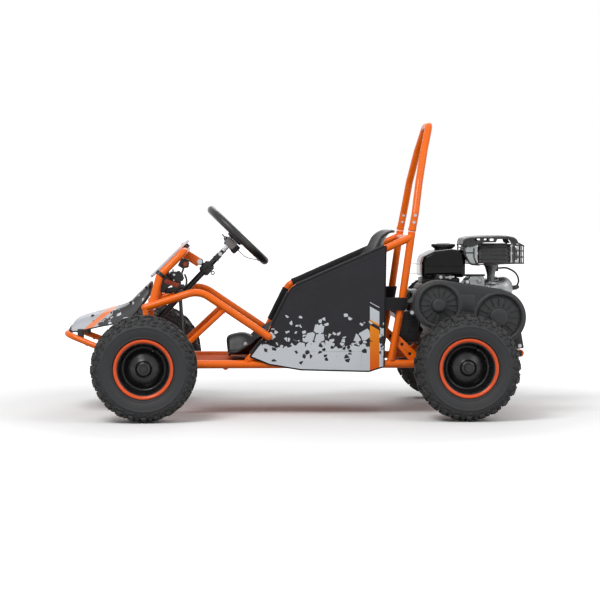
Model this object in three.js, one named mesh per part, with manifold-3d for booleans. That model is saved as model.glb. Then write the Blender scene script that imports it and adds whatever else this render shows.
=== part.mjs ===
// Off-road go kart in millimetres. Z is up, the nose points to -X and the driver's left is -Y.
// Every place is measured from the middle of the front axle line, on the ground.
import * as THREE from "three";
import { mergeVertices } from "three/addons/utils/BufferGeometryUtils.js";
import Module from "manifold-3d";

const wasm = await Module();
wasm.setup();

// Driving dimensions
const wheelbase = 996;
const tyreDiameter = 330;
const tyreWidth = 127;
const railSpacing = 410;
const railHeight = 163;
const deckHeight = 198;
const mainTube = 26;
const upperTube = 24;
const strutTube = 16;
const noseTube = 19;
const touchGap = 0.3;
const overrun = 2;

// Facets
const tubeSides = 8;
const bendSteps = 3;
const wheelSegments = 20;
const roundSegments = 16;
const arcSteps = 9;
const cordSides = 8;
const nutSides = 6;
const slimSides = 6;

// Distances across the kart: from the rails out to the wheels, and in to what they carry
const kingpinReach = 45;
const wheelReach = 61.5;
const chainInset = 55;
const jackshaftReach = 76;
const coverDepth = 58;
const coverClearance = 22.5;
const engineInset = 38;

// Places that many pieces share
const axleHeight = tyreDiameter / 2;
const railY = railSpacing / 2;
const chainY = -(railY - chainInset);
const frontTrack = railSpacing + 2 * (kingpinReach + wheelReach) + tyreWidth;
const rearTrack = 2 * (jackshaftReach + coverDepth + coverClearance - chainY) + tyreWidth;
const pi = Math.PI;
const leftSide = -1;
const rightSide = 1;
const bothSides = [leftSide, rightSide];
const sideNames = { [leftSide]: "left", [rightSide]: "right" };

// Paints and surfaces
function surface(color, roughness, metalness) {
  return new THREE.MeshStandardMaterial({ color, roughness, metalness });
}
const orangePaint = surface(0xff7326, 0.35, 0.1);
const rimGloss = surface(0x15151a, 0.25, 0.4);
const blackSteel = surface(0x1b1b1e, 0.4, 0.6);
const tyreRubber = surface(0x3c3e40, 0.9, 0);
const blackPlastic = surface(0x2c2d30, 0.55, 0);
const greyFabric = surface(0x37373c, 0.95, 0);
const fairingPlastic = surface(0xc8cdd2, 0.45, 0);
const plateWhite = surface(0xe4e6ea, 0.5, 0);
const bareSteel = surface(0xb8babd, 0.3, 1);
const castAlloy = surface(0x9fa2a4, 0.5, 0.9);
const tankGloss = surface(0x101012, 0.15, 0.2);
const softGrip = surface(0x19191b, 0.8, 0);

// A closed geometry as a solid that can be cut and joined
function solid(geometry) {
  const bare = geometry.index ? geometry.toNonIndexed() : geometry.clone();
  bare.deleteAttribute("normal");
  bare.deleteAttribute("uv");
  const merged = mergeVertices(bare);
  const triVerts = new Uint32Array(merged.index.array);
  const vertProperties = new Float32Array(merged.attributes.position.array);
  const made = new wasm.Manifold(new wasm.Mesh({ numProp: 3, vertProperties, triVerts }));
  if (made.volume() > 0) return made;
  for (let i = 0; i < triVerts.length; i += 3) {
    [triVerts[i + 1], triVerts[i + 2]] = [triVerts[i + 2], triVerts[i + 1]];
  }
  return new wasm.Manifold(new wasm.Mesh({ numProp: 3, vertProperties, triVerts }));
}

function union(pieces) {
  return pieces.reduce((whole, piece) => whole.add(piece));
}

function geometryOf(made) {
  const { vertProperties, triVerts } = made.getMesh();
  const geometry = new THREE.BufferGeometry();
  geometry.setAttribute("position", new THREE.BufferAttribute(new Float32Array(vertProperties), 3));
  geometry.setIndex(new THREE.BufferAttribute(new Uint32Array(triVerts), 1));
  geometry.computeVertexNormals();
  return geometry;
}

function named(name, made, material) {
  const mesh = new THREE.Mesh(geometryOf(made), material);
  mesh.name = name;
  return mesh;
}

// A box by its size and centre, turned about Y
function box(size, centre, turnY = 0) {
  const geometry = new THREE.BoxGeometry(...size);
  geometry.rotateY(turnY);
  geometry.translate(...centre);
  return solid(geometry);
}

// A box by its lowest and highest corners
function boxBetween(low, high) {
  const size = high.map((value, i) => value - low[i]);
  const centre = high.map((value, i) => (value + low[i]) / 2);
  return box(size, centre);
}

// A round bar or cone between two points
function rod(from, to, diameter, endDiameter = diameter, sides = tubeSides) {
  const start = new THREE.Vector3(...from);
  const end = new THREE.Vector3(...to);
  const geometry = new THREE.CylinderGeometry(
    endDiameter / 2, diameter / 2, start.distanceTo(end), sides,
  );
  const axis = end.clone().sub(start).normalize();
  const turn = new THREE.Quaternion().setFromUnitVectors(new THREE.Vector3(0, 1, 0), axis);
  const middle = start.add(end).multiplyScalar(0.5);
  geometry.applyQuaternion(turn);
  geometry.translate(middle.x, middle.y, middle.z);
  return solid(geometry);
}

// A round bar with finer sides, and a nut
function roundRod(from, to, diameter) {
  return rod(from, to, diameter, diameter, roundSegments);
}
function nutAlong(from, to, diameter) {
  return rod(from, to, diameter, diameter, nutSides);
}

// The cutter for a round hole: its flats, not its corners, keep the gap
function hole(from, to, diameter, sides = tubeSides) {
  const clear = (diameter + 2 * touchGap) / Math.cos(pi / sides);
  return rod(from, to, clear, clear, sides);
}

function ball(centre, diameter) {
  const geometry = new THREE.SphereGeometry(diameter / 2, tubeSides, Math.round(tubeSides / 2));
  geometry.rotateX(pi / 2);
  geometry.translate(...centre);
  return solid(geometry);
}

// A body turned about the Y axis from points of radius and height
function turned(profile, centre = [0, 0, 0], segments = roundSegments) {
  const points = profile.map(([radius, along]) => new THREE.Vector2(radius, along));
  const geometry = new THREE.LatheGeometry(points, segments);
  geometry.translate(...centre);
  return solid(geometry);
}

// The same with its flats, not its corners, on the given radii, and a flat facing down
function turnedOnFlats(profile, segments) {
  const spread = 1 / Math.cos(pi / segments);
  const points = profile.map(([radius, along]) => new THREE.Vector2(radius * spread, along));
  const geometry = new THREE.LatheGeometry(points, segments);
  geometry.rotateY(pi / segments);
  return solid(geometry);
}

// An outline in X and Z made into a plate that is centred on a Y place
function plate(outline, thickness, y, holes = [], bevel = 0) {
  const shape = new THREE.Shape(outline.map(([x, z]) => new THREE.Vector2(x, z)));
  holes.forEach((hole) => shape.holes.push(new THREE.Path(hole.map(([x, z]) => new THREE.Vector2(x, z)))));
  const geometry = new THREE.ExtrudeGeometry(shape, {
    depth: thickness - 2 * bevel,
    bevelEnabled: bevel > 0,
    bevelThickness: bevel,
    bevelSize: bevel,
    bevelOffset: -bevel,
    bevelSegments: 1,
  });
  geometry.rotateX(pi / 2);
  geometry.translate(0, y + thickness / 2 - bevel, 0);
  return solid(geometry);
}

// Straight runs joined by bends: each bend takes a few stations, a straight run none
class BentPath extends THREE.Curve {
  constructor(corners, bendRadius) {
    super();
    const points = corners.map((corner) => new THREE.Vector3(...corner));
    const heading = (i) => points[i + 1].clone().sub(points[i]).normalize();
    this.stations = [{ point: points[0], tangent: heading(0) }];
    for (let i = 1; i < points.length - 1; i += 1) {
      this.addBend(points[i], heading(i - 1), heading(i), bendRadius);
    }
    const last = points.length - 1;
    this.stations.push({ point: points[last], tangent: heading(last - 1) });
  }
  addBend(corner, arriving, leaving, bendRadius) {
    const angle = arriving.angleTo(leaving);
    const axis = arriving.clone().cross(leaving).normalize();
    const start = corner.clone().addScaledVector(arriving, -bendRadius * Math.tan(angle / 2));
    const centre = start.clone().addScaledVector(axis.clone().cross(arriving), bendRadius);
    for (let step = 0; step <= bendSteps; step += 1) {
      const tangent = arriving.clone().applyAxisAngle(axis, (angle * step) / bendSteps);
      const point = centre.clone().addScaledVector(axis.clone().cross(tangent), -bendRadius);
      this.stations.push({ point, tangent });
    }
  }
  station(share) {
    return this.stations[Math.round(share * (this.stations.length - 1))];
  }
  getPointAt(share) {
    return this.station(share).point.clone();
  }
  getTangentAt(share) {
    return this.station(share).tangent.clone();
  }
}

function tube(corners, diameter, bendRadius = 0) {
  const path = new BentPath(corners, bendRadius);
  const section = new THREE.Shape().absarc(0, 0, diameter / 2, 0, 2 * pi);
  const steps = path.stations.length - 1;
  const curveSegments = tubeSides / 2;
  return solid(new THREE.ExtrudeGeometry(section, { steps, extrudePath: path, curveSegments }));
}

// A round cord along a smooth route
function cord(route, diameter, steps) {
  const section = new THREE.Shape().absarc(0, 0, diameter / 2, 0, 2 * pi);
  const curveSegments = cordSides / 2;
  return solid(new THREE.ExtrudeGeometry(section, { steps, extrudePath: route, curveSegments }));
}

// A sheet of even thickness over a grid of points
function shell(rows, thickness) {
  const last = rows.length - 1;
  const edge = rows[0].length - 1;
  const at = (i, j) => rows[Math.min(Math.max(i, 0), last)][Math.min(Math.max(j, 0), edge)];
  const backRows = rows.map((row, i) => row.map((point, j) => {
    const along = at(i + 1, j).clone().sub(at(i - 1, j));
    const across = at(i, j + 1).clone().sub(at(i, j - 1));
    return point.clone().addScaledVector(along.cross(across).normalize(), thickness);
  }));
  const positions = [];
  const quad = (a, b, c, d) => [a, b, c, a, c, d].forEach((p) => positions.push(p.x, p.y, p.z));
  for (let i = 0; i < last; i += 1) {
    for (let j = 0; j < edge; j += 1) {
      quad(rows[i][j], rows[i][j + 1], rows[i + 1][j + 1], rows[i + 1][j]);
      quad(backRows[i][j], backRows[i + 1][j], backRows[i + 1][j + 1], backRows[i][j + 1]);
    }
    quad(rows[i][0], rows[i + 1][0], backRows[i + 1][0], backRows[i][0]);
    quad(rows[i][edge], backRows[i][edge], backRows[i + 1][edge], rows[i + 1][edge]);
  }
  for (let j = 0; j < edge; j += 1) {
    quad(rows[0][j], backRows[0][j], backRows[0][j + 1], rows[0][j + 1]);
    quad(rows[last][j], rows[last][j + 1], backRows[last][j + 1], backRows[last][j]);
  }
  const geometry = new THREE.BufferGeometry();
  geometry.setAttribute("position", new THREE.Float32BufferAttribute(positions, 3));
  return solid(geometry);
}

// The outline of a belt that is tight round two circles in X and Z, with its flats outside them
function roundTwo(first, second, firstRadius, secondRadius) {
  const heading = Math.atan2(second.z - first.z, second.x - first.x);
  const distance = Math.hypot(second.x - first.x, second.z - first.z);
  const lean = Math.acos((firstRadius - secondRadius) / distance);
  const outline = [];
  const arc = (centre, radius, from, to) => {
    const turn = (to - from) / arcSteps;
    const corner = radius / Math.cos(turn / 2);
    for (let step = 0; step <= arcSteps; step += 1) {
      const angle = from + turn * step;
      outline.push([centre.x + corner * Math.cos(angle), centre.z + corner * Math.sin(angle)]);
    }
  };
  arc(first, firstRadius, heading + lean, heading + 2 * pi - lean);
  arc(second, secondRadius, heading - lean, heading + lean);
  return outline;
}

// Front axle beam with its two kingpin brackets and the foot bearing of the steering column
const kingpin = { y: railY + kingpinReach, diameter: 12, headDiameter: 20, headHeight: 7 };
const bracket = { length: 34, wall: 5, bottom: 128, top: 312, reach: 22, armRoom: 8 };
const sleeve = { diameter: 28, bottom: 136, top: 303 };
const webY = kingpin.y - sleeve.diameter / 2 - bracket.wall - bracket.armRoom;

// Steering column: the wheel's middle, the lean of the column and places down its length
const steering = {
  x: 291, z: 569, lean: 43.7 * (pi / 180),
  columnDiameter: 19, columnTop: -62, pitmanPlace: -409, footPlace: -450, clampPlace: -148,
};
function onColumn(along, out = 0) {
  const x = steering.x + along * Math.sin(steering.lean) + out * Math.cos(steering.lean);
  const z = steering.z + along * Math.cos(steering.lean) - out * Math.sin(steering.lean);
  return { x, z };
}

const footBearing = { diameter: 32, length: 22, stem: 5, stemWidth: 26 };
function beamRod(grow = 0) {
  return rod([0, -webY, railHeight], [0, webY, railHeight], mainTube + 2 * grow);
}
function frontAxleBeam() {
  const low = onColumn(steering.footPlace - footBearing.length / 2);
  const high = onColumn(steering.footPlace + footBearing.length / 2);
  const foot = onColumn(steering.footPlace);
  const pieces = [beamRod()];
  pieces.push(boxBetween(
    [-mainTube / 2, -footBearing.stemWidth / 2, railHeight],
    [-mainTube / 2 + footBearing.stem, footBearing.stemWidth / 2, foot.z],
  ));
  pieces.push(roundRod([low.x, 0, low.z], [high.x, 0, high.z], footBearing.diameter));
  for (const side of bothSides) {
    const place = (y) => side * y;
    const inner = webY;
    const outer = kingpin.y + bracket.reach;
    const slab = (yA, yB, bottom, top) => boxBetween(
      [-bracket.length / 2, Math.min(place(yA), place(yB)), bottom],
      [bracket.length / 2, Math.max(place(yA), place(yB)), top],
    );
    pieces.push(slab(inner, inner + bracket.wall, bracket.bottom, bracket.top));
    pieces.push(slab(inner, outer, bracket.bottom, bracket.bottom + bracket.wall));
    pieces.push(slab(inner, outer, bracket.top - bracket.wall, bracket.top));
  }
  const pinHoles = bothSides.map((side) => hole(
    [0, side * kingpin.y, bracket.bottom - overrun],
    [0, side * kingpin.y, bracket.top + overrun],
    kingpin.diameter,
  ));
  return pinHoles.reduce((beam, pinHole) => beam.subtract(pinHole), union(pieces).subtract(columnHole()));
}
function columnHole() {
  const low = onColumn(steering.footPlace - footBearing.length);
  const high = onColumn(steering.columnTop);
  return hole([low.x, 0, low.z], [high.x, 0, high.z], steering.columnDiameter);
}

// Kingpin: a long painted bolt that also props the front end of the knee tube
function kingpinBolt(side) {
  const y = side * kingpin.y;
  const headTop = bracket.bottom - touchGap;
  const pin = rod([0, y, headTop], [0, y, knee.frontZ], kingpin.diameter);
  const head = nutAlong([0, y, headTop - kingpin.headHeight], [0, y, headTop], kingpin.headDiameter);
  const nutBottom = bracket.top + touchGap;
  const nut = nutAlong([0, y, nutBottom], [0, y, nutBottom + kingpin.headHeight], kingpin.headDiameter);
  return union([pin, head, nut]).subtract(kneeTubeOnly(side, touchGap));
}

// Lower frame: two long rails that kick up over the rear axle, joined by cross tubes
const rails = { kickStart: 860, kickEnd: 905, rearX: 1182, bend: 60, rearReach: 235 };
const floorTube = { diameter: 18, drop: 12, frontX: 250, rearX: 700, pedalX: 110 };
const lug = { height: 210, thickness: 4, length: 26, pinDiameter: 8 };
const pedals = { y: 70, hubWidth: 24 };
function railRun(side, grow = 0) {
  const y = side * railY;
  const corners = [
    [0, y, railHeight], [rails.kickStart, y, railHeight],
    [rails.kickEnd, y, deckHeight], [rails.rearX, y, deckHeight],
  ];
  return tube(corners, mainTube + 2 * grow, rails.bend);
}
function lowerFrame() {
  const pieces = bothSides.map((side) => railRun(side));
  const tubeZ = railHeight - floorTube.drop;
  for (const x of [floorTube.pedalX, floorTube.frontX, floorTube.rearX]) {
    pieces.push(rod([x, -railY, tubeZ], [x, railY, tubeZ], floorTube.diameter));
  }
  const rearEnds = bothSides.map((side) => [rails.rearX, side * rails.rearReach, deckHeight]);
  pieces.push(rod(...rearEnds, upperTube));
  for (const side of bothSides) {
    const outer = pedals.hubWidth / 2 + touchGap + lug.thickness;
    const middle = side * pedals.y;
    for (const face of bothSides) {
      const y = middle + face * (outer - lug.thickness / 2);
      pieces.push(box(
        [lug.length, lug.thickness, lug.height - tubeZ + lug.length / 2],
        [floorTube.pedalX, y, (lug.height + tubeZ + lug.length / 2) / 2],
      ));
    }
    pieces.push(rod(
      [floorTube.pedalX, middle - outer, lug.height], [floorTube.pedalX, middle + outer, lug.height],
      lug.pinDiameter,
    ));
  }
  return union(pieces).subtract(beamRod(touchGap));
}

// Nose tube: a U that rises from the beam to the tip of the nose, and is welded to the beam
const noseInset = 55;
const nose = { footX: -9, bendX: -19, tipX: -255, tipY: railY - noseInset, tipZ: 257, bend: 42 };
function noseTubePiece(grow = 0) {
  const corners = [
    [nose.footX, -railY, railHeight], [nose.bendX, -railY, railHeight], [nose.tipX, -nose.tipY, nose.tipZ],
    [nose.tipX, nose.tipY, nose.tipZ], [nose.bendX, railY, railHeight], [nose.footX, railY, railHeight],
  ];
  return tube(corners, noseTube + 2 * grow, nose.bend);
}

// Knee tubes: over the front wheels and down to the seat tubes, each with its strut
const kneeInset = { front: 2, peak: 12 };
const knee = {
  frontX: -2, frontY: kingpin.y - kneeInset.front, frontZ: 345,
  peakX: 167, peakY: kingpin.y - kneeInset.peak, peakZ: 399,
  rearX: 385, rearZ: 252, bend: 75, strutX: 251, strutFootX: 60,
};
const kneeRearY = railY + upperTube + touchGap;
function kneeTubeOnly(side, grow = 0) {
  const corners = [
    [knee.frontX, side * knee.frontY, knee.frontZ],
    [knee.peakX, side * knee.peakY, knee.peakZ],
    [knee.rearX, side * kneeRearY, knee.rearZ],
  ];
  const ends = [corners[0], corners[2]].map((corner) => ball(corner, upperTube + 2 * grow));
  return union([tube(corners, upperTube + 2 * grow, knee.bend), ...ends]);
}
function kneeTube(side) {
  const share = (knee.strutX - knee.peakX) / (knee.rearX - knee.peakX);
  const top = [
    knee.strutX,
    side * (knee.peakY + share * (kneeRearY - knee.peakY)),
    knee.peakZ + share * (knee.rearZ - knee.peakZ),
  ];
  const strut = rod([knee.strutFootX, side * railY, railHeight], top, strutTube);
  return kneeTubeOnly(side).add(strut.subtract(railRun(side, touchGap)));
}

// Dash hoop with the channel that holds the column clamp
const dashInset = { foot: 10, bend: 25 };
const dash = {
  footX: 18, footY: kingpin.y - dashInset.foot, footZ: 350,
  bendX: 44, bendY: kingpin.y - dashInset.bend, bendZ: 446,
  topX: 119, topY: railY, topZ: 520, bend: 28,
};
const channel = {
  length: 62, width: 50, depth: 28, wall: 2.5, x: 139, z: 496, lean: 32.5 * (pi / 180),
};
const clamp = { length: 36, width: 36, depth: 34, lugReach: 31, lugDiameter: 22, boltDiameter: 8 };
function clampLug(grow = 0) {
  const place = onColumn(steering.clampPlace, -clamp.lugReach);
  const half = channel.width / 2 - channel.wall - touchGap;
  return rod([place.x, -half, place.z], [place.x, half, place.z], clamp.lugDiameter + 2 * grow);
}
function clampBolt(grow = 0) {
  const place = onColumn(steering.clampPlace, -clamp.lugReach);
  const half = channel.width / 2 + clamp.boltDiameter / 2;
  return rod([place.x, -half, place.z], [place.x, half, place.z], clamp.boltDiameter + 2 * grow);
}
function dashHoopTube(grow = 0) {
  const half = (side) => [
    [dash.footX, side * dash.footY, dash.footZ],
    [dash.bendX, side * dash.bendY, dash.bendZ],
    [dash.topX, side * dash.topY, dash.topZ],
  ];
  const corners = [...half(leftSide), ...half(rightSide).reverse()];
  return tube(corners, upperTube + 2 * grow, dash.bend);
}
function dashHoop() {
  const trough = box([channel.length, channel.width, channel.depth], [channel.x, 0, channel.z], channel.lean);
  const lift = channel.wall + overrun;
  const hollowX = channel.x + (lift / 2) * Math.sin(channel.lean);
  const hollowZ = channel.z + (lift / 2) * Math.cos(channel.lean);
  const hollow = box(
    [channel.length + 2 * overrun, channel.width - 2 * channel.wall, channel.depth - channel.wall + overrun],
    [hollowX, 0, hollowZ], channel.lean,
  );
  const trimmed = bothSides.reduce(
    (hoop, side) => hoop.subtract(kneeTubeOnly(side, touchGap)), dashHoopTube(),
  );
  return trimmed.add(trough.subtract(hollow)).subtract(clampLug(touchGap)).subtract(clampBolt(touchGap));
}

// Column clamp: a split block round the column, with a lug between the channel's walls
function columnClamp() {
  const middle = onColumn(steering.clampPlace);
  const block = box([clamp.depth, clamp.width, clamp.length], [middle.x, 0, middle.z], steering.lean);
  const neckMiddle = onColumn(steering.clampPlace, -clamp.lugReach / 2);
  const neckSize = [clamp.lugReach, clamp.width / 2, clamp.lugDiameter / 2];
  const neck = box(neckSize, [neckMiddle.x, 0, neckMiddle.z], steering.lean);
  return union([block, neck, clampLug()]).subtract(columnHole()).add(clampBolt());
}

// Seat tubes: up from the rails, back over the side of the seat and into the uprights
const seatTubes = {
  footX: 318, lowX: 392, lowZ: 258, cornerX: 463, cornerZ: 400, rearX: 838, rearZ: 565, bend: 45,
  gussetLength: 82, gussetHeight: 26, gussetThickness: 3,
};
function seatTubeCorners() {
  return [
    [seatTubes.footX, railHeight], [seatTubes.lowX, seatTubes.lowZ],
    [seatTubes.cornerX, seatTubes.cornerZ], [seatTubes.rearX, seatTubes.rearZ],
  ];
}
function seatTubeRun(side, diameter) {
  const corners = seatTubeCorners().map(([x, z]) => [x, side * railY, z]);
  return tube(corners, diameter, seatTubes.bend);
}
function seatTube(side) {
  const foot = railHeight + mainTube / 2 + touchGap;
  const gusset = plate(
    [
      [seatTubes.footX, foot], [seatTubes.footX + seatTubes.gussetLength, foot],
      [seatTubes.footX + seatTubes.gussetHeight, foot + seatTubes.gussetHeight],
    ],
    seatTubes.gussetThickness, side * railY,
  );
  return seatTubeRun(side, upperTube).add(gusset)
    .subtract(railRun(side, touchGap))
    .subtract(uprightRun(side, touchGap))
    .subtract(shoulderRod(touchGap));
}

// Seat back frame: two uprights, the plate behind the seat and the tube at the shoulders
const hoopInset = 2;
const upright = {
  footX: 773, middleX: 806, middleZ: 345, topX: 840, topY: railY - hoopInset, topZ: 582, bend: 120,
  shoulderX: 835, shoulderZ: 560, shoulderDiameter: 22,
  plateZ: 300, plateHeight: 42, plateThickness: 4,
};
const gussetHoleShares = [0.35, 0.7];
const gussetInsetShare = 0.21;
const rearGusset = { footX: 862, topZ: 262, width: 32, thickness: 3, holeDiameter: 7 };
function uprightRun(side, grow = 0) {
  const corners = [
    [upright.footX, side * railY, railHeight],
    [upright.middleX, side * railY, upright.middleZ],
    [upright.topX, side * upright.topY, upright.topZ],
  ];
  return tube(corners, upperTube + 2 * grow, upright.bend);
}
function shoulderRod(grow = 0) {
  const from = [upright.shoulderX, -railY, upright.shoulderZ];
  const to = [upright.shoulderX, railY, upright.shoulderZ];
  return rod(from, to, upright.shoulderDiameter + 2 * grow);
}
function uprightX(z) {
  const share = (z - railHeight) / (upright.middleZ - railHeight);
  return upright.footX + share * (upright.middleX - upright.footX);
}
function seatBackFrame() {
  const pieces = [];
  const foot = railHeight + mainTube / 2 + touchGap;
  for (const side of bothSides) {
    pieces.push(uprightRun(side));
    const start = [uprightX(rearGusset.topZ), rearGusset.topZ];
    const end = [rearGusset.footX, foot];
    const lowerZ = rearGusset.topZ - rearGusset.width;
    const outline = [
      start, [end[0], end[1] + rearGusset.width / 2], end,
      [end[0] - rearGusset.width, end[1]], [uprightX(lowerZ), lowerZ],
    ];
    let gusset = plate(outline, rearGusset.thickness, side * railY);
    for (const share of gussetHoleShares) {
      const inset = rearGusset.width * gussetInsetShare;
      const x = start[0] + share * (end[0] - start[0]) - inset;
      const z = start[1] + share * (end[1] - start[1]) - inset;
      const near = side * railY - rearGusset.thickness - overrun;
      const far = side * railY + rearGusset.thickness + overrun;
      gusset = gusset.subtract(rod([x, near, z], [x, far, z], rearGusset.holeDiameter));
    }
    pieces.push(gusset);
  }
  const plateX = uprightX(upright.plateZ + upright.plateHeight / 2);
  pieces.push(box(
    [upright.plateThickness, railSpacing, upright.plateHeight],
    [plateX, 0, upright.plateZ + upright.plateHeight / 2],
  ));
  pieces.push(shoulderRod());
  return bothSides.reduce((frame, side) => frame.subtract(railRun(side, touchGap)), union(pieces));
}

// Roll hoop: a tall arch that leans back and narrows towards its top
const hoopShares = { low: 0.966, middle: 0.795, high: 0.537, top: 0.273 };
const hoop = {
  lowX: 851, lowZ: 640, midX: 867, midZ: 744, highX: 888, highZ: 845, topX: 909, topZ: 925, bend: 38,
};
function rollHoop() {
  const half = (side) => [
    [upright.topX, side * upright.topY, upright.topZ + touchGap],
    [hoop.lowX, side * hoopShares.low * railY, hoop.lowZ],
    [hoop.midX, side * hoopShares.middle * railY, hoop.midZ],
    [hoop.highX, side * hoopShares.high * railY, hoop.highZ],
    [hoop.topX, side * hoopShares.top * railY, hoop.topZ],
  ];
  const arch = tube([...half(leftSide), ...half(rightSide).reverse()], upperTube, hoop.bend);
  return bothSides.reduce((rest, side) => rest.subtract(uprightRun(side, touchGap)), arch);
}

// Floor pan on the floor tubes, between the rails
const pan = { frontX: 128, rearX: 762, thickness: 3, sideGap: 0.6 };
const panBottom = railHeight - floorTube.drop + floorTube.diameter / 2 + touchGap;
function floorPan() {
  const halfWidth = railY - mainTube / 2 - pan.sideGap;
  return boxBetween([pan.frontX, -halfWidth, panBottom], [pan.rearX, halfWidth, panBottom + pan.thickness]);
}

// Engine plate across the kicked-up rails, with slots for the chain and the brake disc
const enginePlateSize = {
  frontX: 866, rearX: 1140, thickness: 5, slotFrontX: 912, slotRearX: 1118, slotWidth: 26,
};
const discInset = 93;
const disc = {
  y: railY - discInset, diameter: 156, thickness: 4, hubDiameter: 56, hubThickness: 14, slotGap: 6,
};
const plateBottom = deckHeight + mainTube / 2 + touchGap;
const plateTop = plateBottom + enginePlateSize.thickness;
function enginePlate() {
  const slab = boxBetween(
    [enginePlateSize.frontX, -railY, plateBottom],
    [enginePlateSize.rearX, railY, plateTop],
  );
  const slot = boxBetween(
    [enginePlateSize.slotFrontX, chainY - enginePlateSize.slotWidth / 2, plateBottom - overrun],
    [enginePlateSize.slotRearX, chainY + enginePlateSize.slotWidth / 2, plateTop + overrun],
  );
  const discHalf = Math.sqrt((disc.diameter / 2) ** 2 - (plateBottom - axleHeight) ** 2) + disc.slotGap;
  const discSlot = boxBetween(
    [wheelbase - discHalf, disc.y - disc.thickness / 2 - disc.slotGap, plateBottom - overrun],
    [wheelbase + discHalf, disc.y + disc.thickness / 2 + disc.slotGap, plateTop + overrun],
  );
  return slab.subtract(slot).subtract(discSlot);
}

// Rear axle and its bearings, hung on the inner sides of the rails
const axle = { diameter: 25, nutDiameter: 28, nutLength: 12, shoulderDiameter: 34 };
const bearing = { diameter: 58, thickness: 15 };
function axleBearing(side) {
  const y = side * (railY - mainTube / 2 - touchGap - bearing.thickness / 2);
  const top = deckHeight + mainTube / 2 - overrun;
  const centre = [wheelbase, axleHeight];
  const ring = roundRod(
    [centre[0], y - bearing.thickness / 2, centre[1]], [centre[0], y + bearing.thickness / 2, centre[1]],
    bearing.diameter,
  );
  const hanger = box(
    [bearing.diameter, bearing.thickness, top - axleHeight], [wheelbase, y, (top + axleHeight) / 2],
  );
  const bore = hole(
    [centre[0], y - bearing.thickness, centre[1]], [centre[0], y + bearing.thickness, centre[1]],
    axle.diameter, roundSegments,
  );
  return union([ring, hanger]).subtract(bore);
}

// Wheels: a steel rim with a domed disc, and a tyre that sits between its flanges
const rim = {
  flangeRadius: 91, beadRadius: 78, wall: 3, flangeWidth: 5, halfWidth: 56, discPlace: 8,
  domeRadius: 50, domeRise: 12, hubRadius: 17, hubInner: -44, hubOuter: 34,
};
function rimProfile(boreRadius) {
  const r = rim;
  const flangeInner = r.halfWidth - r.flangeWidth;
  const barrelInner = r.beadRadius - r.wall;
  return [
    [boreRadius, r.hubInner], [r.hubRadius, r.hubInner], [r.hubRadius, r.discPlace - r.wall],
    [r.domeRadius - r.wall, r.discPlace + r.domeRise - 2 * r.wall], [barrelInner, r.discPlace - 3 * r.wall],
    [barrelInner, -flangeInner], [r.flangeRadius, -r.halfWidth], [r.flangeRadius, -flangeInner],
    [r.beadRadius, -flangeInner], [r.beadRadius, flangeInner], [r.flangeRadius, flangeInner],
    [r.flangeRadius, r.halfWidth], [barrelInner, flangeInner], [barrelInner, r.discPlace],
    [r.domeRadius + r.wall, r.discPlace + r.wall], [r.domeRadius - r.wall, r.discPlace + r.domeRise],
    [r.hubRadius, r.hubOuter], [boreRadius, r.hubOuter], [boreRadius, r.hubInner],
  ];
}
const tyre = { beadGap: 0.5, wall: 7, sideRadiusShare: 0.76, crownShare: 0.62 };
const tread = {
  pitches: 24, depth: 10, blockLength: 21, crossing: 4, bite: 3,
  crownShare: 0.71, footRadiusShare: 0.77, footShare: 0.945,
};
const carcassRadius = tyreDiameter / 2 - tread.depth;
function tyreProfile() {
  const outer = tyreDiameter / 2;
  const half = tyreWidth / 2;
  const beadInner = rim.beadRadius + touchGap;
  const beadHalf = rim.halfWidth - rim.flangeWidth - tyre.beadGap;
  const flangeTop = rim.flangeRadius + tyre.beadGap;
  const oneSide = [
    [beadInner, beadHalf - 2 * tyre.wall], [beadInner, beadHalf], [flangeTop, beadHalf],
    [outer * tyre.sideRadiusShare, half], [carcassRadius, half * tyre.crownShare],
  ];
  const inside = [[carcassRadius - tyre.wall, half * tyre.crownShare - tyre.wall]];
  const mirrored = (points) => points.map(([radius, along]) => [radius, -along]);
  return [
    ...oneSide, ...mirrored(oneSide).reverse(), ...mirrored(inside).reverse(), ...inside, oneSide[0],
  ];
}
// One tread block: it is made at the top of the wheel, on the outer or inner half, and turned to its place
const quarterTurn = 90;
function treadBlock(half, turn) {
  const outer = tyreDiameter / 2;
  const side = tyreWidth / 2;
  const buried = carcassRadius - tread.bite;
  const outline = [
    [-tread.crossing, outer], [side * tread.crownShare, outer],
    [side * tread.footShare, outer * tread.footRadiusShare],
    [side * tyre.crownShare - tread.bite, buried], [-tread.crossing, buried],
  ];
  const block = plate(outline, tread.blockLength, 0);
  return block.rotate([0, 0, half * quarterTurn]).rotate([0, turn, 0]);
}

// The tyre's carcass with two rows of blocks, the inner row half a pitch behind the outer one
function knobblyTyre() {
  const pitch = (4 * quarterTurn) / tread.pitches;
  const blocks = [];
  for (let i = 0; i < tread.pitches; i += 1) {
    blocks.push(treadBlock(1, i * pitch));
    blocks.push(treadBlock(-1, (i + 1 / 2) * pitch));
  }
  return union([turnedOnFlats(tyreProfile(), tread.pitches), ...blocks]);
}
function wheel(place, side, boreRadius) {
  const group = new THREE.Group();
  const corner = place + "_" + sideNames[side];
  const x = place === "front" ? 0 : wheelbase;
  const track = place === "front" ? frontTrack : rearTrack;
  group.position.set(x, (side * track) / 2, axleHeight);
  group.rotation.x = side === leftSide ? pi : 0;
  group.add(named("rim_" + corner, turned(rimProfile(boreRadius), [0, 0, 0], wheelSegments), rimGloss));
  group.add(named("tyre_" + corner, knobblyTyre(), tyreRubber));
  return group;
}

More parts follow.
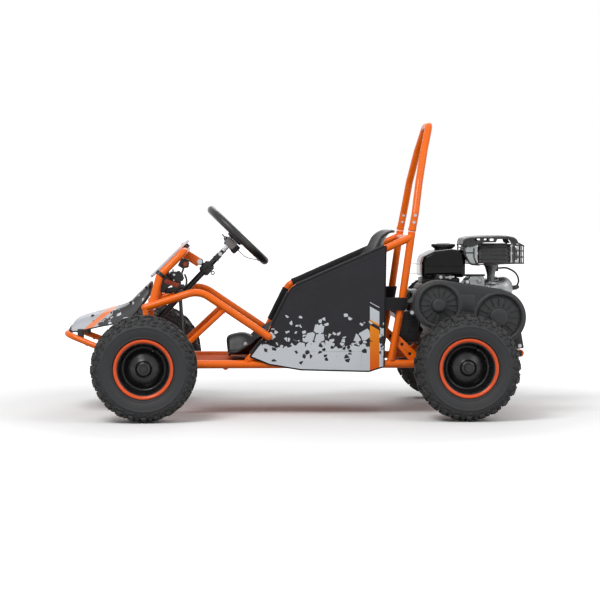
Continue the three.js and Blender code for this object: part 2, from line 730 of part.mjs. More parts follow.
// Knuckles: a sleeve on the kingpin, a stub axle and a steering arm that points back
const stub = { diameter: 16, shoulderDiameter: 26, nutDiameter: 24, nutLength: 12 };
const arm = { x: 64, inset: 3, z: 238, thickness: 7, width: 16 };
const hubInnerReach = -rim.hubInner;
function knuckle(side) {
  const y = (value) => side * value;
  const armPlace = y(kingpin.y - arm.inset);
  const armLow = arm.z - arm.thickness / 2;
  const shoulderEnd = frontTrack / 2 - hubInnerReach - touchGap;
  const nutStart = frontTrack / 2 + rim.hubOuter + touchGap;
  const pieces = [
    rod([0, y(kingpin.y), sleeve.bottom], [0, y(kingpin.y), sleeve.top], sleeve.diameter),
    rod([0, y(kingpin.y), axleHeight], [0, y(shoulderEnd), axleHeight], stub.shoulderDiameter),
    rod([0, y(kingpin.y), axleHeight], [0, y(nutStart + stub.nutLength), axleHeight], stub.diameter),
    nutAlong([0, y(nutStart), axleHeight], [0, y(nutStart + stub.nutLength), axleHeight], stub.nutDiameter),
    box([arm.x, arm.width, arm.thickness], [arm.x / 2, y(kingpin.y - arm.inset / 2), arm.z]),
    rod([arm.x, armPlace, armLow], [arm.x, armPlace, armLow + arm.thickness], arm.width),
  ];
  const bore = hole(
    [0, y(kingpin.y), sleeve.bottom - overrun], [0, y(kingpin.y), sleeve.top + overrun], kingpin.diameter,
  );
  return union(pieces).subtract(bore);
}

// Tie rods: from the steering arms to the ears of the pitman plate
const pitman = { reach: 45, earY: 20, earDiameter: 22, thickness: 6, hubDiameter: 30 };
const rodEnd = { diameter: 18, height: 9 };
const tieRodDiameter = 8;
function tieRodPiece(side) {
  const ear = onColumn(steering.pitmanPlace - pitman.thickness / 2, pitman.reach);
  const slopeDrop = (rodEnd.diameter / 2) * Math.tan(steering.lean);
  const innerZ = ear.z - slopeDrop - rodEnd.height / 2 - touchGap;
  const outerZ = arm.z - arm.thickness / 2 - rodEnd.height / 2 - touchGap;
  const inner = [ear.x, side * pitman.earY, innerZ];
  const outer = [arm.x, side * (kingpin.y - arm.inset), outerZ];
  const half = rodEnd.height / 2;
  const eye = ([x, y, z]) => rod([x, y, z - half], [x, y, z + half], rodEnd.diameter);
  return union([eye(inner), eye(outer), rod(inner, outer, tieRodDiameter, tieRodDiameter, slimSides)]);
}

// What turns with the steering wheel, built with its own Z along the column
const handWheel = {
  diameter: 265, grip: 27, hubDiameter: 56, hubThickness: 8, hubDrop: 16, spokeWidth: 24, spokeThickness: 5,
};
const hubBlock = {
  width: 38, length: 26, depth: 38, shaftDiameter: 14, top: -22, canDiameter: 20, canLength: 30,
};
const lever = { out: 24.5, hubDiameter: 9, hubLength: 15.4, cheek: 2, reach: 15, width: 12, thickness: 4 };
const spokeCount = 3;
function steeringColumn() {
  const bottom = steering.footPlace - footBearing.length;
  const column = rod([0, 0, bottom], [0, 0, steering.columnTop], steering.columnDiameter);
  const halfPlate = pitman.thickness / 2;
  const place = steering.pitmanPlace;
  const hub = rod([0, 0, place - halfPlate], [0, 0, place + halfPlate], pitman.hubDiameter);
  const web = box([pitman.reach, 2 * pitman.earY, pitman.thickness], [pitman.reach / 2, 0, place]);
  const ears = bothSides.map((side) => {
    const [x, y] = [pitman.reach, side * pitman.earY];
    return rod([x, y, place - halfPlate], [x, y, place + halfPlate], pitman.earDiameter);
  });
  return union([column, hub, web, ...ears]);
}
function steeringHub() {
  const shaftFoot = steering.columnTop + touchGap;
  const shaft = rod([0, 0, shaftFoot], [0, 0, hubBlock.top - hubBlock.length], hubBlock.shaftDiameter);
  const blockMiddle = hubBlock.top - hubBlock.length / 2;
  const block = box([hubBlock.depth, hubBlock.width, hubBlock.length], [0, 0, blockMiddle]);
  const canX = hubBlock.depth / 2 + hubBlock.canDiameter / 4;
  const canTop = hubBlock.top - overrun;
  const can = rod([canX, 0, canTop - hubBlock.canLength], [canX, 0, canTop], hubBlock.canDiameter);
  const cheekLength = lever.out + lever.hubDiameter / 2 - hubBlock.depth / 2;
  const cheekY = lever.hubLength / 2 + touchGap + lever.cheek / 2;
  const cheeks = bothSides.map((side) => box(
    [cheekLength + overrun, lever.cheek, lever.hubDiameter],
    [-(hubBlock.depth + cheekLength - overrun) / 2, side * cheekY, blockMiddle],
  ));
  return union([shaft, block, can, ...cheeks]);
}
function switchLever() {
  const z = hubBlock.top - hubBlock.length / 2;
  const half = lever.hubLength / 2;
  const hub = rod([-lever.out, -half, z], [-lever.out, half, z], lever.hubDiameter);
  const paddle = box([lever.reach, lever.width, lever.thickness], [-lever.out - lever.reach / 2, 0, z]);
  return hub.add(paddle);
}
function steeringWheel() {
  const ringRadius = (handWheel.diameter - handWheel.grip) / 2;
  const ring = solid(new THREE.TorusGeometry(ringRadius, handWheel.grip / 2, slimSides, wheelSegments));
  const hubTop = -handWheel.hubDrop + handWheel.hubThickness;
  const bottom = hubBlock.top + touchGap;
  const pieces = [ring, roundRod([0, 0, bottom], [0, 0, hubTop], handWheel.hubDiameter)];
  const rise = Math.atan2(handWheel.hubDrop, ringRadius);
  for (let i = 0; i < spokeCount; i += 1) {
    const spoke = new THREE.BoxGeometry(ringRadius, handWheel.spokeWidth, handWheel.spokeThickness);
    spoke.rotateY(-rise);
    spoke.translate(ringRadius / 2, 0, -handWheel.hubDrop / 2);
    spoke.rotateZ((2 * pi * i) / spokeCount);
    pieces.push(solid(spoke));
  }
  const roomSize = [handWheel.hubDiameter, handWheel.hubDiameter, hubBlock.length];
  return union(pieces).subtract(box(roomSize, [0, 0, bottom - hubBlock.length / 2]));
}
const switchWire = { diameter: 2.4, sag: 9, rimShare: 0.86, steps: 10 };
function switchWireRun() {
  const ringRadius = (handWheel.diameter - handWheel.grip) / 2;
  const startX = hubBlock.depth / 2 + (hubBlock.canDiameter * 3) / 4 + touchGap;
  const startZ = hubBlock.top - hubBlock.length / 2;
  const end = new THREE.Vector3(ringRadius * switchWire.rimShare, 0, -handWheel.grip / 2);
  const route = new THREE.CatmullRomCurve3([
    new THREE.Vector3(startX, 0, startZ),
    new THREE.Vector3((startX + end.x) / 2, 0, (startZ + end.z) / 2 - switchWire.sag),
    end,
  ]);
  return cord(route, switchWire.diameter, switchWire.steps);
}
function steeringGroup() {
  const group = new THREE.Group();
  group.position.set(steering.x, 0, steering.z);
  group.rotation.y = steering.lean;
  group.add(named("steering_column", steeringColumn(), blackSteel));
  group.add(named("steering_hub", steeringHub(), castAlloy));
  group.add(named("switch_lever", switchLever(), blackPlastic));
  group.add(named("steering_wheel", steeringWheel(), softGrip));
  group.add(named("switch_wire", switchWireRun(), blackPlastic));
  return group;
}

// Pedals: tall levers on the pins of the floor lugs
const pedal = {
  hubDiameter: 20, armWidth: 14, armThickness: 8, padZ: 405, padX: 98,
  padHeight: 52, padWidth: 58, padThickness: 9,
};
function pedalPiece(side, name, padHeight) {
  const y = side * pedals.y;
  const x = floorTube.pedalX;
  const lean = Math.atan2(pedal.padX - x, pedal.padZ - lug.height);
  const length = Math.hypot(pedal.padX - x, pedal.padZ - lug.height);
  const half = pedals.hubWidth / 2;
  const hub = rod([x, y - half, lug.height], [x, y + half, lug.height], pedal.hubDiameter);
  const shank = box(
    [pedal.armThickness, pedal.armWidth, length],
    [(x + pedal.padX) / 2, y, (lug.height + pedal.padZ) / 2], lean,
  );
  const pad = box([pedal.padThickness, pedal.padWidth, padHeight], [pedal.padX, y, pedal.padZ], lean);
  const bore = hole(
    [x, y - pedals.hubWidth, lug.height], [x, y + pedals.hubWidth, lug.height], lug.pinDiameter,
  );
  return named(name, union([hub, shank, pad]).subtract(bore), blackSteel);
}

// Front plate, fixed on the sloping part of the dash hoop
const frontPlateInset = 60;
const frontPlateSize = { length: 162, width: 2 * (railY - frontPlateInset), thickness: 4 };
function frontPlate() {
  const slope = Math.atan2(dash.topZ - dash.bendZ, dash.topX - dash.bendX);
  const lift = upperTube / 2 + touchGap + frontPlateSize.thickness / 2;
  const x = (dash.bendX + dash.topX) / 2 - lift * Math.sin(slope);
  const z = (dash.bendZ + dash.topZ) / 2 + lift * Math.cos(slope);
  return box([frontPlateSize.length, frontPlateSize.width, frontPlateSize.thickness], [x, 0, z], -slope);
}

// Small black box hung under the top of the dash hoop
const dashBox = { length: 32, width: 50, height: 40, y: -95 };
function dashSwitchBox() {
  const top = dash.topZ - upperTube / 2 - touchGap;
  return boxBetween(
    [dash.topX - dashBox.length / 2, dashBox.y - dashBox.width / 2, top - dashBox.height],
    [dash.topX + dashBox.length / 2, dashBox.y + dashBox.width / 2, top],
  );
}

// Nose fairing: a moulded hood with slanted skirts that rises to the dash
const fairingInset = { top: 41, skirt: 5 };
const fairing = {
  frontX: -246, rearX: 6, frontZ: 272, rearZ: 414,
  topHalf: railY - fairingInset.top, skirtHalf: railY - fairingInset.skirt, skirtDrop: 48,
  thickness: 3, corner: 8, crown: 5,
};
const fairingBracket = { length: 20, width: 14, height: 34, inset: 7 };
const bracketAlongShare = 0.81;
const fairingShares = [
  { along: 0, rise: 0, top: 0.585, skirt: 0.56, drop: 0.083 },
  { along: 0.08, rise: 0.19, top: 0.683, skirt: 0.75, drop: 0.71 },
  { along: 0.38, rise: 0.35, top: 0.854, skirt: 0.89, drop: 0.83 },
  { along: 0.695, rise: 0.51, top: 0.963, skirt: 1, drop: 0.92 },
  { along: 0.857, rise: 0.76, top: 0.988, skirt: 1, drop: 1 },
  { along: 1, rise: 1, top: 1, skirt: 0.98, drop: 0.625 },
];
function noseFairing() {
  const rows = fairingShares.map((share) => {
    const x = fairing.frontX + share.along * (fairing.rearX - fairing.frontX);
    const z = fairing.frontZ + share.rise * (fairing.rearZ - fairing.frontZ);
    const top = share.top * fairing.topHalf;
    const half = [
      [share.skirt * fairing.skirtHalf, -share.drop * fairing.skirtDrop],
      [top, -fairing.corner], [top - fairing.corner, 0],
    ];
    const left = half.map(([y, rise]) => [-y, rise]);
    const points = [...left, [0, fairing.crown], ...half.reverse()];
    return points.map(([y, rise]) => new THREE.Vector3(x, y, z + rise));
  });
  const b = fairingBracket;
  const x = nose.bendX + bracketAlongShare * (nose.tipX - nose.bendX);
  const y = railY + bracketAlongShare * (nose.tipY - railY) - b.inset;
  const z = railHeight + bracketAlongShare * (nose.tipZ - railHeight);
  const size = [b.length, b.width, b.height];
  const brackets = bothSides.map((side) => box(size, [x, side * y, z + b.height / 2]));
  return union([shell(rows, -fairing.thickness), ...brackets]).subtract(noseTubePiece(touchGap));
}

// Bucket seat: a moulded shell on four feet, with side wings and a raised front middle
const seatInset = 27;
const seat = {
  frontX: 262, rearX: 790, bottomZ: 186, topZ: 582, half: railY - seatInset, wing: 112, pommel: 60,
  thickness: 5, columns: 10, footWidth: 26, footLength: 40, footY: 78,
};
const wingStartShare = 0.62;
const pommelShare = 0.2;
const seatShares = [
  { along: 0, rise: 0.005, half: 0.9, wing: 0.05, pommel: 0.4 },
  { along: 0.042, rise: 0, half: 0.944, wing: 0.125, pommel: 0.867 },
  { along: 0.114, rise: 0.005, half: 0.978, wing: 0.304, pommel: 1 },
  { along: 0.167, rise: 0.01, half: 0.989, wing: 0.5, pommel: 0.567 },
  { along: 0.299, rise: 0.018, half: 1, wing: 0.75, pommel: 0.067 },
  { along: 0.564, rise: 0.028, half: 1, wing: 0.964, pommel: 0 },
  { along: 0.731, rise: 0.071, half: 1, wing: 1, pommel: 0 },
  { along: 0.833, rise: 0.192, half: 0.989, wing: 0.911, pommel: 0 },
  { along: 0.888, rise: 0.402, half: 0.978, wing: 0.821, pommel: 0 },
  { along: 0.93, rise: 0.629, half: 0.966, wing: 0.75, pommel: 0 },
  { along: 0.964, rise: 0.831, half: 0.933, wing: 0.554, pommel: 0 },
  { along: 0.987, rise: 0.939, half: 0.843, wing: 0.232, pommel: 0 },
  { along: 1, rise: 1, half: 0.719, wing: 0.054, pommel: 0 },
];
const footAlongShares = [0.356, 0.64];
function seatPoint(share) {
  return {
    x: seat.frontX + share.along * (seat.rearX - seat.frontX),
    z: seat.bottomZ + share.rise * (seat.topZ - seat.bottomZ),
  };
}
function seatUnderside(along) {
  const next = seatShares.findIndex((share) => share.along > along);
  const before = seatShares[next - 1];
  const after = seatShares[next];
  const between = (along - before.along) / (after.along - before.along);
  return seatPoint({ along, rise: before.rise + between * (after.rise - before.rise) });
}
function seatRow(share, i) {
  const before = seatPoint(seatShares[Math.max(i - 1, 0)]);
  const after = seatPoint(seatShares[Math.min(i + 1, seatShares.length - 1)]);
  const along = new THREE.Vector3(after.x - before.x, 0, after.z - before.z).normalize();
  const inward = new THREE.Vector3(-along.z, 0, along.x);
  const place = seatPoint(share);
  const row = [];
  for (let j = 0; j <= seat.columns; j += 1) {
    const across = (2 * j) / seat.columns - 1;
    const side = Math.max(0, (Math.abs(across) - wingStartShare) / (1 - wingStartShare));
    const pommel = share.pommel * seat.pommel * Math.exp(-((across / pommelShare) ** 2));
    const rise = share.wing * seat.wing * side ** 1.5 + pommel;
    const start = new THREE.Vector3(place.x, across * share.half * seat.half, place.z);
    row.push(start.addScaledVector(inward, rise));
  }
  return row;
}
function bucketSeat() {
  const pieces = [shell(seatShares.map(seatRow), seat.thickness)];
  const footBottom = panBottom + pan.thickness + touchGap;
  for (const along of footAlongShares) {
    const place = seatUnderside(along);
    for (const side of bothSides) {
      pieces.push(boxBetween(
        [place.x - seat.footLength / 2, side * seat.footY - seat.footWidth / 2, footBottom],
        [place.x + seat.footLength / 2, side * seat.footY + seat.footWidth / 2, place.z + seat.thickness / 2],
      ));
    }
  }
  return union(pieces);
}

// Side panels: taut cloth outside the tubes, with sleeves along the seat tube
const panel = {
  thickness: 3, sleeveDiameter: 29.5, edgeReach: 8, rearX: 759, hemDrop: 22,
  cornerGap: 44, kneeGap: 1.5, sleeveStartX: 380, sleeveStartZ: 236,
};
const panelEdgeShares = [
  [0, 0.22], [0, 0.55], [0, 0.98], [1, 0.55], [1, 0.98], [2, 0.02], [2, 0.55], [2, 0.79],
];
const panelHemShares = [[0.98, 0.32], [0.87, 1], [0.37, 0.73], [0.14, -0.05]];
function panelOutline() {
  const corners = seatTubeCorners();
  const edge = panelEdgeShares.map(([run, share]) => {
    const [fromX, fromZ] = corners[run];
    const [toX, toZ] = corners[run + 1];
    const length = Math.hypot(toX - fromX, toZ - fromZ);
    return [
      fromX + share * (toX - fromX) - (panel.edgeReach * (toZ - fromZ)) / length,
      fromZ + share * (toZ - fromZ) + (panel.edgeReach * (toX - fromX)) / length,
    ];
  });
  const frontX = edge[0][0];
  const hem = panelHemShares.map(([along, drop]) => [
    frontX + along * (panel.rearX - frontX), railHeight - drop * panel.hemDrop,
  ]);
  return [...edge, ...hem];
}
function sidePanel(side) {
  const inner = railY + mainTube / 2 + touchGap;
  const outline = panelOutline();
  const sheet = plate(outline, panel.thickness, side * (inner + panel.thickness / 2));
  const frontX = outline[0][0];
  const topZ = outline[panelEdgeShares.length - 1][1];
  const innerY = side * (railY - panel.sleeveDiameter / 2 - overrun);
  const outerY = side * (inner + panel.thickness);
  const room = boxBetween(
    [frontX, Math.min(innerY, outerY), railHeight - panel.hemDrop],
    [panel.rearX, Math.max(innerY, outerY), topZ],
  );
  const belowSleeve = boxBetween(
    [frontX - overrun, -railSpacing, railHeight - mainTube],
    [panel.sleeveStartX, railSpacing, panel.sleeveStartZ],
  );
  const sleevePiece = seatTubeRun(side, panel.sleeveDiameter)
    .intersect(room)
    .subtract(belowSleeve)
    .subtract(ball([seatTubes.cornerX, side * railY, seatTubes.cornerZ], panel.cornerGap));
  return sheet.add(sleevePiece)
    .subtract(seatTubeRun(side, upperTube + 2 * touchGap))
    .subtract(kneeTubeOnly(side, panel.kneeGap));
}

// Engine: crankcase, finned cylinder, domed head and the bosses that hold the belt drive
const crank = { x: 918, z: 353, diameter: 20 };
const finInset = 20;
const engine = {
  frontX: 868, rearX: 988, nearY: chainY + engineInset, farY: 55, topZ: 415,
  headX: 1150, headZ: 398, headDiameter: 74,
  finCount: 5, finThickness: 5, finPitch: 15, finSize: 96, barrel: 70, bossDiameter: 84, corner: 16,
  nearFin: chainY + engineInset + finInset, farFin: 12,
};
const beltDrive = { inner: jackshaftReach - chainY, plateThickness: 5, leftRadius: 78, rightRadius: 87 };
const jackshaft = { x: 1107, z: 314, diameter: 17 };
const cylinderY = (engine.nearFin + engine.farFin) / 2;
function barrelZ(x) {
  const foot = engine.rearX - engine.corner;
  return crank.z + ((x - foot) / (engine.headX - foot)) * (engine.headZ - crank.z);
}
function barrelRod(grow = 0) {
  const from = [engine.rearX - engine.corner, cylinderY, crank.z];
  const to = [engine.headX, cylinderY, engine.headZ];
  return roundRod(from, to, engine.barrel + 2 * grow);
}
function engineBlock() {
  const c = engine.corner;
  const foot = plateTop + touchGap;
  const outline = [
    [engine.frontX, foot], [engine.rearX + c, foot], [engine.rearX + c, crank.z - c],
    [engine.rearX, engine.topZ - c], [engine.rearX - c, engine.topZ],
    [engine.frontX + c, engine.topZ], [engine.frontX, engine.topZ - c],
  ];
  const width = engine.farY - engine.nearY;
  const pieces = [plate(outline, width, (engine.farY + engine.nearY) / 2)];
  pieces.push(barrelRod());
  const finBox = [engine.finThickness, engine.farFin - engine.nearFin, engine.finSize];
  for (let fin = 0; fin < engine.finCount; fin += 1) {
    const x = engine.rearX + c + engine.finPitch * (fin + 1);
    pieces.push(box(finBox, [x, cylinderY, barrelZ(x)]));
  }
  const head = new THREE.SphereGeometry(engine.headDiameter / 2, roundSegments / 2, roundSegments / 3);
  head.translate(engine.headX, cylinderY, engine.headZ);
  pieces.push(solid(head));
  pieces.push(roundRod(
    [crank.x, engine.nearY + overrun, crank.z], [crank.x, -beltDrive.inner + touchGap, crank.z],
    engine.bossDiameter,
  ));
  const crankBore = hole(
    [crank.x, -beltDrive.inner - overrun, crank.z], [crank.x, engine.nearY + engine.corner * 2, crank.z],
    crank.diameter,
  );
  return union(pieces).subtract(crankBore);
}

// Fuel tank over the crankcase, with a filler neck and a ribbed cap
const tankReach = 16;
const tank = {
  frontX: 881, rearX: 1022, bottomZ: 434, topZ: 526, nearY: engine.nearY - tankReach, farY: 72,
  bevel: 12, slope: 22,
};
const filler = {
  x: 960, y: -28, neckDiameter: 48, neckHeight: 5, capDiameter: 74, capHeight: 17, capRibs: 24,
};
function fuelTank() {
  const t = tank;
  const outline = [
    [t.frontX, t.bottomZ], [t.rearX, t.bottomZ], [t.rearX, t.topZ],
    [t.frontX + 2 * t.slope, t.topZ - t.slope / 4], [t.frontX + t.slope / 2, t.topZ - t.slope],
    [t.frontX, t.topZ - 2 * t.slope],
  ];
  const body = plate(outline, t.farY - t.nearY, (t.farY + t.nearY) / 2, [], t.bevel);
  const neck = roundRod(
    [filler.x, filler.y, t.topZ - t.slope], [filler.x, filler.y, t.topZ + filler.neckHeight],
    filler.neckDiameter,
  );
  const legs = [t.frontX + t.slope, t.rearX - 2 * t.slope].map((x) => boxBetween(
    [x, t.nearY / 2, engine.topZ + touchGap], [x + t.slope, t.farY / 2, t.bottomZ + t.bevel],
  ));
  return union([body, neck, ...legs]);
}
function tankCap() {
  const bottom = tank.topZ + filler.neckHeight + touchGap;
  const shape = new THREE.Shape();
  for (let i = 0; i < filler.capRibs * 2; i += 1) {
    const angle = (i * pi) / filler.capRibs;
    const radius = i % 2 ? filler.capDiameter / 2 - overrun : filler.capDiameter / 2;
    shape[i ? "lineTo" : "moveTo"](radius * Math.cos(angle), radius * Math.sin(angle));
  }
  const geometry = new THREE.ExtrudeGeometry(shape, { depth: filler.capHeight, bevelEnabled: false });
  geometry.translate(filler.x, filler.y, bottom);
  return solid(geometry);
}

// Muffler on its pipe, inside a slotted guard
const muffler = {
  frontX: 1052, rearX: 1192, bottomZ: 478, topZ: 545, nearY: -128, farY: 8, bevel: 12,
  pipeX: 1106, pipeDiameter: 24, flareDiameter: 44,
};
const guard = {
  frontX: 1024, rearX: 1224, bottomZ: 470, topZ: 567, nearY: -146, farY: 26,
  bar: 4, slats: 3, posts: 4, lid: 3,
};
function mufflerBody() {
  const m = muffler;
  const outline = [[m.frontX, m.bottomZ], [m.rearX, m.bottomZ], [m.rearX, m.topZ], [m.frontX, m.topZ]];
  const body = plate(outline, m.farY - m.nearY, (m.farY + m.nearY) / 2, [], m.bevel);
  const pipeFoot = [m.pipeX, cylinderY, barrelZ(m.pipeX)];
  const pipeTop = [m.pipeX, cylinderY, m.bottomZ + m.bevel];
  const pipe = rod(pipeFoot, pipeTop, m.pipeDiameter, m.flareDiameter);
  return body.add(pipe).subtract(barrelRod(touchGap));
}
function guardRing(bottom) {
  const g = guard;
  const outer = boxBetween([g.frontX, g.nearY, bottom], [g.rearX, g.farY, bottom + g.bar]);
  return outer.subtract(boxBetween(
    [g.frontX + g.bar, g.nearY + g.bar, bottom - overrun],
    [g.rearX - g.bar, g.farY - g.bar, bottom + g.bar + overrun],
  ));
}
function mufflerGuard() {
  const g = guard;
  const pieces = [boxBetween([g.frontX, g.nearY, g.topZ - g.lid], [g.rearX, g.farY, g.topZ])];
  for (let slat = 0; slat <= g.slats; slat += 1) {
    pieces.push(guardRing(g.bottomZ + (slat * (g.topZ - g.lid - g.bottomZ)) / (g.slats + 1)));
  }
  for (let post = 0; post < g.posts; post += 1) {
    const x = g.frontX + (post * (g.rearX - g.frontX - g.bar)) / (g.posts - 1);
    for (const y of [g.nearY, g.farY - g.bar]) {
      pieces.push(boxBetween([x, y, g.bottomZ], [x + g.bar, y + g.bar, g.topZ]));
    }
  }
  const footTop = muffler.topZ - 2 * muffler.bevel;
  const feet = [[g.nearY, muffler.nearY - touchGap], [muffler.farY + touchGap, g.farY]];
  for (const [low, high] of feet) {
    pieces.push(boxBetween(
      [muffler.pipeX - muffler.bevel, low, footTop - muffler.bevel],
      [muffler.pipeX + muffler.bevel, high, footTop],
    ));
  }
  return union(pieces);
}

// Recoil starter on the far side of the crankcase
const recoil = { diameter: 150, depth: 34, rim: 8, hubDiameter: 52, handle: 30 };
function recoilStarter() {
  const y = engine.farY + touchGap;
  const radius = recoil.diameter / 2;
  const hubRadius = recoil.hubDiameter / 2;
  const hubTop = recoil.depth + recoil.rim;
  const profile = [
    [0, 0], [radius, 0], [radius, recoil.depth - recoil.rim], [radius - recoil.rim, recoil.depth],
    [hubRadius, recoil.depth], [hubRadius, hubTop], [0, hubTop],
  ];
  const drum = turned(profile, [crank.x, y, crank.z]);
  const handle = boxBetween(
    [crank.x - radius - recoil.rim, y + recoil.rim, crank.z - recoil.handle / 2],
    [crank.x - radius + recoil.rim, y + recoil.rim * 2, crank.z + recoil.handle / 2],
  );
  return drum.add(handle);
}

// Air cleaner in front of the crankcase
const airBoxReach = 48;
const airBox = {
  frontX: 802, bottomZ: 226, topZ: 330, nearY: engine.nearY - airBoxReach, farY: -40, corner: 34,
  neckDiameter: 36,
};
function airCleaner() {
  const a = airBox;
  const rearX = engine.frontX - touchGap;
  const wall = rearX - a.corner / 4;
  const shoulderX = a.frontX + a.corner;
  const noseX = a.frontX + a.corner / 2;
  const outline = [
    [shoulderX, a.bottomZ], [wall, a.bottomZ], [wall, a.topZ],
    [shoulderX, a.topZ], [noseX, a.topZ - a.corner], [noseX, a.bottomZ + a.corner],
  ];
  const middleY = (a.nearY + a.farY) / 2;
  const body = plate(outline, a.farY - a.nearY, middleY, [], overrun);
  const neckZ = (a.topZ + a.bottomZ) / 2;
  const neckY = engine.nearY / 2;
  const neck = rod([wall - overrun, neckY, neckZ], [rearX, neckY, neckZ], a.neckDiameter);
  return body.add(neck);
}

// Cooling shroud: a bent sheet over the cylinder
const shroud = { frontX: 1008, rearX: 1088, thickness: 4, nearY: -96, farY: 16, lip: 24 };
function coolingShroud() {
  const s = shroud;
  const bottomFront = barrelZ(s.frontX + engine.finThickness) + engine.finSize / 2 + touchGap;
  const bottomRear = barrelZ(s.rearX + engine.finThickness) + engine.finSize / 2 + touchGap;
  const outline = [
    [s.frontX, bottomFront], [s.rearX, bottomRear], [s.rearX, bottomRear + s.thickness],
    [s.frontX + s.lip, bottomFront + s.thickness + s.lip / 2], [s.frontX, bottomFront + s.thickness],
  ];
  return plate(outline, s.farY - s.nearY, (s.farY + s.nearY) / 2);
}

// Belt drive: back plate, two pulleys, belt and the moulded cover
const shaftOverhang = 50;
const pulley = {
  shaftReach: beltDrive.inner + shaftOverhang, faceGap: 10, flange: 6, beltWidth: 14, beltThickness: 10,
  driveRadius: 58, driveCore: 36, drivenRadius: 72, drivenCore: 56,
};
const pulleyFace = beltDrive.inner + beltDrive.plateThickness + pulley.faceGap;
const beltY = -(pulleyFace + pulley.flange + touchGap + pulley.beltWidth / 2);
function pulleyBody(centre, radius, core, shaftDiameter, from, to) {
  const half = pulley.beltWidth / 2 + touchGap;
  const profile = [
    [0, -half - pulley.flange], [radius, -half - pulley.flange / 2], [radius, -half], [core, -half],
    [core, half], [radius, half], [radius, half + pulley.flange / 2], [0, half + pulley.flange],
  ];
  const body = turned(profile, [centre.x, beltY, centre.z]);
  const shaft = rod([centre.x, from, centre.z], [centre.x, to, centre.z], shaftDiameter);
  return body.add(shaft);
}
function drivePulley() {
  const inner = engine.nearY + engine.corner;
  return pulleyBody(crank, pulley.driveRadius, pulley.driveCore, crank.diameter, -pulley.shaftReach, inner);
}
const sprocket = {
  thickness: 5, smallTeeth: 12, smallRadius: 25, largeTeeth: 38, largeRadius: 78,
  toothDepth: 5, hubDiameter: 60,
};
function toothedDisc(centre, radius, teeth) {
  const outline = [];
  for (let i = 0; i < teeth; i += 1) {
    const base = (i * 2 * pi) / teeth;
    const steps = [[0, radius - sprocket.toothDepth], [0.5, radius]];
    for (const [share, at] of steps) {
      const angle = base + (share * 2 * pi) / teeth;
      outline.push([centre.x + at * Math.cos(angle), centre.z + at * Math.sin(angle)]);
    }
  }
  return plate(outline, sprocket.thickness, chainY);
}
function drivenPulley() {
  const inner = chainY + sprocket.thickness * 2;
  const { drivenRadius, drivenCore, shaftReach } = pulley;
  return pulleyBody(jackshaft, drivenRadius, drivenCore, jackshaft.diameter, -shaftReach, inner)
    .add(toothedDisc(jackshaft, sprocket.smallRadius, sprocket.smallTeeth));
}
function driveBelt() {
  const inner = roundTwo(crank, jackshaft, pulley.driveCore + touchGap, pulley.drivenCore + touchGap);
  const thick = pulley.beltThickness + touchGap;
  const outer = roundTwo(crank, jackshaft, pulley.driveCore + thick, pulley.drivenCore + thick);
  return plate(outer, pulley.beltWidth, beltY, [inner]);
}
const rearAxleCentre = { x: wheelbase, z: axleHeight };
const chain = { width: 9, thickness: 7 };
function driveChain() {
  const small = sprocket.smallRadius + touchGap;
  const large = sprocket.largeRadius + touchGap;
  const inner = roundTwo(rearAxleCentre, jackshaft, large, small);
  const outer = roundTwo(rearAxleCentre, jackshaft, large + chain.thickness, small + chain.thickness);
  return plate(outer, chain.width, chainY, [inner]);
}
const jackshaftBoss = { diameter: 40, length: 34 };
function backPlate() {
  const y = -(beltDrive.inner + beltDrive.plateThickness / 2);
  const outline = roundTwo(crank, jackshaft, beltDrive.leftRadius, beltDrive.rightRadius);
  const inner = -beltDrive.inner;
  const boss = roundRod(
    [jackshaft.x, inner - overrun, jackshaft.z], [jackshaft.x, inner + jackshaftBoss.length, jackshaft.z],
    jackshaftBoss.diameter,
  );
  const holeStart = inner - beltDrive.plateThickness - overrun;
  const jackBore = hole(
    [jackshaft.x, holeStart, jackshaft.z], [jackshaft.x, inner + jackshaftBoss.length + overrun, jackshaft.z],
    jackshaft.diameter,
  );
  const crankBore = rod(
    [crank.x, holeStart, crank.z], [crank.x, inner + overrun, crank.z], crank.diameter + 2 * overrun,
  );
  return plate(outline, beltDrive.plateThickness, y).add(boss).subtract(jackBore).subtract(crankBore);
}
const coverShape = {
  wall: 3, bevel: 8, ringWidth: 7, ringRise: 4,
  leftRing: 71, rightRing: 78, leftHub: 22, rightHub: 29, hubRise: 9,
  earFrontX: 1150, earRearX: 1192, earTopZ: 266, earDrop: 52, earThickness: 8, ribs: 8, ribWidth: 3,
};
function coverRing(centre, radius, faceY) {
  const profile = [
    [radius - coverShape.ringWidth, overrun], [radius, overrun], [radius, -coverShape.ringRise],
    [radius - coverShape.ringWidth, -coverShape.ringRise], [radius - coverShape.ringWidth, overrun],
  ];
  return turned(profile.reverse(), [centre.x, faceY, centre.z]);
}
function coverRibs(centre, hubRadius, radius, faceY) {
  const pieces = [];
  for (let i = 0; i < coverShape.ribs; i += 1) {
    const rib = new THREE.BoxGeometry(radius - hubRadius, coverShape.ringRise, coverShape.ribWidth);
    rib.translate((radius + hubRadius) / 2, 0, 0);
    rib.rotateY((i * 2 * pi) / coverShape.ribs);
    rib.translate(centre.x, faceY, centre.z);
    pieces.push(solid(rib));
  }
  return union(pieces);
}
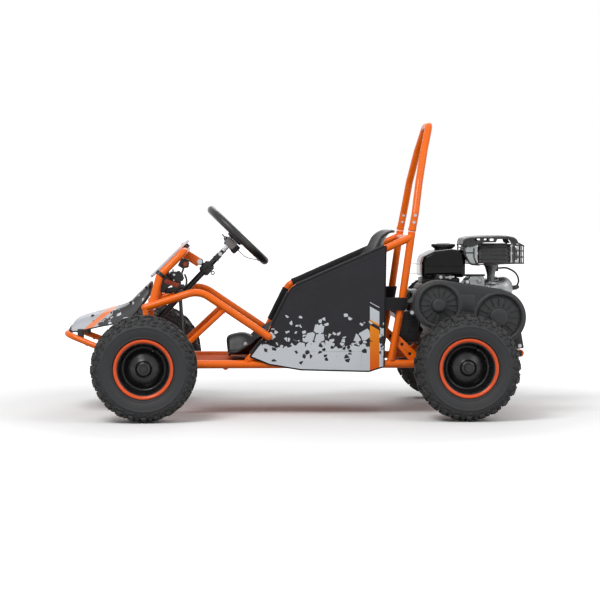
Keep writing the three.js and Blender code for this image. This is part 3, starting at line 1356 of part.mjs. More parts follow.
function driveCover() {
  const outerY = -(beltDrive.inner + coverDepth);
  const innerY = -(beltDrive.inner + beltDrive.plateThickness + touchGap);
  const outline = roundTwo(crank, jackshaft, beltDrive.leftRadius, beltDrive.rightRadius);
  const hollowOutline = roundTwo(
    crank, jackshaft, beltDrive.leftRadius - coverShape.wall, beltDrive.rightRadius - coverShape.wall,
  );
  const depth = innerY - outerY;
  const block = plate(outline, depth, (innerY + outerY) / 2, [], coverShape.bevel)
    .add(plate(outline, depth / 2, innerY - depth / 4));
  const hollowStart = outerY + coverShape.wall;
  const hollowEnd = innerY + coverShape.bevel + overrun;
  const hollowMiddle = (hollowEnd + hollowStart) / 2;
  const hollow = plate(hollowOutline, hollowEnd - hollowStart, hollowMiddle, [], coverShape.bevel);
  const ear = plate(
    [
      [coverShape.earFrontX, coverShape.earTopZ],
      [coverShape.earRearX - coverShape.bevel, coverShape.earTopZ],
      [coverShape.earRearX, coverShape.earTopZ - coverShape.earDrop],
      [coverShape.earFrontX + coverShape.bevel * 2, coverShape.earTopZ - coverShape.earDrop],
    ],
    coverShape.earThickness, innerY - coverShape.earThickness / 2,
  );
  const hubs = [[crank, coverShape.leftHub], [jackshaft, coverShape.rightHub]].map(([centre, radius]) => rod(
    [centre.x, outerY + coverShape.wall, centre.z], [centre.x, outerY - coverShape.hubRise, centre.z],
    2 * radius, 2 * radius - coverShape.ringRise, roundSegments,
  ));
  const rings = [
    coverRing(crank, coverShape.leftRing, outerY), coverRing(jackshaft, coverShape.rightRing, outerY),
  ];
  const ribs = [
    coverRibs(crank, coverShape.leftHub, coverShape.leftRing - coverShape.ringWidth / 2, outerY),
    coverRibs(jackshaft, coverShape.rightHub, coverShape.rightRing - coverShape.ringWidth / 2, outerY),
  ];
  return union([block.add(ear).subtract(hollow), ...hubs, ...rings, ...ribs]);
}

// Rear axle group: shaft, sprocket and brake disc turn together
function rearAxle() {
  const inner = rearTrack / 2 - hubInnerReach - touchGap;
  const nutStart = rearTrack / 2 + rim.hubOuter + touchGap;
  const end = nutStart + axle.nutLength;
  const pieces = [roundRod([0, -end, 0], [0, end, 0], axle.diameter)];
  for (const side of bothSides) {
    pieces.push(rod([0, side * (inner - axle.nutLength), 0], [0, side * inner, 0], axle.shoulderDiameter));
    pieces.push(nutAlong([0, side * nutStart, 0], [0, side * end, 0], axle.nutDiameter));
  }
  return union(pieces);
}
function ringOnAxle(outerDiameter, boreDiameter, thickness, y) {
  const profile = [
    [boreDiameter / 2, -thickness / 2], [outerDiameter / 2, -thickness / 2],
    [outerDiameter / 2, thickness / 2], [boreDiameter / 2, thickness / 2], [boreDiameter / 2, -thickness / 2],
  ];
  return turned(profile, [0, y, 0], wheelSegments);
}
const axleBore = axle.diameter + 2 * touchGap;
function axleSprocket() {
  const centre = { x: 0, z: 0 };
  const hub = ringOnAxle(sprocket.hubDiameter, axleBore, sprocket.thickness * 3, chainY);
  const bore = ringOnAxle(axleBore, 0, sprocket.thickness * 4, chainY);
  return toothedDisc(centre, sprocket.largeRadius, sprocket.largeTeeth).add(hub).subtract(bore);
}
function brakeDisc() {
  const hub = ringOnAxle(disc.hubDiameter, axleBore, disc.hubThickness, disc.y);
  return ringOnAxle(disc.diameter, axleBore, disc.thickness, disc.y).add(hub);
}
const caliperShares = { length: 0.333, height: 0.295, width: 0.218 };
const caliper = {
  length: disc.diameter * caliperShares.length, height: disc.diameter * caliperShares.height,
  width: disc.diameter * caliperShares.width, slot: 2, stemLength: 24,
};
function brakeCaliper() {
  const x = wheelbase - disc.diameter / 2 + caliper.length / 4;
  const block = box([caliper.length, caliper.width, caliper.height], [x, disc.y, axleHeight]);
  const slot = rod(
    [wheelbase, disc.y - disc.thickness / 2 - caliper.slot, axleHeight],
    [wheelbase, disc.y + disc.thickness / 2 + caliper.slot, axleHeight],
    disc.diameter + 2 * caliper.slot, disc.diameter + 2 * caliper.slot, wheelSegments,
  );
  const stem = boxBetween(
    [x - caliper.length / 2, disc.y - caliper.width / 2, axleHeight],
    [x - caliper.length / 2 + caliper.stemLength / 2, disc.y + caliper.width / 2, plateBottom - touchGap],
  );
  return union([block, stem]).subtract(slot);
}
function rearAxleGroup() {
  const group = new THREE.Group();
  group.position.set(wheelbase, 0, axleHeight);
  group.add(named("rear_axle", rearAxle(), bareSteel));
  group.add(named("axle_sprocket", axleSprocket(), bareSteel));
  group.add(named("brake_disc", brakeDisc(), bareSteel));
  return group;
}

// Spark plug lead from the muffler stay round to the head
const lead = { diameter: 6, steps: 14 };
const leadRoute = [[1140, 462], [1168, 462], [1196, 446], [1206, 420], [1196, 400], [1185.6, 398]];
function plugLead() {
  const route = new THREE.CatmullRomCurve3(leadRoute.map(([x, z]) => new THREE.Vector3(x, cylinderY, z)));
  return cord(route, lead.diameter, lead.steps);
}

// The whole kart
const kart = new THREE.Group();
const frameGroup = new THREE.Group();
frameGroup.add(named("lower_frame", lowerFrame(), orangePaint));
frameGroup.add(named("front_axle_beam", frontAxleBeam().add(noseTubePiece()), orangePaint));
frameGroup.add(named("dash_hoop", dashHoop(), orangePaint));
frameGroup.add(named("seat_back_frame", seatBackFrame(), orangePaint));
frameGroup.add(named("roll_hoop", rollHoop(), orangePaint));
frameGroup.add(named("floor_pan", floorPan(), orangePaint));
frameGroup.add(named("engine_plate", enginePlate(), orangePaint));
kart.add(frameGroup);

const bodyGroup = new THREE.Group();
bodyGroup.add(named("nose_fairing", noseFairing(), fairingPlastic));
bodyGroup.add(named("front_plate", frontPlate(), plateWhite));
bodyGroup.add(named("bucket_seat", bucketSeat(), blackPlastic));
bodyGroup.add(named("dash_switch_box", dashSwitchBox(), blackPlastic));
bodyGroup.add(named("column_clamp", columnClamp(), blackPlastic));
kart.add(bodyGroup);

for (const side of bothSides) {
  const hand = sideNames[side];
  frameGroup.add(named("knee_tube_" + hand, kneeTube(side), orangePaint));
  frameGroup.add(named("seat_tube_" + hand, seatTube(side), orangePaint));
  frameGroup.add(named("kingpin_" + hand, kingpinBolt(side), orangePaint));
  frameGroup.add(named("axle_bearing_" + hand, axleBearing(side), castAlloy));
  bodyGroup.add(named("side_panel_" + hand, sidePanel(side), greyFabric));
  kart.add(named("knuckle_" + hand, knuckle(side), blackSteel));
  kart.add(named("tie_rod_" + hand, tieRodPiece(side), bareSteel));
  kart.add(wheel("front", side, stub.diameter / 2 + touchGap));
  kart.add(wheel("rear", side, axleBore / 2));
}
kart.add(steeringGroup());
kart.add(pedalPiece(leftSide, "brake_pedal", pedal.padHeight));
kart.add(pedalPiece(rightSide, "throttle_pedal", pedal.padHeight + pedal.armWidth));
kart.add(rearAxleGroup());

const engineGroup = new THREE.Group();
engineGroup.add(named("engine_block", engineBlock(), castAlloy));
engineGroup.add(named("fuel_tank", fuelTank(), tankGloss));
engineGroup.add(named("tank_cap", tankCap(), blackPlastic));
engineGroup.add(named("muffler", mufflerBody(), castAlloy));
engineGroup.add(named("muffler_guard", mufflerGuard(), blackSteel));
engineGroup.add(named("recoil_starter", recoilStarter(), blackPlastic));
engineGroup.add(named("air_cleaner", airCleaner(), blackPlastic));
engineGroup.add(named("cooling_shroud", coolingShroud(), bareSteel));
engineGroup.add(named("drive_pulley", drivePulley(), bareSteel));
engineGroup.add(named("driven_pulley", drivenPulley(), bareSteel));
engineGroup.add(named("drive_belt", driveBelt(), softGrip));
engineGroup.add(named("drive_chain", driveChain(), bareSteel));
engineGroup.add(named("belt_back_plate", backPlate(), castAlloy));
engineGroup.add(named("belt_cover", driveCover(), blackPlastic));
engineGroup.add(named("brake_caliper", brakeCaliper(), castAlloy));
engineGroup.add(named("plug_lead", plugLead(), blackPlastic));
kart.add(engineGroup);

// The part's own frame has its origin on the ground, half way along the kart
const reach = new THREE.Box3().setFromObject(kart);
kart.position.x = -(reach.min.x + reach.max.x) / 2;

export default kart;
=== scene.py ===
from math import acos, atan2, cos, dist, exp, hypot, pi, radians, sin, tan
from types import SimpleNamespace

import bmesh
import bpy
from mathutils import Matrix, Vector, noise


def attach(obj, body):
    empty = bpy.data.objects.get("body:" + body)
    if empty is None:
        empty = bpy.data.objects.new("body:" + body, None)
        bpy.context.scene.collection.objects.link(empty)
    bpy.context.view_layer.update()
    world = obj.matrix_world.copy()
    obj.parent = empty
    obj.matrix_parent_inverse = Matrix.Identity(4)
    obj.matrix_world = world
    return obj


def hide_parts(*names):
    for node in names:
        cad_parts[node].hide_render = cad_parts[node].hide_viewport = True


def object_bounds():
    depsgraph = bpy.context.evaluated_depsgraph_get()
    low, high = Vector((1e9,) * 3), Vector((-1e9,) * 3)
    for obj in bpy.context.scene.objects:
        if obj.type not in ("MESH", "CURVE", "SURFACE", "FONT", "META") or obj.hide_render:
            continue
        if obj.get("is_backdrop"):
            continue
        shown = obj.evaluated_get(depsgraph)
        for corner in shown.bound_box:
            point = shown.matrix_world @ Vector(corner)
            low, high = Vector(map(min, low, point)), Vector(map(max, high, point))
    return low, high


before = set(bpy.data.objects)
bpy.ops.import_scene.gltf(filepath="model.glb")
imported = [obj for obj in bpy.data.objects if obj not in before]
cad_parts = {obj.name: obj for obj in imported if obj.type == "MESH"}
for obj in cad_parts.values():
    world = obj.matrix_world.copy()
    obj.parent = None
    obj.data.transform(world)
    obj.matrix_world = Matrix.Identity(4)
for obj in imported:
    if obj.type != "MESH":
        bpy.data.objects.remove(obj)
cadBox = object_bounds()
scene = bpy.context.scene
originShift = 480.0188  # mm from the front axle line to the middle of the kart
rearX, axleZ = 996, 165  # the rear axle's place, and the height of both axles
sides = {"left": -1, "right": 1}
print("frame loaded:", len(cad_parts), "nodes")


# Places and paths, all in millimetres from the front axle line

moved = Matrix.Translation


def spun(angle, axis):
    return Matrix.Rotation(angle, 4, axis)


def vec(points):
    return [Vector(p) for p in points]


def angles(count, start=0.0):
    return [start + 2 * pi * k / count for k in range(count)]


def bentRoute(corners, bend, steps=9):
    points = vec(corners)
    route = [points[0]]
    for before, corner, after in zip(points, points[1:], points[2:]):
        arriving = (corner - before).normalized()
        leaving = (after - corner).normalized()
        angle = arriving.angle(leaving)
        if angle < 0.02:
            route.append(corner)
            continue
        axis = arriving.cross(leaving).normalized()
        start = corner - arriving * bend * tan(angle / 2)
        centre = start + axis.cross(arriving) * bend
        for step in range(steps + 1):
            turn = Matrix.Rotation(angle * step / steps, 3, axis)
            route.append(centre + turn @ (start - centre))
    route.append(points[-1])
    return route


def smoothRoute(points, steps=8, closed=False):
    # A curve that passes through every point
    points = vec(points)
    count = len(points)
    route = []
    for i in range(count if closed else count - 1):
        at = lambda k: points[k % count] if closed else points[min(max(k, 0), count - 1)]
        p0, p1, p2, p3 = at(i - 1), at(i), at(i + 1), at(i + 2)
        for step in range(steps):
            t = step / steps
            route.append(0.5 * (
                2 * p1 + (p2 - p0) * t + (2 * p0 - 5 * p1 + 4 * p2 - p3) * t ** 2
                + (3 * p1 - p0 - 3 * p2 + p3) * t ** 3
            ))
    if not closed:
        route.append(points[-1])
    return route


def lengthOf(route):
    return sum((b - a).length for a, b in zip(route, route[1:]))


def evenly(route, count):
    # The same route with its points an even distance apart
    total = lengthOf(route)
    result, walked, i = [route[0].copy()], 0.0, 0
    for k in range(1, count):
        goal = total * k / count
        while walked + (route[i + 1] - route[i]).length < goal:
            walked += (route[i + 1] - route[i]).length
            i += 1
        span = (route[i + 1] - route[i]).length
        result.append(route[i].lerp(route[i + 1], (goal - walked) / span))
    result.append(route[-1].copy())
    return result


def facing(origin, direction, roll=0.0):
    # A matrix that stands a form's own Z along a direction
    turn = Vector(direction).to_track_quat("Z", "Y").to_matrix().to_4x4()
    return moved(Vector(origin)) @ turn @ spun(roll, "Z")


def sideways(y=0.0):
    # Outlines drawn in X and Z stand upright, and their thickness runs across the kart
    return moved((0, y, 0)) @ Matrix(((1, 0, 0, 0), (0, 0, -1, 0), (0, 1, 0, 0), (0, 0, 0, 1)))


# Forms: each returns a bmesh of its own

def tubeForm(route, radius, around=20, closed=False, capped=True):
    form = bmesh.new()
    count = len(route)
    radii = radius if isinstance(radius, (list, tuple)) else [radius] * count
    tangents = []
    for i in range(count):
        before = route[i - 1] if closed or i > 0 else route[i]
        after = route[(i + 1) % count] if closed or i < count - 1 else route[i]
        tangents.append((after - before).normalized())
    up = tangents[0].orthogonal().normalized()
    rings = []
    for i, (point, tangent) in enumerate(zip(route, tangents)):
        if i:
            up = tangents[i - 1].rotation_difference(tangent) @ up
        up = (up - tangent * up.dot(tangent)).normalized()
        other = tangent.cross(up)
        rings.append([form.verts.new(point + radii[i] * (up * cos(a) + other * sin(a)))
                      for a in angles(around)])
    last = count if closed else count - 1
    for i in range(last):
        a, b = rings[i], rings[(i + 1) % count]
        shift = 0
        if closed and i == count - 1:
            shift = min(range(around), key=lambda s: (a[0].co - b[s].co).length)
        for k in range(around):
            n = (k + 1) % around
            form.faces.new((a[k], a[n], b[(n + shift) % around], b[(k + shift) % around]))
    if not closed and capped:
        form.faces.new(list(reversed(rings[0])))
        form.faces.new(rings[-1])
    return form


def turnedForm(profile, around=48, closed=None):
    # A profile of (radius, along) pairs turned about Z; one that starts off the axis closes on itself
    form = bmesh.new()
    rings = []
    for radius, along in profile:
        places = [(radius * cos(a), radius * sin(a), along) for a in angles(around if radius else 1)]
        rings.append([form.verts.new(p) for p in places])
    again = profile[0][0] > 0 if closed is None else closed
    for a, b in zip(rings, rings[1:] + (rings[:1] if again else [])):
        for k in range(around):
            n = (k + 1) % around
            corners = [a[k % len(a)], a[n % len(a)], b[n % len(b)], b[k % len(b)]]
            unique = list(dict.fromkeys(corners))
            if len(unique) > 2:
                form.faces.new(unique)
    bmesh.ops.recalc_face_normals(form, faces=form.faces)
    return form


def boxForm(size, bevel=1.5, segments=2, at=(0, 0, 0)):
    form = bmesh.new()
    bmesh.ops.create_cube(form, size=1)
    bmesh.ops.scale(form, vec=Vector(size), verts=form.verts)
    if bevel:
        bmesh.ops.bevel(form, geom=form.edges[:], offset=bevel, segments=segments, profile=0.5,
                        affect="EDGES")
    bmesh.ops.translate(form, verts=form.verts, vec=at)
    return form


def plateForm(outline, thickness, bevel=0.8, holes=(), segments=2):
    # A flat outline in X and Y, thick along Z about its middle
    form = bmesh.new()
    loops = []
    for points in [outline, *holes]:
        verts = [form.verts.new((x, y, -thickness / 2)) for x, y in points]
        loops.append([form.edges.new((a, b)) for a, b in zip(verts, verts[1:] + verts[:1])])
    edges = [edge for loop in loops for edge in loop]
    if holes:
        bmesh.ops.triangle_fill(form, edges=edges, use_beauty=True, normal=(0, 0, 1))
    else:
        form.faces.new(form.verts[:])
    made = bmesh.ops.extrude_face_region(form, geom=form.faces[:])
    top = [g for g in made["geom"] if isinstance(g, bmesh.types.BMVert)]
    bmesh.ops.translate(form, vec=(0, 0, thickness), verts=top)
    bmesh.ops.recalc_face_normals(form, faces=form.faces)
    if bevel:
        rims = [e for e in form.edges if len(e.link_faces) == 2 and e.calc_face_angle(0) > 1.2
                and abs(e.verts[0].co.z - e.verts[1].co.z) < 1e-5]
        bmesh.ops.bevel(form, geom=rims, offset=bevel, segments=segments, profile=0.5, affect="EDGES")
    return form


def sheetForm(rows, thickness):
    # A grid of points with an even thickness behind it
    form = bmesh.new()
    grid = [[form.verts.new(p) for p in row] for row in rows]
    for a, b in zip(grid, grid[1:]):
        for k in range(len(a) - 1):
            form.faces.new((a[k], a[k + 1], b[k + 1], b[k]))
    form.normal_update()
    if thickness:
        bmesh.ops.solidify(form, geom=form.faces[:], thickness=thickness)
        bmesh.ops.recalc_face_normals(form, faces=form.faces)
    return form


def gridOf(down, along, place):
    # Rows of points, each placed by its two shares
    return [[place(i / down, j / along) for j in range(along + 1)] for i in range(down + 1)]


def circlePoints(radius, count, centre=(0, 0)):
    return [(centre[0] + radius * cos(a), centre[1] + radius * sin(a)) for a in angles(count)]


def oblong(left, low, right, high):
    return [(left, low), (right, low), (right, high), (left, high)]


def roundTwo(first, second, firstRadius, secondRadius, steps=28):
    heading = atan2(second[1] - first[1], second[0] - first[0])
    distance = hypot(second[0] - first[0], second[1] - first[1])
    lean = acos((firstRadius - secondRadius) / distance)
    outline = []
    spans = [
        (first, firstRadius, heading + lean, heading + 2 * pi - lean),
        (second, secondRadius, heading - lean, heading + lean),
    ]
    for centre, radius, start, end in spans:
        for step in range(steps + 1):
            angle = start + (end - start) * step / steps
            outline.append((centre[0] + radius * cos(angle), centre[1] + radius * sin(angle)))
    return outline


def pour(form, into):
    # Moves a form's faces into another mesh
    carrier = bpy.data.meshes.new("carrier")
    form.to_mesh(carrier)
    form.free()
    into.from_mesh(carrier)
    bpy.data.meshes.remove(carrier)


class Piece:
    # Gathers forms of several finishes, then becomes one object that rides on a body
    def __init__(self, name):
        self.name = name
        self.mesh = bmesh.new()
        self.finishes = []

    def indexOf(self, finish):
        if finish not in self.finishes:
            self.finishes.append(finish)
        return self.finishes.index(finish)

    def add(self, form, finish, turn=None, smooth=True):
        if turn is not None:
            bmesh.ops.transform(form, matrix=turn, verts=form.verts)
        index = self.indexOf(finish)
        for face in form.faces:
            face.material_index = index
            face.smooth = smooth
        pour(form, self.mesh)

    def take(self, source, turn=None):
        # Adds a finished mesh object, with its own materials, and removes it
        form = bmesh.new()
        form.from_mesh(source.data)
        if turn is not None:
            bmesh.ops.transform(form, matrix=turn, verts=form.verts)
        places = [self.indexOf(material) for material in source.data.materials]
        for face in form.faces:
            face.material_index = places[min(face.material_index, len(places) - 1)]
        pour(form, self.mesh)
        bpy.data.objects.remove(source)

    def rod(self, start, end, radius, finish, chamfer=0.8, endRadius=None, around=28):
        start, end = Vector(start), Vector(end)
        long = (end - start).length
        last = radius if endRadius is None else endRadius
        c = min(chamfer, long / 3, radius / 2, last / 2)
        profile = [(0, 0), (radius - c, 0), (radius, c), (last, long - c), (last - c, long), (0, long)]
        self.add(turnedForm(profile, around), finish, facing(start, end - start))

    def tube(self, corners, radius, finish, bend=0, around=22, steps=9):
        route = bentRoute(corners, bend, steps) if bend else vec(corners)
        self.add(tubeForm(route, radius, around), finish)

    def box(self, low, high, finish, bevel=1.2, turn=None, segments=2):
        low, high = Vector(low), Vector(high)
        matrix = moved((low + high) / 2)
        self.add(boxForm(high - low, bevel, segments), finish, turn @ matrix if turn else matrix)

    def nut(self, place, heading, across, tall, finish):
        c = across * 0.07
        r = across / 2 * 1.12
        profile = [(0, 0), (r - c, 0), (r, c), (r, tall - c), (r - c, tall), (0, tall)]
        self.add(turnedForm(profile, 6), finish, facing(place, heading), smooth=False)

    def ring(self, place, axis, radius, thick, finish, around=40):
        # A round-sectioned ring
        turn = facing(place, axis)
        route = [turn @ Vector((*p, 0)) for p in circlePoints(radius, around)]
        self.add(tubeForm(route, thick, 10, closed=True), finish)

    def band(self, place, axis, inner, outer, wide, finish, around=40):
        # A flat band, such as a clamp round a tube
        h, c = wide / 2, min(0.6, wide / 5, (outer - inner) / 3)
        profile = [(inner, -h), (outer - c, -h), (outer, -h + c), (outer, h - c), (outer - c, h), (inner, h)]
        self.add(turnedForm(profile, around), finish, facing(place, axis))

    def block(self, corners, radius, nearY, farY, finish, bevel=3, segments=3):
        # A rounded outline in X and Z, from one Y to another
        outline = roundedOutline(corners, radius)
        self.plate(outline, abs(farY - nearY), bevel, finish, (nearY + farY) / 2, segments=segments)

    def plate(self, outline, thickness, bevel, finish, y, holes=(), segments=2):
        self.add(plateForm(outline, thickness, bevel, holes, segments), finish, sideways(y))

    def bolts(self, places, head, tall, finish):
        # Bolt heads at pairs of point and heading
        cloud = bmesh.new()
        for point, _ in places:
            cloud.verts.new(point)
        carrier = plainObject("cloud", cloud)
        attribute = carrier.data.attributes.new("heading", "FLOAT_VECTOR", "POINT")
        for item, (_, heading) in zip(attribute.data, places):
            item.vector = Vector(heading).normalized()
        self.take(runTree("bolt", carrier, {"Head": head, "Tall": tall, "Finish": finish}))

    def weld(self, centre, axis, radius, bead=2.2):
        # A row of overlapping beads round a tube's joint
        lump = bmesh.new()
        bmesh.ops.create_icosphere(lump, subdivisions=1, radius=bead)
        turn = facing(centre, axis)
        route = [turn @ Vector((*p, 0)) for p in circlePoints(radius, 28)]
        self.take(alongOf(lump, route, bead * 1.25, f.weld, closed=True, jitter=0.3))

    def ribs(self, size, bevel, at, count, finish, turn):
        # Small blocks in a ring about a matrix's Z
        self.take(ringOf(boxForm(size, bevel, 1, at), count, finish), turn)

    def turned(self, profile, around, finish, turn=None, closed=None):
        self.add(turnedForm(profile, around, closed), finish, turn)

    def standOnColumn(self):
        bmesh.ops.transform(self.mesh, matrix=steerTurn, verts=self.mesh.verts)

    def done(self, replaces=(), body="chassis", sharp=0.6):
        form = self.mesh
        toMetres = Matrix.Scale(0.001, 4) @ moved((-originShift, 0, 0))
        bmesh.ops.transform(form, matrix=toMetres, verts=form.verts)
        for edge in form.edges:
            if len(edge.link_faces) == 2 and edge.calc_face_angle(0) > sharp:
                edge.smooth = False
        made = meshObject(self.name, form)
        for material in self.finishes:
            made.data.materials.append(material)
        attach(made, body)
        if replaces:
            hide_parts(*replaces)
        return made


def meshObject(name, form):
    mesh = bpy.data.meshes.new(name)
    form.to_mesh(mesh)
    form.free()
    made = bpy.data.objects.new(name, mesh)
    scene.collection.objects.link(made)
    return made


def plainObject(name, form):
    # A throwaway object in millimetres, for Geometry Nodes to copy or follow
    made = meshObject(name, form)
    for face in made.data.polygons:
        face.use_smooth = True
    return made


# Shader nodes

def put(tree, kind, inputs=None, **settings):
    made = tree.nodes.new(kind)
    for key, value in settings.items():
        setattr(made, key, value)
    for key, value in (inputs or {}).items():
        if isinstance(value, bpy.types.NodeSocket):
            tree.links.new(value, made.inputs[key])
        else:
            made.inputs[key].default_value = value
    return made


def mathNode(operation):
    # A function that adds one kind of Math node beside the sockets it is given
    def added(a, b=0.0, clamp=False):
        tree = (a if isinstance(a, bpy.types.NodeSocket) else b).id_data
        return put(tree, "ShaderNodeMath", {0: a, 1: b}, operation=operation, use_clamp=clamp).outputs[0]
    return added


plus, minus, times, over = mathNode("ADD"), mathNode("SUBTRACT"), mathNode("MULTIPLY"), mathNode("DIVIDE")
above, below, larger = mathNode("GREATER_THAN"), mathNode("LESS_THAN"), mathNode("MAXIMUM")
sine, root, unsigned, fraction = mathNode("SINE"), mathNode("SQRT"), mathNode("ABSOLUTE"), mathNode("FRACT")


def spread(value, low, high, toLow=0.0, toHigh=1.0):
    inputs = {"Value": value, "From Min": low, "From Max": high, "To Min": toLow, "To Max": toHigh}
    return put(value.id_data, "ShaderNodeMapRange", inputs, clamp=True).outputs["Result"]


def mixed(factor, a, b):
    a, b = [colour if isinstance(colour, bpy.types.NodeSocket) else (*colour, 1) for colour in (a, b)]
    return put(factor.id_data, "ShaderNodeMix", {0: factor, 6: a, 7: b}, data_type="RGBA").outputs[2]


def axes(vector):
    return put(vector.id_data, "ShaderNodeSeparateXYZ", {0: vector}).outputs


def cloudy(vector, scale, detail, roughness=0.5):
    inputs = {"Vector": vector, "Scale": scale, "Detail": detail, "Roughness": roughness}
    return put(vector.id_data, "ShaderNodeTexNoise", inputs).outputs["Fac"]


def cells(vector, scale):
    # Angular cells: three random numbers for each, and the distance to the seams between them
    tree, inputs = vector.id_data, {"Vector": vector, "Scale": scale}
    inside = put(tree, "ShaderNodeTexVoronoi", inputs)
    seams = put(tree, "ShaderNodeTexVoronoi", inputs, feature="DISTANCE_TO_EDGE")
    chances = put(tree, "ShaderNodeSeparateColor", {0: inside.outputs["Color"]}).outputs
    return chances, seams.outputs["Distance"]


def newGroup(name, values, results):
    # A group that takes a vector and some numbers, and gives numbers back
    group = bpy.data.node_groups.new(name, "ShaderNodeTree")
    group.interface.new_socket("Vector", in_out="INPUT", socket_type="NodeSocketVector")
    for label, value in values.items():
        socket = group.interface.new_socket(label, in_out="INPUT", socket_type="NodeSocketFloat")
        socket.default_value = value
    for label in results:
        group.interface.new_socket(label, in_out="OUTPUT", socket_type="NodeSocketFloat")
    return group, group.nodes.new("NodeGroupInput").outputs, group.nodes.new("NodeGroupOutput").inputs


def grainGroup():
    group, start, end = newGroup("surfaceGrain", {"Scale": 900.0, "Blotch": 9.0}, ["Height", "Shade"])
    group.links.new(cloudy(start["Vector"], start["Scale"], 3.0, 0.55), end["Height"])
    group.links.new(cloudy(start["Vector"], start["Blotch"], 4.0, 0.6), end["Shade"])
    return group


def wornAndGlintGroup():
    # Edges where the coating has rubbed thin; on the tyre tread the same edges take a painted highlight
    group, start, end = newGroup("wornEdgesAndGlints", {"Width": 0.0012, "Amount": 0.5}, ["Mask"])
    rounded = put(group, "ShaderNodeBevel", {"Radius": start["Width"]}, samples=4).outputs[0]
    plain = put(group, "ShaderNodeNewGeometry").outputs["Normal"]
    dot = put(group, "ShaderNodeVectorMath", {0: rounded, 1: plain}, operation="DOT_PRODUCT").outputs["Value"]
    patchy = spread(cloudy(start["Vector"], 70.0, 5.0), 0.42, 0.62)
    edge = times(spread(dot, 0.995, 0.86), patchy)
    group.links.new(times(edge, start["Amount"], True), end["Mask"])
    return group


def dustGroup():
    # Fine dust that settles on what faces up and low down
    group, start, end = newGroup("settledDust", {"Amount": 0.3}, ["Mask"])
    normal = put(group, "ShaderNodeNewGeometry").outputs["Normal"]
    up = spread(axes(normal)["Z"], 0.1, 1.0, 0.25, 1.0)
    low = spread(axes(start["Vector"])["Z"], 0.35, 0.05, 0.35, 1.0)
    patch = spread(cloudy(start["Vector"], 22.0, 6.0, 0.65), 0.38, 0.72)
    dust = times(times(up, low), patch)
    group.links.new(times(dust, start["Amount"], True), end["Mask"])
    return group


def weaveGroup():
    # Plain weave in the plane of the side panels
    group, start, end = newGroup("plainWeave", {"Threads": 4200.0}, ["Height", "Shade"])
    at = axes(start["Vector"])
    across = sine(times(at["X"], start["Threads"]))
    upward = sine(times(plus(at["Z"], at["Y"]), start["Threads"]))
    group.links.new(spread(times(across, upward), -1.0, 1.0), end["Height"])
    group.links.new(cloudy(start["Vector"], 260.0, 3.0), end["Shade"])
    return group


def shardGroup():
    # A generic print: solid below a ragged edge, with loose angular chips beyond it and a few gaps inside
    group, start, end = newGroup("chipPrint", {"Level": 0.0, "Chip": 55.0, "Reach": 0.05}, ["Mask"])
    vector, level, reach = start["Vector"], start["Level"], start["Reach"]
    rough = cloudy(vector, 19.0, 5.0, 0.62)
    edge = plus(level, times(spread(rough, 0.3, 0.7, -1.0, 1.0), reach))
    solid = above(edge, 0.0)
    mask = solid
    far = over(times(level, -1.0), reach)
    for size, thin, gap, part in ((1.0, 0.1, 0.07, 0), (2.4, 0.3, 0.09, 1)):
        chances, seam = cells(vector, times(start["Chip"], size))
        chosen = below(chances[part], spread(far, 0.0, 4.6, 0.42 - thin * 0.4, 0.0))
        apart = above(seam, gap)
        mask = larger(mask, times(chosen, apart))
        if part:
            inside = spread(far, -3.2, 0.0, 0.0, 0.2)
            lost = times(above(chances[part], minus(1.0, inside)), apart)
            mask = minus(mask, times(lost, solid), True)
    group.links.new(mask, end["Mask"])
    return group


groups = {"grain": grainGroup(), "wornAndGlint": wornAndGlintGroup(), "dust": dustGroup(), "weave": weaveGroup(),
          "chips": shardGroup()}


def useGroup(name, vector, **inputs):
    node = put(vector.id_data, "ShaderNodeGroup", {"Vector": vector, **inputs}, node_tree=groups[name])
    return node.outputs


dustColour = (0.33, 0.28, 0.22)


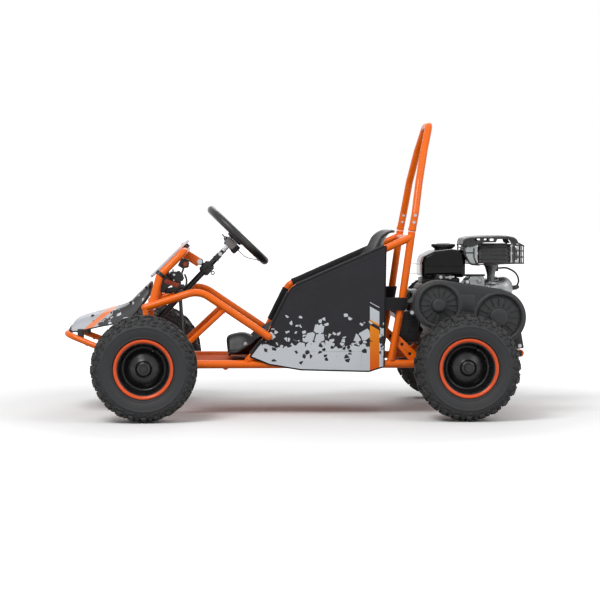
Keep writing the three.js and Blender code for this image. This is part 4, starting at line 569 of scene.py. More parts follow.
def finishOf(name, colour, roughness, metallic=0.0, grain=900.0, depth=0.05, wearAndGlint=0.0,
             wearAndGlintColour=(0.5, 0.5, 0.5), dust=0.15, variation=0.12, coat=0.0, sheen=0.0, roughSpread=0.12,
             pattern=None, heightExtra=None, specular=0.5):
    # Every finish has fine grain, uneven tone, rubbed edges and settled dust, each by its own amount; on the
    # tyre tread the pale rubbed edges are a painted highlight
    material = bpy.data.materials.new(name)
    material.use_nodes = True
    tree = material.node_tree
    shader = tree.nodes["Principled BSDF"]
    vector = put(tree, "ShaderNodeTexCoord").outputs["Object"]
    grained = useGroup("grain", vector, Scale=grain)
    darker = tuple(c * (1 - variation) for c in colour)
    lighter = tuple(min(1.0, c * (1 + variation)) for c in colour)
    tone = spread(grained["Shade"], 0.3, 0.7)
    shade = mixed(tone, darker, lighter)
    if pattern:
        shade = pattern(vector, shade)
    rough = spread(grained["Shade"], 0.3, 0.7, max(0.02, roughness - roughSpread / 2),
                   roughness + roughSpread / 2)
    # Rubbed edges; on the tyre tread this pale edge colour is a painted highlight
    if wearAndGlint:
        wornAndGlint = useGroup("wornAndGlint", vector, Amount=wearAndGlint)["Mask"]
        shade = mixed(wornAndGlint, shade, wearAndGlintColour)
    if dust:
        dusty = useGroup("dust", vector, Amount=dust)["Mask"]
        shade = mixed(dusty, shade, dustColour)
        rough = plus(rough, times(dusty, 0.35), True)
    height = grained["Height"]
    if heightExtra:
        height = heightExtra(vector, height)
    bump = put(tree, "ShaderNodeBump", {"Height": height, "Strength": 1.0, "Distance": depth / 1000})
    tree.links.new(shade, shader.inputs["Base Color"])
    tree.links.new(rough, shader.inputs["Roughness"])
    tree.links.new(bump.outputs["Normal"], shader.inputs["Normal"])
    shader.inputs["Metallic"].default_value = metallic
    shader.inputs["Coat Weight"].default_value = coat
    shader.inputs["Coat Roughness"].default_value = 0.12
    shader.inputs["Sheen Weight"].default_value = sheen
    shader.inputs["Sheen Roughness"].default_value = 0.5
    shader.inputs["Specular IOR Level"].default_value = specular
    return material


def clothHeight(vector, height):
    weave = useGroup("weave", vector)
    return plus(weave["Height"], times(height, 0.3))


printLight = (0.66, 0.695, 0.735)


def panelPrint(vector, shade):
    at = axes(vector)
    level = minus(0.222, at["Z"])
    chips = useGroup("chips", vector, Level=level, Chip=34.0, Reach=0.024)
    shade = mixed(chips["Mask"], shade, printLight)
    # Slanted bars near the rear edge: orange below, grey at the top
    slant = plus(at["Z"], times(at["X"], 0.55))
    bar = above(fraction(times(slant, 17.0)), 0.2)
    bar = larger(bar, below(at["Z"], 0.235))
    inStrip = times(above(at["X"], 0.226), below(at["X"], 0.256))
    strip = times(times(bar, inStrip), below(slant, 0.485))
    fade = spread(at["Z"], 0.15, 0.31)
    colour = mixed(fade, (0.88, 0.13, 0.004), (0.95, 0.34, 0.02))
    colour = mixed(above(slant, 0.43), colour, printLight)
    return mixed(strip, shade, colour)


def fairingPrint(vector, shade):
    at = axes(vector)
    backward = minus(at["X"], -0.672)
    slope = minus(backward, times(minus(at["Z"], 0.25), 1.15))
    chips = useGroup("chips", vector, Level=slope, Chip=44.0, Reach=0.011)
    shade = mixed(chips["Mask"], shade, (0.016, 0.016, 0.018))
    flash = times(above(slope, -0.034), below(slope, -0.012))
    flash = times(flash, above(at["Z"], 0.268))
    shade = mixed(flash, shade, (0.9, 0.25, 0.09))
    # Loose pale chips on the dark part
    chances, seam = cells(vector, 62.0)
    chosen = times(above(chances[0], 0.86), above(seam, 0.1))
    rear = above(slope, 0.02)
    return mixed(times(chosen, rear), shade, printLight)


def wallRings(vector, height):
    # Fine moulded steps round the wheel; the axle line is at a height of 0.165 m
    at = axes(vector)
    toRear = unsigned(minus(at["X"], 0.018))
    fromAxle = minus(toRear, 0.498)
    up = minus(at["Z"], 0.165)
    radius = root(plus(times(fromAxle, fromAxle), times(up, up)))
    wave = sine(times(radius, 2200.0))
    return plus(height, times(wave, 0.9))


finishes = {
    "orange": finishOf("orangePowderCoat", (0.97, 0.158, 0.0015), 0.28, grain=420, depth=0.03, wearAndGlint=0.2,
                       wearAndGlintColour=(0.4, 0.12, 0.03), dust=0.03, variation=0.05, coat=0.12, specular=0.25),
    "weld": finishOf("paintedWeld", (0.85, 0.125, 0.002), 0.42, grain=700, depth=0.12, dust=0.06, coat=0.1,
                     specular=0.3),
    # The floor pan and engine plate take the frame's orange made darker and matt: painted shade
    "pan": finishOf("orangeFloorPanPaintedShade", (0.72, 0.1, 0.002), 0.7, grain=420, depth=0.05, wearAndGlint=0.3,
                    wearAndGlintColour=(0.2, 0.07, 0.03), dust=0.1, specular=0.12),
    "rimBlack": finishOf("glossBlackRim", (0.006, 0.006, 0.007), 0.28, grain=300, depth=0.015, wearAndGlint=0.2,
                         wearAndGlintColour=(0.2, 0.2, 0.21), dust=0.04, coat=0.1, specular=0.45),
    "rimOrange": finishOf("orangeRimEdge", (0.82, 0.085, 0.004), 0.33, grain=420, depth=0.02, wearAndGlint=0.5,
                          wearAndGlintColour=(0.25, 0.08, 0.04), dust=0.06, coat=0.2, specular=0.4),
    "black": finishOf("satinBlackSteel", (0.008, 0.008, 0.009), 0.36, grain=500, depth=0.03, wearAndGlint=0.5,
                      wearAndGlintColour=(0.2, 0.2, 0.21), dust=0.06, specular=0.45),
    # The tread's pale edge colour is a painted highlight on the lug edges
    "rubber": finishOf("tyreRubber", (0.012, 0.0125, 0.0135), 0.62, grain=650, depth=0.18, wearAndGlint=0.8,
                       wearAndGlintColour=(0.13, 0.13, 0.13), dust=0.12, variation=0.25, sheen=0.03, specular=0.35),
    "sidewall": finishOf("tyreSidewall", (0.030, 0.0315, 0.034), 0.6, grain=800, depth=0.06, dust=0.08,
                         variation=0.12, specular=0.35, heightExtra=wallRings),
    "plastic": finishOf("mouldedBlackPlastic", (0.010, 0.010, 0.011), 0.44, grain=1500, depth=0.06,
                        wearAndGlint=0.25, wearAndGlintColour=(0.1, 0.1, 0.1), dust=0.06, specular=0.4),
    "cover": finishOf("beltCoverPlastic", (0.025, 0.026, 0.028), 0.5, grain=1300, depth=0.08, wearAndGlint=0.6,
                      wearAndGlintColour=(0.16, 0.16, 0.165), dust=0.08, specular=0.4),
    "shell": finishOf("seatShellPlastic", (0.010, 0.010, 0.011), 0.38, grain=1100, depth=0.08, wearAndGlint=0.3,
                      wearAndGlintColour=(0.2, 0.2, 0.2), dust=0.04, specular=0.36),
    "cloth": finishOf("panelCloth", (0.030, 0.030, 0.035), 0.85, grain=900, depth=0.12, dust=0.06,
                      variation=0.16, sheen=0.2, pattern=panelPrint, heightExtra=clothHeight, specular=0.2),
    "sleeve": finishOf("sleeveCloth", (0.013, 0.013, 0.015), 0.85, grain=900, depth=0.12, dust=0.05,
                       variation=0.16, sheen=0.2, heightExtra=clothHeight, specular=0.2),
    "binding": finishOf("bindingTape", (0.006, 0.006, 0.007), 0.8, grain=1200, depth=0.1, dust=0.05,
                        sheen=0.1, specular=0.2),
    "thread": finishOf("stitchThread", (0.05, 0.05, 0.055), 0.7, grain=2000, depth=0.05, dust=0.0),
    "fairing": finishOf("printedHood", (0.5, 0.52, 0.56), 0.38, grain=700, depth=0.02, wearAndGlint=0.2,
                        wearAndGlintColour=(0.6, 0.6, 0.6), dust=0.06, variation=0.05, coat=0.2,
                        pattern=fairingPrint),
    "zinc": finishOf("zincPlatedSteel", (0.46, 0.465, 0.48), 0.32, metallic=1.0, grain=700, depth=0.02,
                     wearAndGlint=0.3, wearAndGlintColour=(0.7, 0.7, 0.71), dust=0.1, variation=0.1),
    "alloy": finishOf("castAlloy", (0.30, 0.315, 0.315), 0.38, metallic=1.0, grain=750, depth=0.16,
                      wearAndGlint=0.4, wearAndGlintColour=(0.7, 0.7, 0.72), dust=0.1, variation=0.2),
    "tank": finishOf("glossTankPaint", (0.003, 0.003, 0.0035), 0.14, grain=260, depth=0.012, wearAndGlint=0.15,
                     wearAndGlintColour=(0.15, 0.15, 0.15), dust=0.02, coat=0.12, specular=0.16),
    "grip": finishOf("foamGrip", (0.007, 0.007, 0.008), 0.38, grain=520, depth=0.14, dust=0.04,
                     variation=0.25, sheen=0.08, specular=0.5),
    "lead": finishOf("rubberLead", (0.008, 0.008, 0.009), 0.45, grain=900, depth=0.03, dust=0.05),
    "soot": finishOf("heatedSteel", (0.12, 0.118, 0.12), 0.45, metallic=0.85, grain=500, depth=0.08,
                     wearAndGlint=0.2, wearAndGlintColour=(0.3, 0.25, 0.2), dust=0.1, variation=0.3),
    "grey": finishOf("greyClampPlastic", (0.27, 0.255, 0.25), 0.5, grain=1100, depth=0.05, wearAndGlint=0.2,
                     wearAndGlintColour=(0.5, 0.5, 0.5), dust=0.06),
    "chain": finishOf("oiledChain", (0.24, 0.23, 0.21), 0.34, metallic=1.0, grain=500, depth=0.03,
                      dust=0.15),
    "red": finishOf("darkRedBracket", (0.32, 0.045, 0.012), 0.45, grain=900, depth=0.04, dust=0.06),
}


def plateFinish():
    # Frosted clear sheet: white where it scatters, see-through a little
    material = finishOf("frostedPlate", (0.8, 0.775, 0.805), 0.5, grain=500, depth=0.02, dust=0.05,
                        variation=0.03, specular=0.2)
    shader = material.node_tree.nodes["Principled BSDF"]
    shader.inputs["Transmission Weight"].default_value = 0.03
    shader.inputs["IOR"].default_value = 1.49
    return material


finishes["frosted"] = plateFinish()
f = SimpleNamespace(**finishes)
print("finishes made:", len(finishes))


# Geometry Nodes: what repeats

def geometryTree(name, inputs):
    tree = bpy.data.node_groups.new(name, "GeometryNodeTree")
    ids = {}
    for label, kind, value in [("Geometry", "Geometry", None), *inputs, ("Finish", "Material", None)]:
        socket = tree.interface.new_socket(label, in_out="INPUT", socket_type="NodeSocket" + kind)
        if value is not None:
            socket.default_value = value
        ids[label] = socket.identifier
    tree.interface.new_socket("Geometry", in_out="OUTPUT", socket_type="NodeSocketGeometry")
    return tree, ids, tree.nodes.new("NodeGroupInput").outputs


def endTree(tree, start, instances):
    real = put(tree, "GeometryNodeRealizeInstances", {"Geometry": instances})
    painted = put(tree, "GeometryNodeSetMaterial", {"Geometry": real.outputs[0], "Material": start["Finish"]})
    put(tree, "NodeGroupOutput", {0: painted.outputs[0]})


def unevenSize(tree, start):
    inputs = {2: 0.0, 3: 1.0, "Seed": start["Seed"]}
    chance = put(tree, "FunctionNodeRandomValue", inputs, data_type="FLOAT").outputs[1]
    return minus(1.0, times(chance, start["Jitter"]))


def ringTree():
    # Copies of one form round a circle, such as tread blocks and ribs
    tree, ids, start = geometryTree("copiesRoundAxis", [
        ("Count", "Int", 8), ("Copy", "Object", None), ("Jitter", "Float", 0.0), ("Seed", "Int", 3),
    ])
    points = put(tree, "GeometryNodePoints", {"Count": start["Count"]})
    index = put(tree, "GeometryNodeInputIndex").outputs[0]
    turn = put(tree, "ShaderNodeCombineXYZ", {"Z": times(index, over(2 * pi, start["Count"]))})
    copied = put(tree, "GeometryNodeObjectInfo", {"Object": start["Copy"]})
    across = unevenSize(tree, start)
    scale = put(tree, "ShaderNodeCombineXYZ", {"X": across, "Y": across, "Z": 1.0})
    instances = put(tree, "GeometryNodeInstanceOnPoints", {
        "Points": points.outputs[0], "Instance": copied.outputs["Geometry"], "Rotation": turn.outputs[0],
        "Scale": scale.outputs[0],
    })
    endTree(tree, start, instances.outputs[0])
    return tree, ids


def pathTree():
    # Copies of one form along a route, such as stitches and weld beads
    tree, ids, start = geometryTree("copiesAlongRoute", [
        ("Spacing", "Float", 6.0), ("Copy", "Object", None), ("Jitter", "Float", 0.0), ("Seed", "Int", 5),
    ])
    route = put(tree, "GeometryNodeMeshToCurve", {"Mesh": start["Geometry"]}).outputs[0]
    points = put(tree, "GeometryNodeCurveToPoints", {"Curve": route, "Length": start["Spacing"]},
                 mode="LENGTH")
    copied = put(tree, "GeometryNodeObjectInfo", {"Object": start["Copy"]})
    instances = put(tree, "GeometryNodeInstanceOnPoints", {
        "Points": points.outputs["Points"], "Instance": copied.outputs["Geometry"],
        "Rotation": points.outputs["Rotation"], "Scale": unevenSize(tree, start),
    })
    endTree(tree, start, instances.outputs[0])
    return tree, ids


def boltTree():
    # Hexagon heads on washers, standing where each point says
    tree, ids, start = geometryTree("hexagonBolts", [("Head", "Float", 6.0), ("Tall", "Float", 4.0)])
    head, tall = start["Head"], start["Tall"]
    joined = tree.nodes.new("GeometryNodeJoinGeometry")
    for sides, radius, depth, lift in ((6, head, tall, 0.75), (18, times(head, 1.35), times(tall, 0.3), 0.1),
                                       (10, times(head, 0.5), tall, 1.1)):
        drum = put(tree, "GeometryNodeMeshCylinder", {"Vertices": sides, "Radius": radius, "Depth": depth})
        rise = put(tree, "ShaderNodeCombineXYZ", {"Z": times(tall, lift)})
        inputs = {"Geometry": drum.outputs["Mesh"], "Translation": rise.outputs[0]}
        tree.links.new(put(tree, "GeometryNodeTransform", inputs).outputs[0], joined.inputs[0])
    heading = put(tree, "GeometryNodeInputNamedAttribute", {"Name": "heading"}, data_type="FLOAT_VECTOR")
    turn = put(tree, "FunctionNodeAlignRotationToVector", {"Vector": heading.outputs[0]}, axis="Z")
    instances = put(tree, "GeometryNodeInstanceOnPoints", {
        "Points": start["Geometry"], "Instance": joined.outputs[0], "Rotation": turn.outputs[0],
    })
    endTree(tree, start, instances.outputs[0])
    return tree, ids


trees = {"ring": ringTree(), "path": pathTree(), "bolt": boltTree()}


def runTree(name, carrier, values):
    # Runs a tree on an object and returns its result as a plain mesh object
    tree, ids = trees[name]
    modifier = carrier.modifiers.new(name, "NODES")
    modifier.node_group = tree
    for label, value in values.items():
        modifier[ids[label]] = value
    bpy.context.view_layer.update()
    graph = bpy.context.evaluated_depsgraph_get()
    mesh = bpy.data.meshes.new_from_object(carrier.evaluated_get(graph))
    made = bpy.data.objects.new(name + "Result", mesh)
    scene.collection.objects.link(made)
    carrier.modifiers.remove(modifier)
    bpy.data.objects.remove(carrier)
    return made


def ringOf(form, count, finish, jitter=0.0, seed=3):
    copy = plainObject("copy", form)
    made = runTree("ring", plainObject("carrier", bmesh.new()),
                   {"Count": count, "Copy": copy, "Jitter": jitter, "Seed": seed, "Finish": finish})
    bpy.data.objects.remove(copy)
    return made


def alongOf(form, route, spacing, finish, closed=False, jitter=0.0, seed=5):
    line = bmesh.new()
    verts = [line.verts.new(p) for p in route]
    for a, b in zip(verts, verts[1:] + (verts[:1] if closed else [])):
        line.edges.new((a, b))
    copy = plainObject("copy", form)
    made = runTree("path", plainObject("route", line), {
        "Spacing": spacing, "Copy": copy, "Jitter": jitter, "Seed": seed, "Finish": finish,
    })
    bpy.data.objects.remove(copy)
    return made


# Camera and light

view = {"position": (-0.2219, -6.120, 0.6351), "yaw": 2.201, "pitch": 2.598, "lens": 112.38}
cameraData = bpy.data.cameras.new("camera")
cameraData.lens = view["lens"]
cameraData.sensor_width = 36
camera = bpy.data.objects.new("camera", cameraData)
camera.location = view["position"]
camera.rotation_euler = (radians(90 - view["pitch"]), 0, -radians(view["yaw"]))
scene.collection.objects.link(camera)
scene.camera = camera
scene.view_settings.view_transform = "Standard"


def lamp(name, place, target, size, energy):
    data = bpy.data.lights.new(name, "AREA")
    data.shape = "DISK"
    data.size = size
    data.energy = energy
    made = bpy.data.objects.new(name, data)
    made.location = place
    made.rotation_euler = (Vector(target) - Vector(place)).to_track_quat("-Z", "Y").to_euler()
    scene.collection.objects.link(made)


lamps = {"key": ((-1.6, -2.6, 3.4), 1.9, 92), "fill": ((2.6, -2.0, 2.2), 2.4, 27),
         "back": ((0.6, 3.2, 2.6), 2.4, 36)}
for name, (place, size, energy) in lamps.items():
    lamp(name, place, (0, 0, 0.35), size, energy)


def studioWorld():
    world = bpy.data.worlds.new("studio")
    world.use_nodes = True
    tree = world.node_tree
    back = tree.nodes["Background"]
    paths = put(tree, "ShaderNodeLightPath")
    seen = larger(paths.outputs["Is Camera Ray"], paths.outputs["Is Glossy Ray"])
    seen = larger(seen, paths.outputs["Is Transmission Ray"])
    strength = spread(seen, 0.0, 1.0, 0.48, 1.0)
    tree.links.new(strength, back.inputs["Strength"])
    back.inputs["Color"].default_value = (1, 1, 1, 1)
    scene.world = world


studioWorld()


def studioFloor():
    form = bmesh.new()
    bmesh.ops.create_circle(form, cap_ends=True, segments=96, radius=60)
    mesh = bpy.data.meshes.new("floor")
    form.to_mesh(mesh)
    form.free()
    floor = bpy.data.objects.new("floor", mesh)
    scene.collection.objects.link(floor)
    material = bpy.data.materials.new("paleFloor")
    material.use_nodes = True
    tree = material.node_tree
    shader = tree.nodes["Principled BSDF"]
    paths = put(tree, "ShaderNodeLightPath")
    seen = larger(paths.outputs["Is Camera Ray"], paths.outputs["Is Glossy Ray"])
    cloud = put(tree, "ShaderNodeTexNoise", {"Scale": 3.0, "Detail": 3.0})
    tone = spread(cloud.outputs["Fac"], 0.3, 0.7, 0.985, 1.0)
    shade = mixed(seen, (0.34, 0.34, 0.34), (0.98, 0.98, 0.98))
    shade = put(tree, "ShaderNodeMix", {0: 1.0, 6: shade}, data_type="RGBA", blend_type="MULTIPLY")
    tree.links.new(tone, shade.inputs[7])
    tree.links.new(shade.outputs[2], shader.inputs["Base Color"])
    shader.inputs["Roughness"].default_value = 0.9
    shader.inputs["Specular IOR Level"].default_value = 0.1
    shader.inputs["Emission Color"].default_value = (1, 1, 1, 1)
    # Far from the kart the floor fades into the white background
    place = put(tree, "ShaderNodeTexCoord").outputs["Object"]
    away = put(tree, "ShaderNodeVectorMath", {0: place}, operation="LENGTH").outputs["Value"]
    glow = spread(away, 0.95, 2.6, 0.0, 0.75)
    tree.links.new(times(seen, glow), shader.inputs["Emission Strength"])
    mesh.materials.append(material)
    floor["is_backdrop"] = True


studioFloor()
print("camera, light and floor set")


# Outlines

def roundedOutline(corners, radius, steps=5):
    # A polygon in X and Z with each corner rounded
    outline = []
    count = len(corners)
    for i, corner in enumerate(corners):
        before, after = Vector(corners[i - 1]), Vector(corners[(i + 1) % count])
        corner = Vector(corner)
        into, out = (before - corner).normalized(), (after - corner).normalized()
        angle = into.angle(out)
        r = radius[i] if isinstance(radius, (list, tuple)) else radius
        reach = min(r / tan(angle / 2), (before - corner).length * 0.48, (after - corner).length * 0.48)
        r = reach * tan(angle / 2)
        centre = corner + (into + out).normalized() * hypot(r, reach)
        start, end = corner + into * reach - centre, corner + out * reach - centre
        swing = start.angle_signed(end)
        for step in range(steps + 1):
            a = -swing * step / steps
            turned = Vector((start.x * cos(a) - start.y * sin(a), start.x * sin(a) + start.y * cos(a)))
            outline.append(tuple(centre + turned))
    return outline


# Steering: its own Z runs up the column

steering = {"x": 291, "z": 569, "lean": radians(43.7), "clamp": -148}
steerTurn = moved((steering["x"], 0, steering["z"])) @ spun(steering["lean"], "Y")


def onColumn(along, out=0.0, y=0.0):
    return steerTurn @ Vector((out, y, along))


# Free cords first

def cordPiece(name, body, route, diameter, finish, replaces, sides=12):
    even = evenly(route, 30)
    piece = Piece(name)
    piece.add(tubeForm(even, diameter / 2, sides), finish)
    made = piece.done(replaces=replaces, body=body)
    path = [[(p.x - originShift) / 1000, p.y / 1000, p.z / 1000] for p in even]
    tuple(path[0])
    lengthOf(even) / 1000
    return made


wirePoints = [(34.3, 0, -35), (68.3, 0, -33.25), (102.34, 0, -13.5)]
wireRoute = smoothRoute([steerTurn @ Vector(p) for p in wirePoints], 12)
cordPiece("switch_wire_cord", "steering", wireRoute, 2.4, f.lead, ["switch_wire"])
leadPoints = [(1140, 462), (1168, 462), (1196, 446), (1206, 420), (1196, 400), (1185.6, 398)]
leadRoute = smoothRoute([(x, -40, z) for x, z in leadPoints], 8)
cordPiece("plug_lead_cord", "chassis", leadRoute, 6, f.lead, ["plug_lead"], 16)
print("cords made")


# Frame

frameSizes = {
    "rail": 13, "upper": 12, "strut": 8, "nose": 9.5, "deckZ": 198,
    "kneeFront": (-2, 248, 345), "kneePeak": (167, 238, 399), "kneeRear": (385, 229.3, 252),
}
railY, railZ = 205, 163
pedalX, pedalY, pedalZ = 110, 70, 210


def mirrored(point, side):
    return (point[0], side * point[1], point[2])


def arch(points):
    # From the near side over to the far side
    return [mirrored(p, -1) for p in points] + points[::-1]


def seatLine(side):
    return [(x, side * railY, z) for x, z in ((318, 170), (392, 258), (463, 400), (838, 565))]


def lowerFrame():
    s = frameSizes
    piece = Piece("lower_frame_tubes")
    for side in (-1, 1):
        y, low, high = side * railY, railZ, s["deckZ"]
        piece.tube([(0, y, low), (860, y, low), (905, y, high), (1182, y, high)], s["rail"], f.orange, 60)
        for x in (110, 250, 700):
            piece.weld((x, side * 191.5, 154), (0, 1, 0), 8.4)
        piece.weld((1170.5, y, high), (1, 0, 0), 12.6)
        piece.box((1176, side * 235 - 2.5, 190), (1188, side * 235 + 2.5, 206), f.plastic, 1.5)
        for face in (-1, 1):
            middle = side * pedalY + face * 14.3
            outline = [(97, 147), (123, 147), (122, 215), (118, 221), (110, 223.5), (102, 221), (98, 215)]
            piece.plate(outline, 4, 0.6, f.orange, middle)
        piece.rod((pedalX, side * pedalY - 20, pedalZ), (pedalX, side * pedalY + 20, pedalZ), 4, f.zinc)
        piece.bolts([((pedalX, side * pedalY + k * 16.3, pedalZ), (0, k, 0)) for k in (-1, 1)], 6, 5, f.zinc)
    for x in (110, 250, 700):
        piece.tube([(x, -200, 154), (x, 200, 154)], s["strut"], f.orange)
    piece.tube([(1182, -235, s["deckZ"]), (1182, 235, s["deckZ"])], s["upper"], f.orange)
    piece.done(["lower_frame"])


def frontBeam():
    piece = Piece("front_beam_and_nose_tube")
    piece.tube([(0, -223, railZ), (0, 223, railZ)], 13, f.orange)
    nose = arch([(-9, railY, railZ), (-19, railY, railZ), (-255, 150, 257)])
    piece.tube(nose, frameSizes["nose"], f.orange, 42, 20)
    for side in (-1, 1):
        piece.weld((-11, side * railY, railZ), (1, 0, 0), 10.2)
        piece.weld((0, side * 222, railZ), (0, 1, 0), 13.4)
        wall = [(-17, 130), (-15, 128), (15, 128), (17, 130), (17, 250), (6, 309), (5, 311), (-5, 311),
                (-6, 309), (-17, 250)]
        piece.plate(wall, 5, 0.8, f.orange, side * 225.5)
        for z in (130.5, 309.5):
            wide = 17 if z < 200 else 7
            flange = [(-wide, side * 224), (wide, side * 224), (wide, side * 262), (6, side * 268),
                      (-6, side * 268), (-wide, side * 262)]
            if side > 0:
                flange.reverse()
            piece.add(plateForm(flange, 5, 0.8), f.orange, moved((0, 0, z)))
        # Clamp and bracket that join the nose tube to the hood
        clampAt = Vector((-150, side * 174, 216))
        along = Vector((-236, side * -55, 94)).normalized() * -1
        piece.band(clampAt, along, 9.5, 12.2, 11, f.zinc)
        piece.box((-158, side * 174 - 7, 200), (-142, side * 174 + 7, 206), f.black, 1)
        piece.bolts([(clampAt + Vector((0, side * 11, 2)), (0, side, 0.2))], 4.2, 4, f.zinc)
        piece.bolts([((-190, side * 164, 224), (0, side, -0.3)), ((-112, side * 184, 194), (0, side, -0.3))],
                    4.2, 4, f.zinc)
    low, high = onColumn(-461), onColumn(-439)
    piece.rod(low, high, 16, f.orange)
    piece.box((-13, -13, 165), (-8, 13, low.z + 4), f.orange, 1)
    piece.band(high, high - low, 9.8, 14, 3, f.zinc)
    piece.done(["front_axle_beam"])


def dashHoop():
    piece = Piece("dash_hoop_tube")
    corners = arch([(18, 240, 350), (44, 225, 446), (119, 205, 520)])
    piece.tube(corners, frameSizes["upper"], f.orange, 28, 22)
    lean = moved((139, 0, 496)) @ spun(radians(32.5), "Y")
    piece.box((-31, -25, -14), (31, 25, -11.5), f.orange, 0.8, lean)
    for side in (-1, 1):
        piece.box((-31, side * 25 - (2.5 if side > 0 else 0), -13),
                  (31, side * 25 + (2.5 if side < 0 else 0), 14), f.orange, 0.8, lean)
        piece.weld((20, side * 239, 358), (26, side * -15, 96), 12.6)
        piece.band((45, side * 224.6, 449), (60, side * -17, 70), 12.1, 15, 11, f.plastic)
    bolt = onColumn(steering["clamp"], -31)
    piece.bolts([((bolt.x, k * 25.2, bolt.z), (0, k, 0)) for k in (-1, 1)], 6.5, 6, f.zinc)
    piece.done(["dash_hoop"])


def kneeTube(hand, side):
    s = frameSizes
    piece = Piece("knee_tube_" + hand + "_bend")
    corners = [mirrored(s[k], side) for k in ("kneeFront", "kneePeak", "kneeRear")]
    route = bentRoute(corners, 75, 12)
    start = (route[1] - route[0]).normalized()
    end = (route[-1] - route[-2]).normalized()
    # Rounded ends
    ease = [(sin(a), 1 - cos(a)) for a in (0.5, 0.95, 1.3)]
    front = [route[0] - start * 12 * (1 - drop) for _, drop in ease]
    back = [route[-1] + end * 12 * (1 - drop) for _, drop in ease]
    full = front + route + list(reversed(back))
    tips = [12 * share for share, _ in ease]
    radii = tips + [12] * len(route) + tips[::-1]
    piece.add(tubeForm(full, radii, 24), f.orange)
    top = Vector(corners[1]).lerp(Vector(corners[2]), (251 - 167) / (385 - 167))
    foot = Vector((60, side * railY, railZ))
    direction = (top - foot).normalized()
    piece.tube([foot + direction * 12, top], 8, f.orange, around=18)
    piece.weld(foot + direction * 15, direction, 8.6, 1.9)
    piece.weld(top - direction * 14, direction, 8.6, 1.9)
    piece.done(["knee_tube_" + hand])


def seatTube(hand, side):
    piece = Piece("seat_tube_" + hand + "_bend")
    y = side * railY
    corners = seatLine(side)
    piece.tube(corners, frameSizes["upper"], f.orange, 45, 22)
    foot = Vector(corners[0])
    run = (Vector(corners[1]) - foot).normalized()
    piece.weld(foot + run * 8, run, 12.6)
    gusset = [(318, 176.6), (400, 176.6), (392, 181), (350, 200), (344, 202.6)]
    piece.plate(gusset, 3, 0.6, f.orange, y)
    piece.done(["seat_tube_" + hand])


def uprightX(z):
    return 773 + (z - railZ) / (345 - railZ) * (806 - 773)


def seatBack():
    piece = Piece("seat_back_uprights")
    for side in (-1, 1):
        y = side * railY
        piece.tube([(773, y, 170), (806, y, 345), (840, side * 203, 582)], frameSizes["upper"], f.orange,
                   120, 22)
        piece.weld((775.5, y, 177), (33, 0, 182), 12.6)
        piece.weld((835, side * 191, 560), (0, 1, 0), 11.4)
        outline = [(uprightX(262), 262), (862, 192.3), (862, 176.6), (830, 176.6), (uprightX(230), 230)]
        holes = []
        for share in (0.35, 0.7):
            x = uprightX(262) + share * (862 - uprightX(262)) - 6.7
            z = 262 + share * (176.3 - 262) - 6.7
            holes.append(circlePoints(3.6, 18, (x, z)))
            piece.rod((x, y - 2.4, z), (x, y + 2.4, z), 5, f.binding, around=18)
        outline.reverse()
        piece.plate(outline, 3, 0.5, f.orange, y, holes)
    piece.tube([(835, -railY, 560), (835, railY, 560)], 11, f.orange)
    x = uprightX(321)
    piece.box((x - 2, -196, 300), (x + 2, 196, 342), f.orange, 0.9)
    piece.bolts([((x - 2.2, y, 321), (-1, 0, 0)) for y in (-120, -40, 40, 120)], 5, 3, f.black)
    piece.done(["seat_back_frame"])


def rollHoop():
    piece = Piece("roll_hoop_arch")
    corners = arch([(840.3, 203, 584), (851, 198, 640), (867, 163, 744), (888, 110, 845), (909, 56, 925)])
    piece.tube(corners, frameSizes["upper"], f.orange, 38, 22)
    places = []
    for side in (-1, 1):
        piece.band((841, side * 202.7, 590), (10.7, side * -5, 56), 12, 12.9, 8, f.orange)
        for face in (-1, 1):
            places += [((846, side * (200.9 + face * 11.6), 612), (0, side * face, 0)),
                       ((850, side * (198.9 + face * 11.6), 634), (0, side * face, 0))]
    piece.bolts(places, 3.6, 2.4, f.zinc)
    piece.done(["roll_hoop"])


lowerFrame()
frontBeam()
dashHoop()
seatBack()
rollHoop()
for hand, side in sides.items():
    kneeTube(hand, side)
    seatTube(hand, side)
print("frame tubes made")


# Wheels

wheelSizes = {"pitches": 24, "blockDepth": 11, "frontTrack": 750, "rearTrack": 740}
# Pairs of radius and distance from the wheel's middle
tyreOutline = [(79, 40), (78.4, 49.8), (81, 50.3), (90, 50.4), (92.4, 51.2), (93.5, 53.4), (96, 54.6),
               (97, 56.4), (99, 56.8), (100.2, 56), (106, 58.6), (114, 61.2), (122, 62.6), (126, 62.9),
               (127, 63.7), (129, 63.7), (130.2, 62.5), (137, 61.4), (144, 58.6), (149, 54.5), (152.5, 48),
               (154.3, 38), (155.2, 22), (155.6, 0)]
tyreInside = [(147, 0), (146, 30), (139, 46), (124, 54), (104, 50), (92, 43), (84, 38)]
rimOutline = [(17, -44), (17, 3), (30, 8), (43, 10), (49, 7), (54, 0), (60, -4), (67, -4), (71, -8),
              (74, -14), (75, -45), (77.5, -49.5), (84, -51.5), (88, -54), (90.4, -55.4), (91.4, -53.6),
              (90, -51), (80, -50.4), (77.8, -48), (77.6, -20), (77.6, 20), (77.8, 48), (80, 50.4), (90, 51),
              (91.3, 53.2), (89.8, 55), (86, 54.6), (82, 52.4), (79.6, 49.6), (78, 46), (76.8, 38),
              (75.4, 24), (73.4, 13), (70.8, 6.4), (67.4, 2.6), (63.8, 1.4), (60.4, 2.4), (58, 5.4),
              (55.6, 9.2), (52.6, 12.2), (48.6, 14.7), (43.6, 17), (38, 19.3), (32.4, 21.7), (27.6, 23.6),
              (24.6, 25.2), (22.6, 28), (20.6, 30.8), (18.2, 32.2), (16, 32.6)]


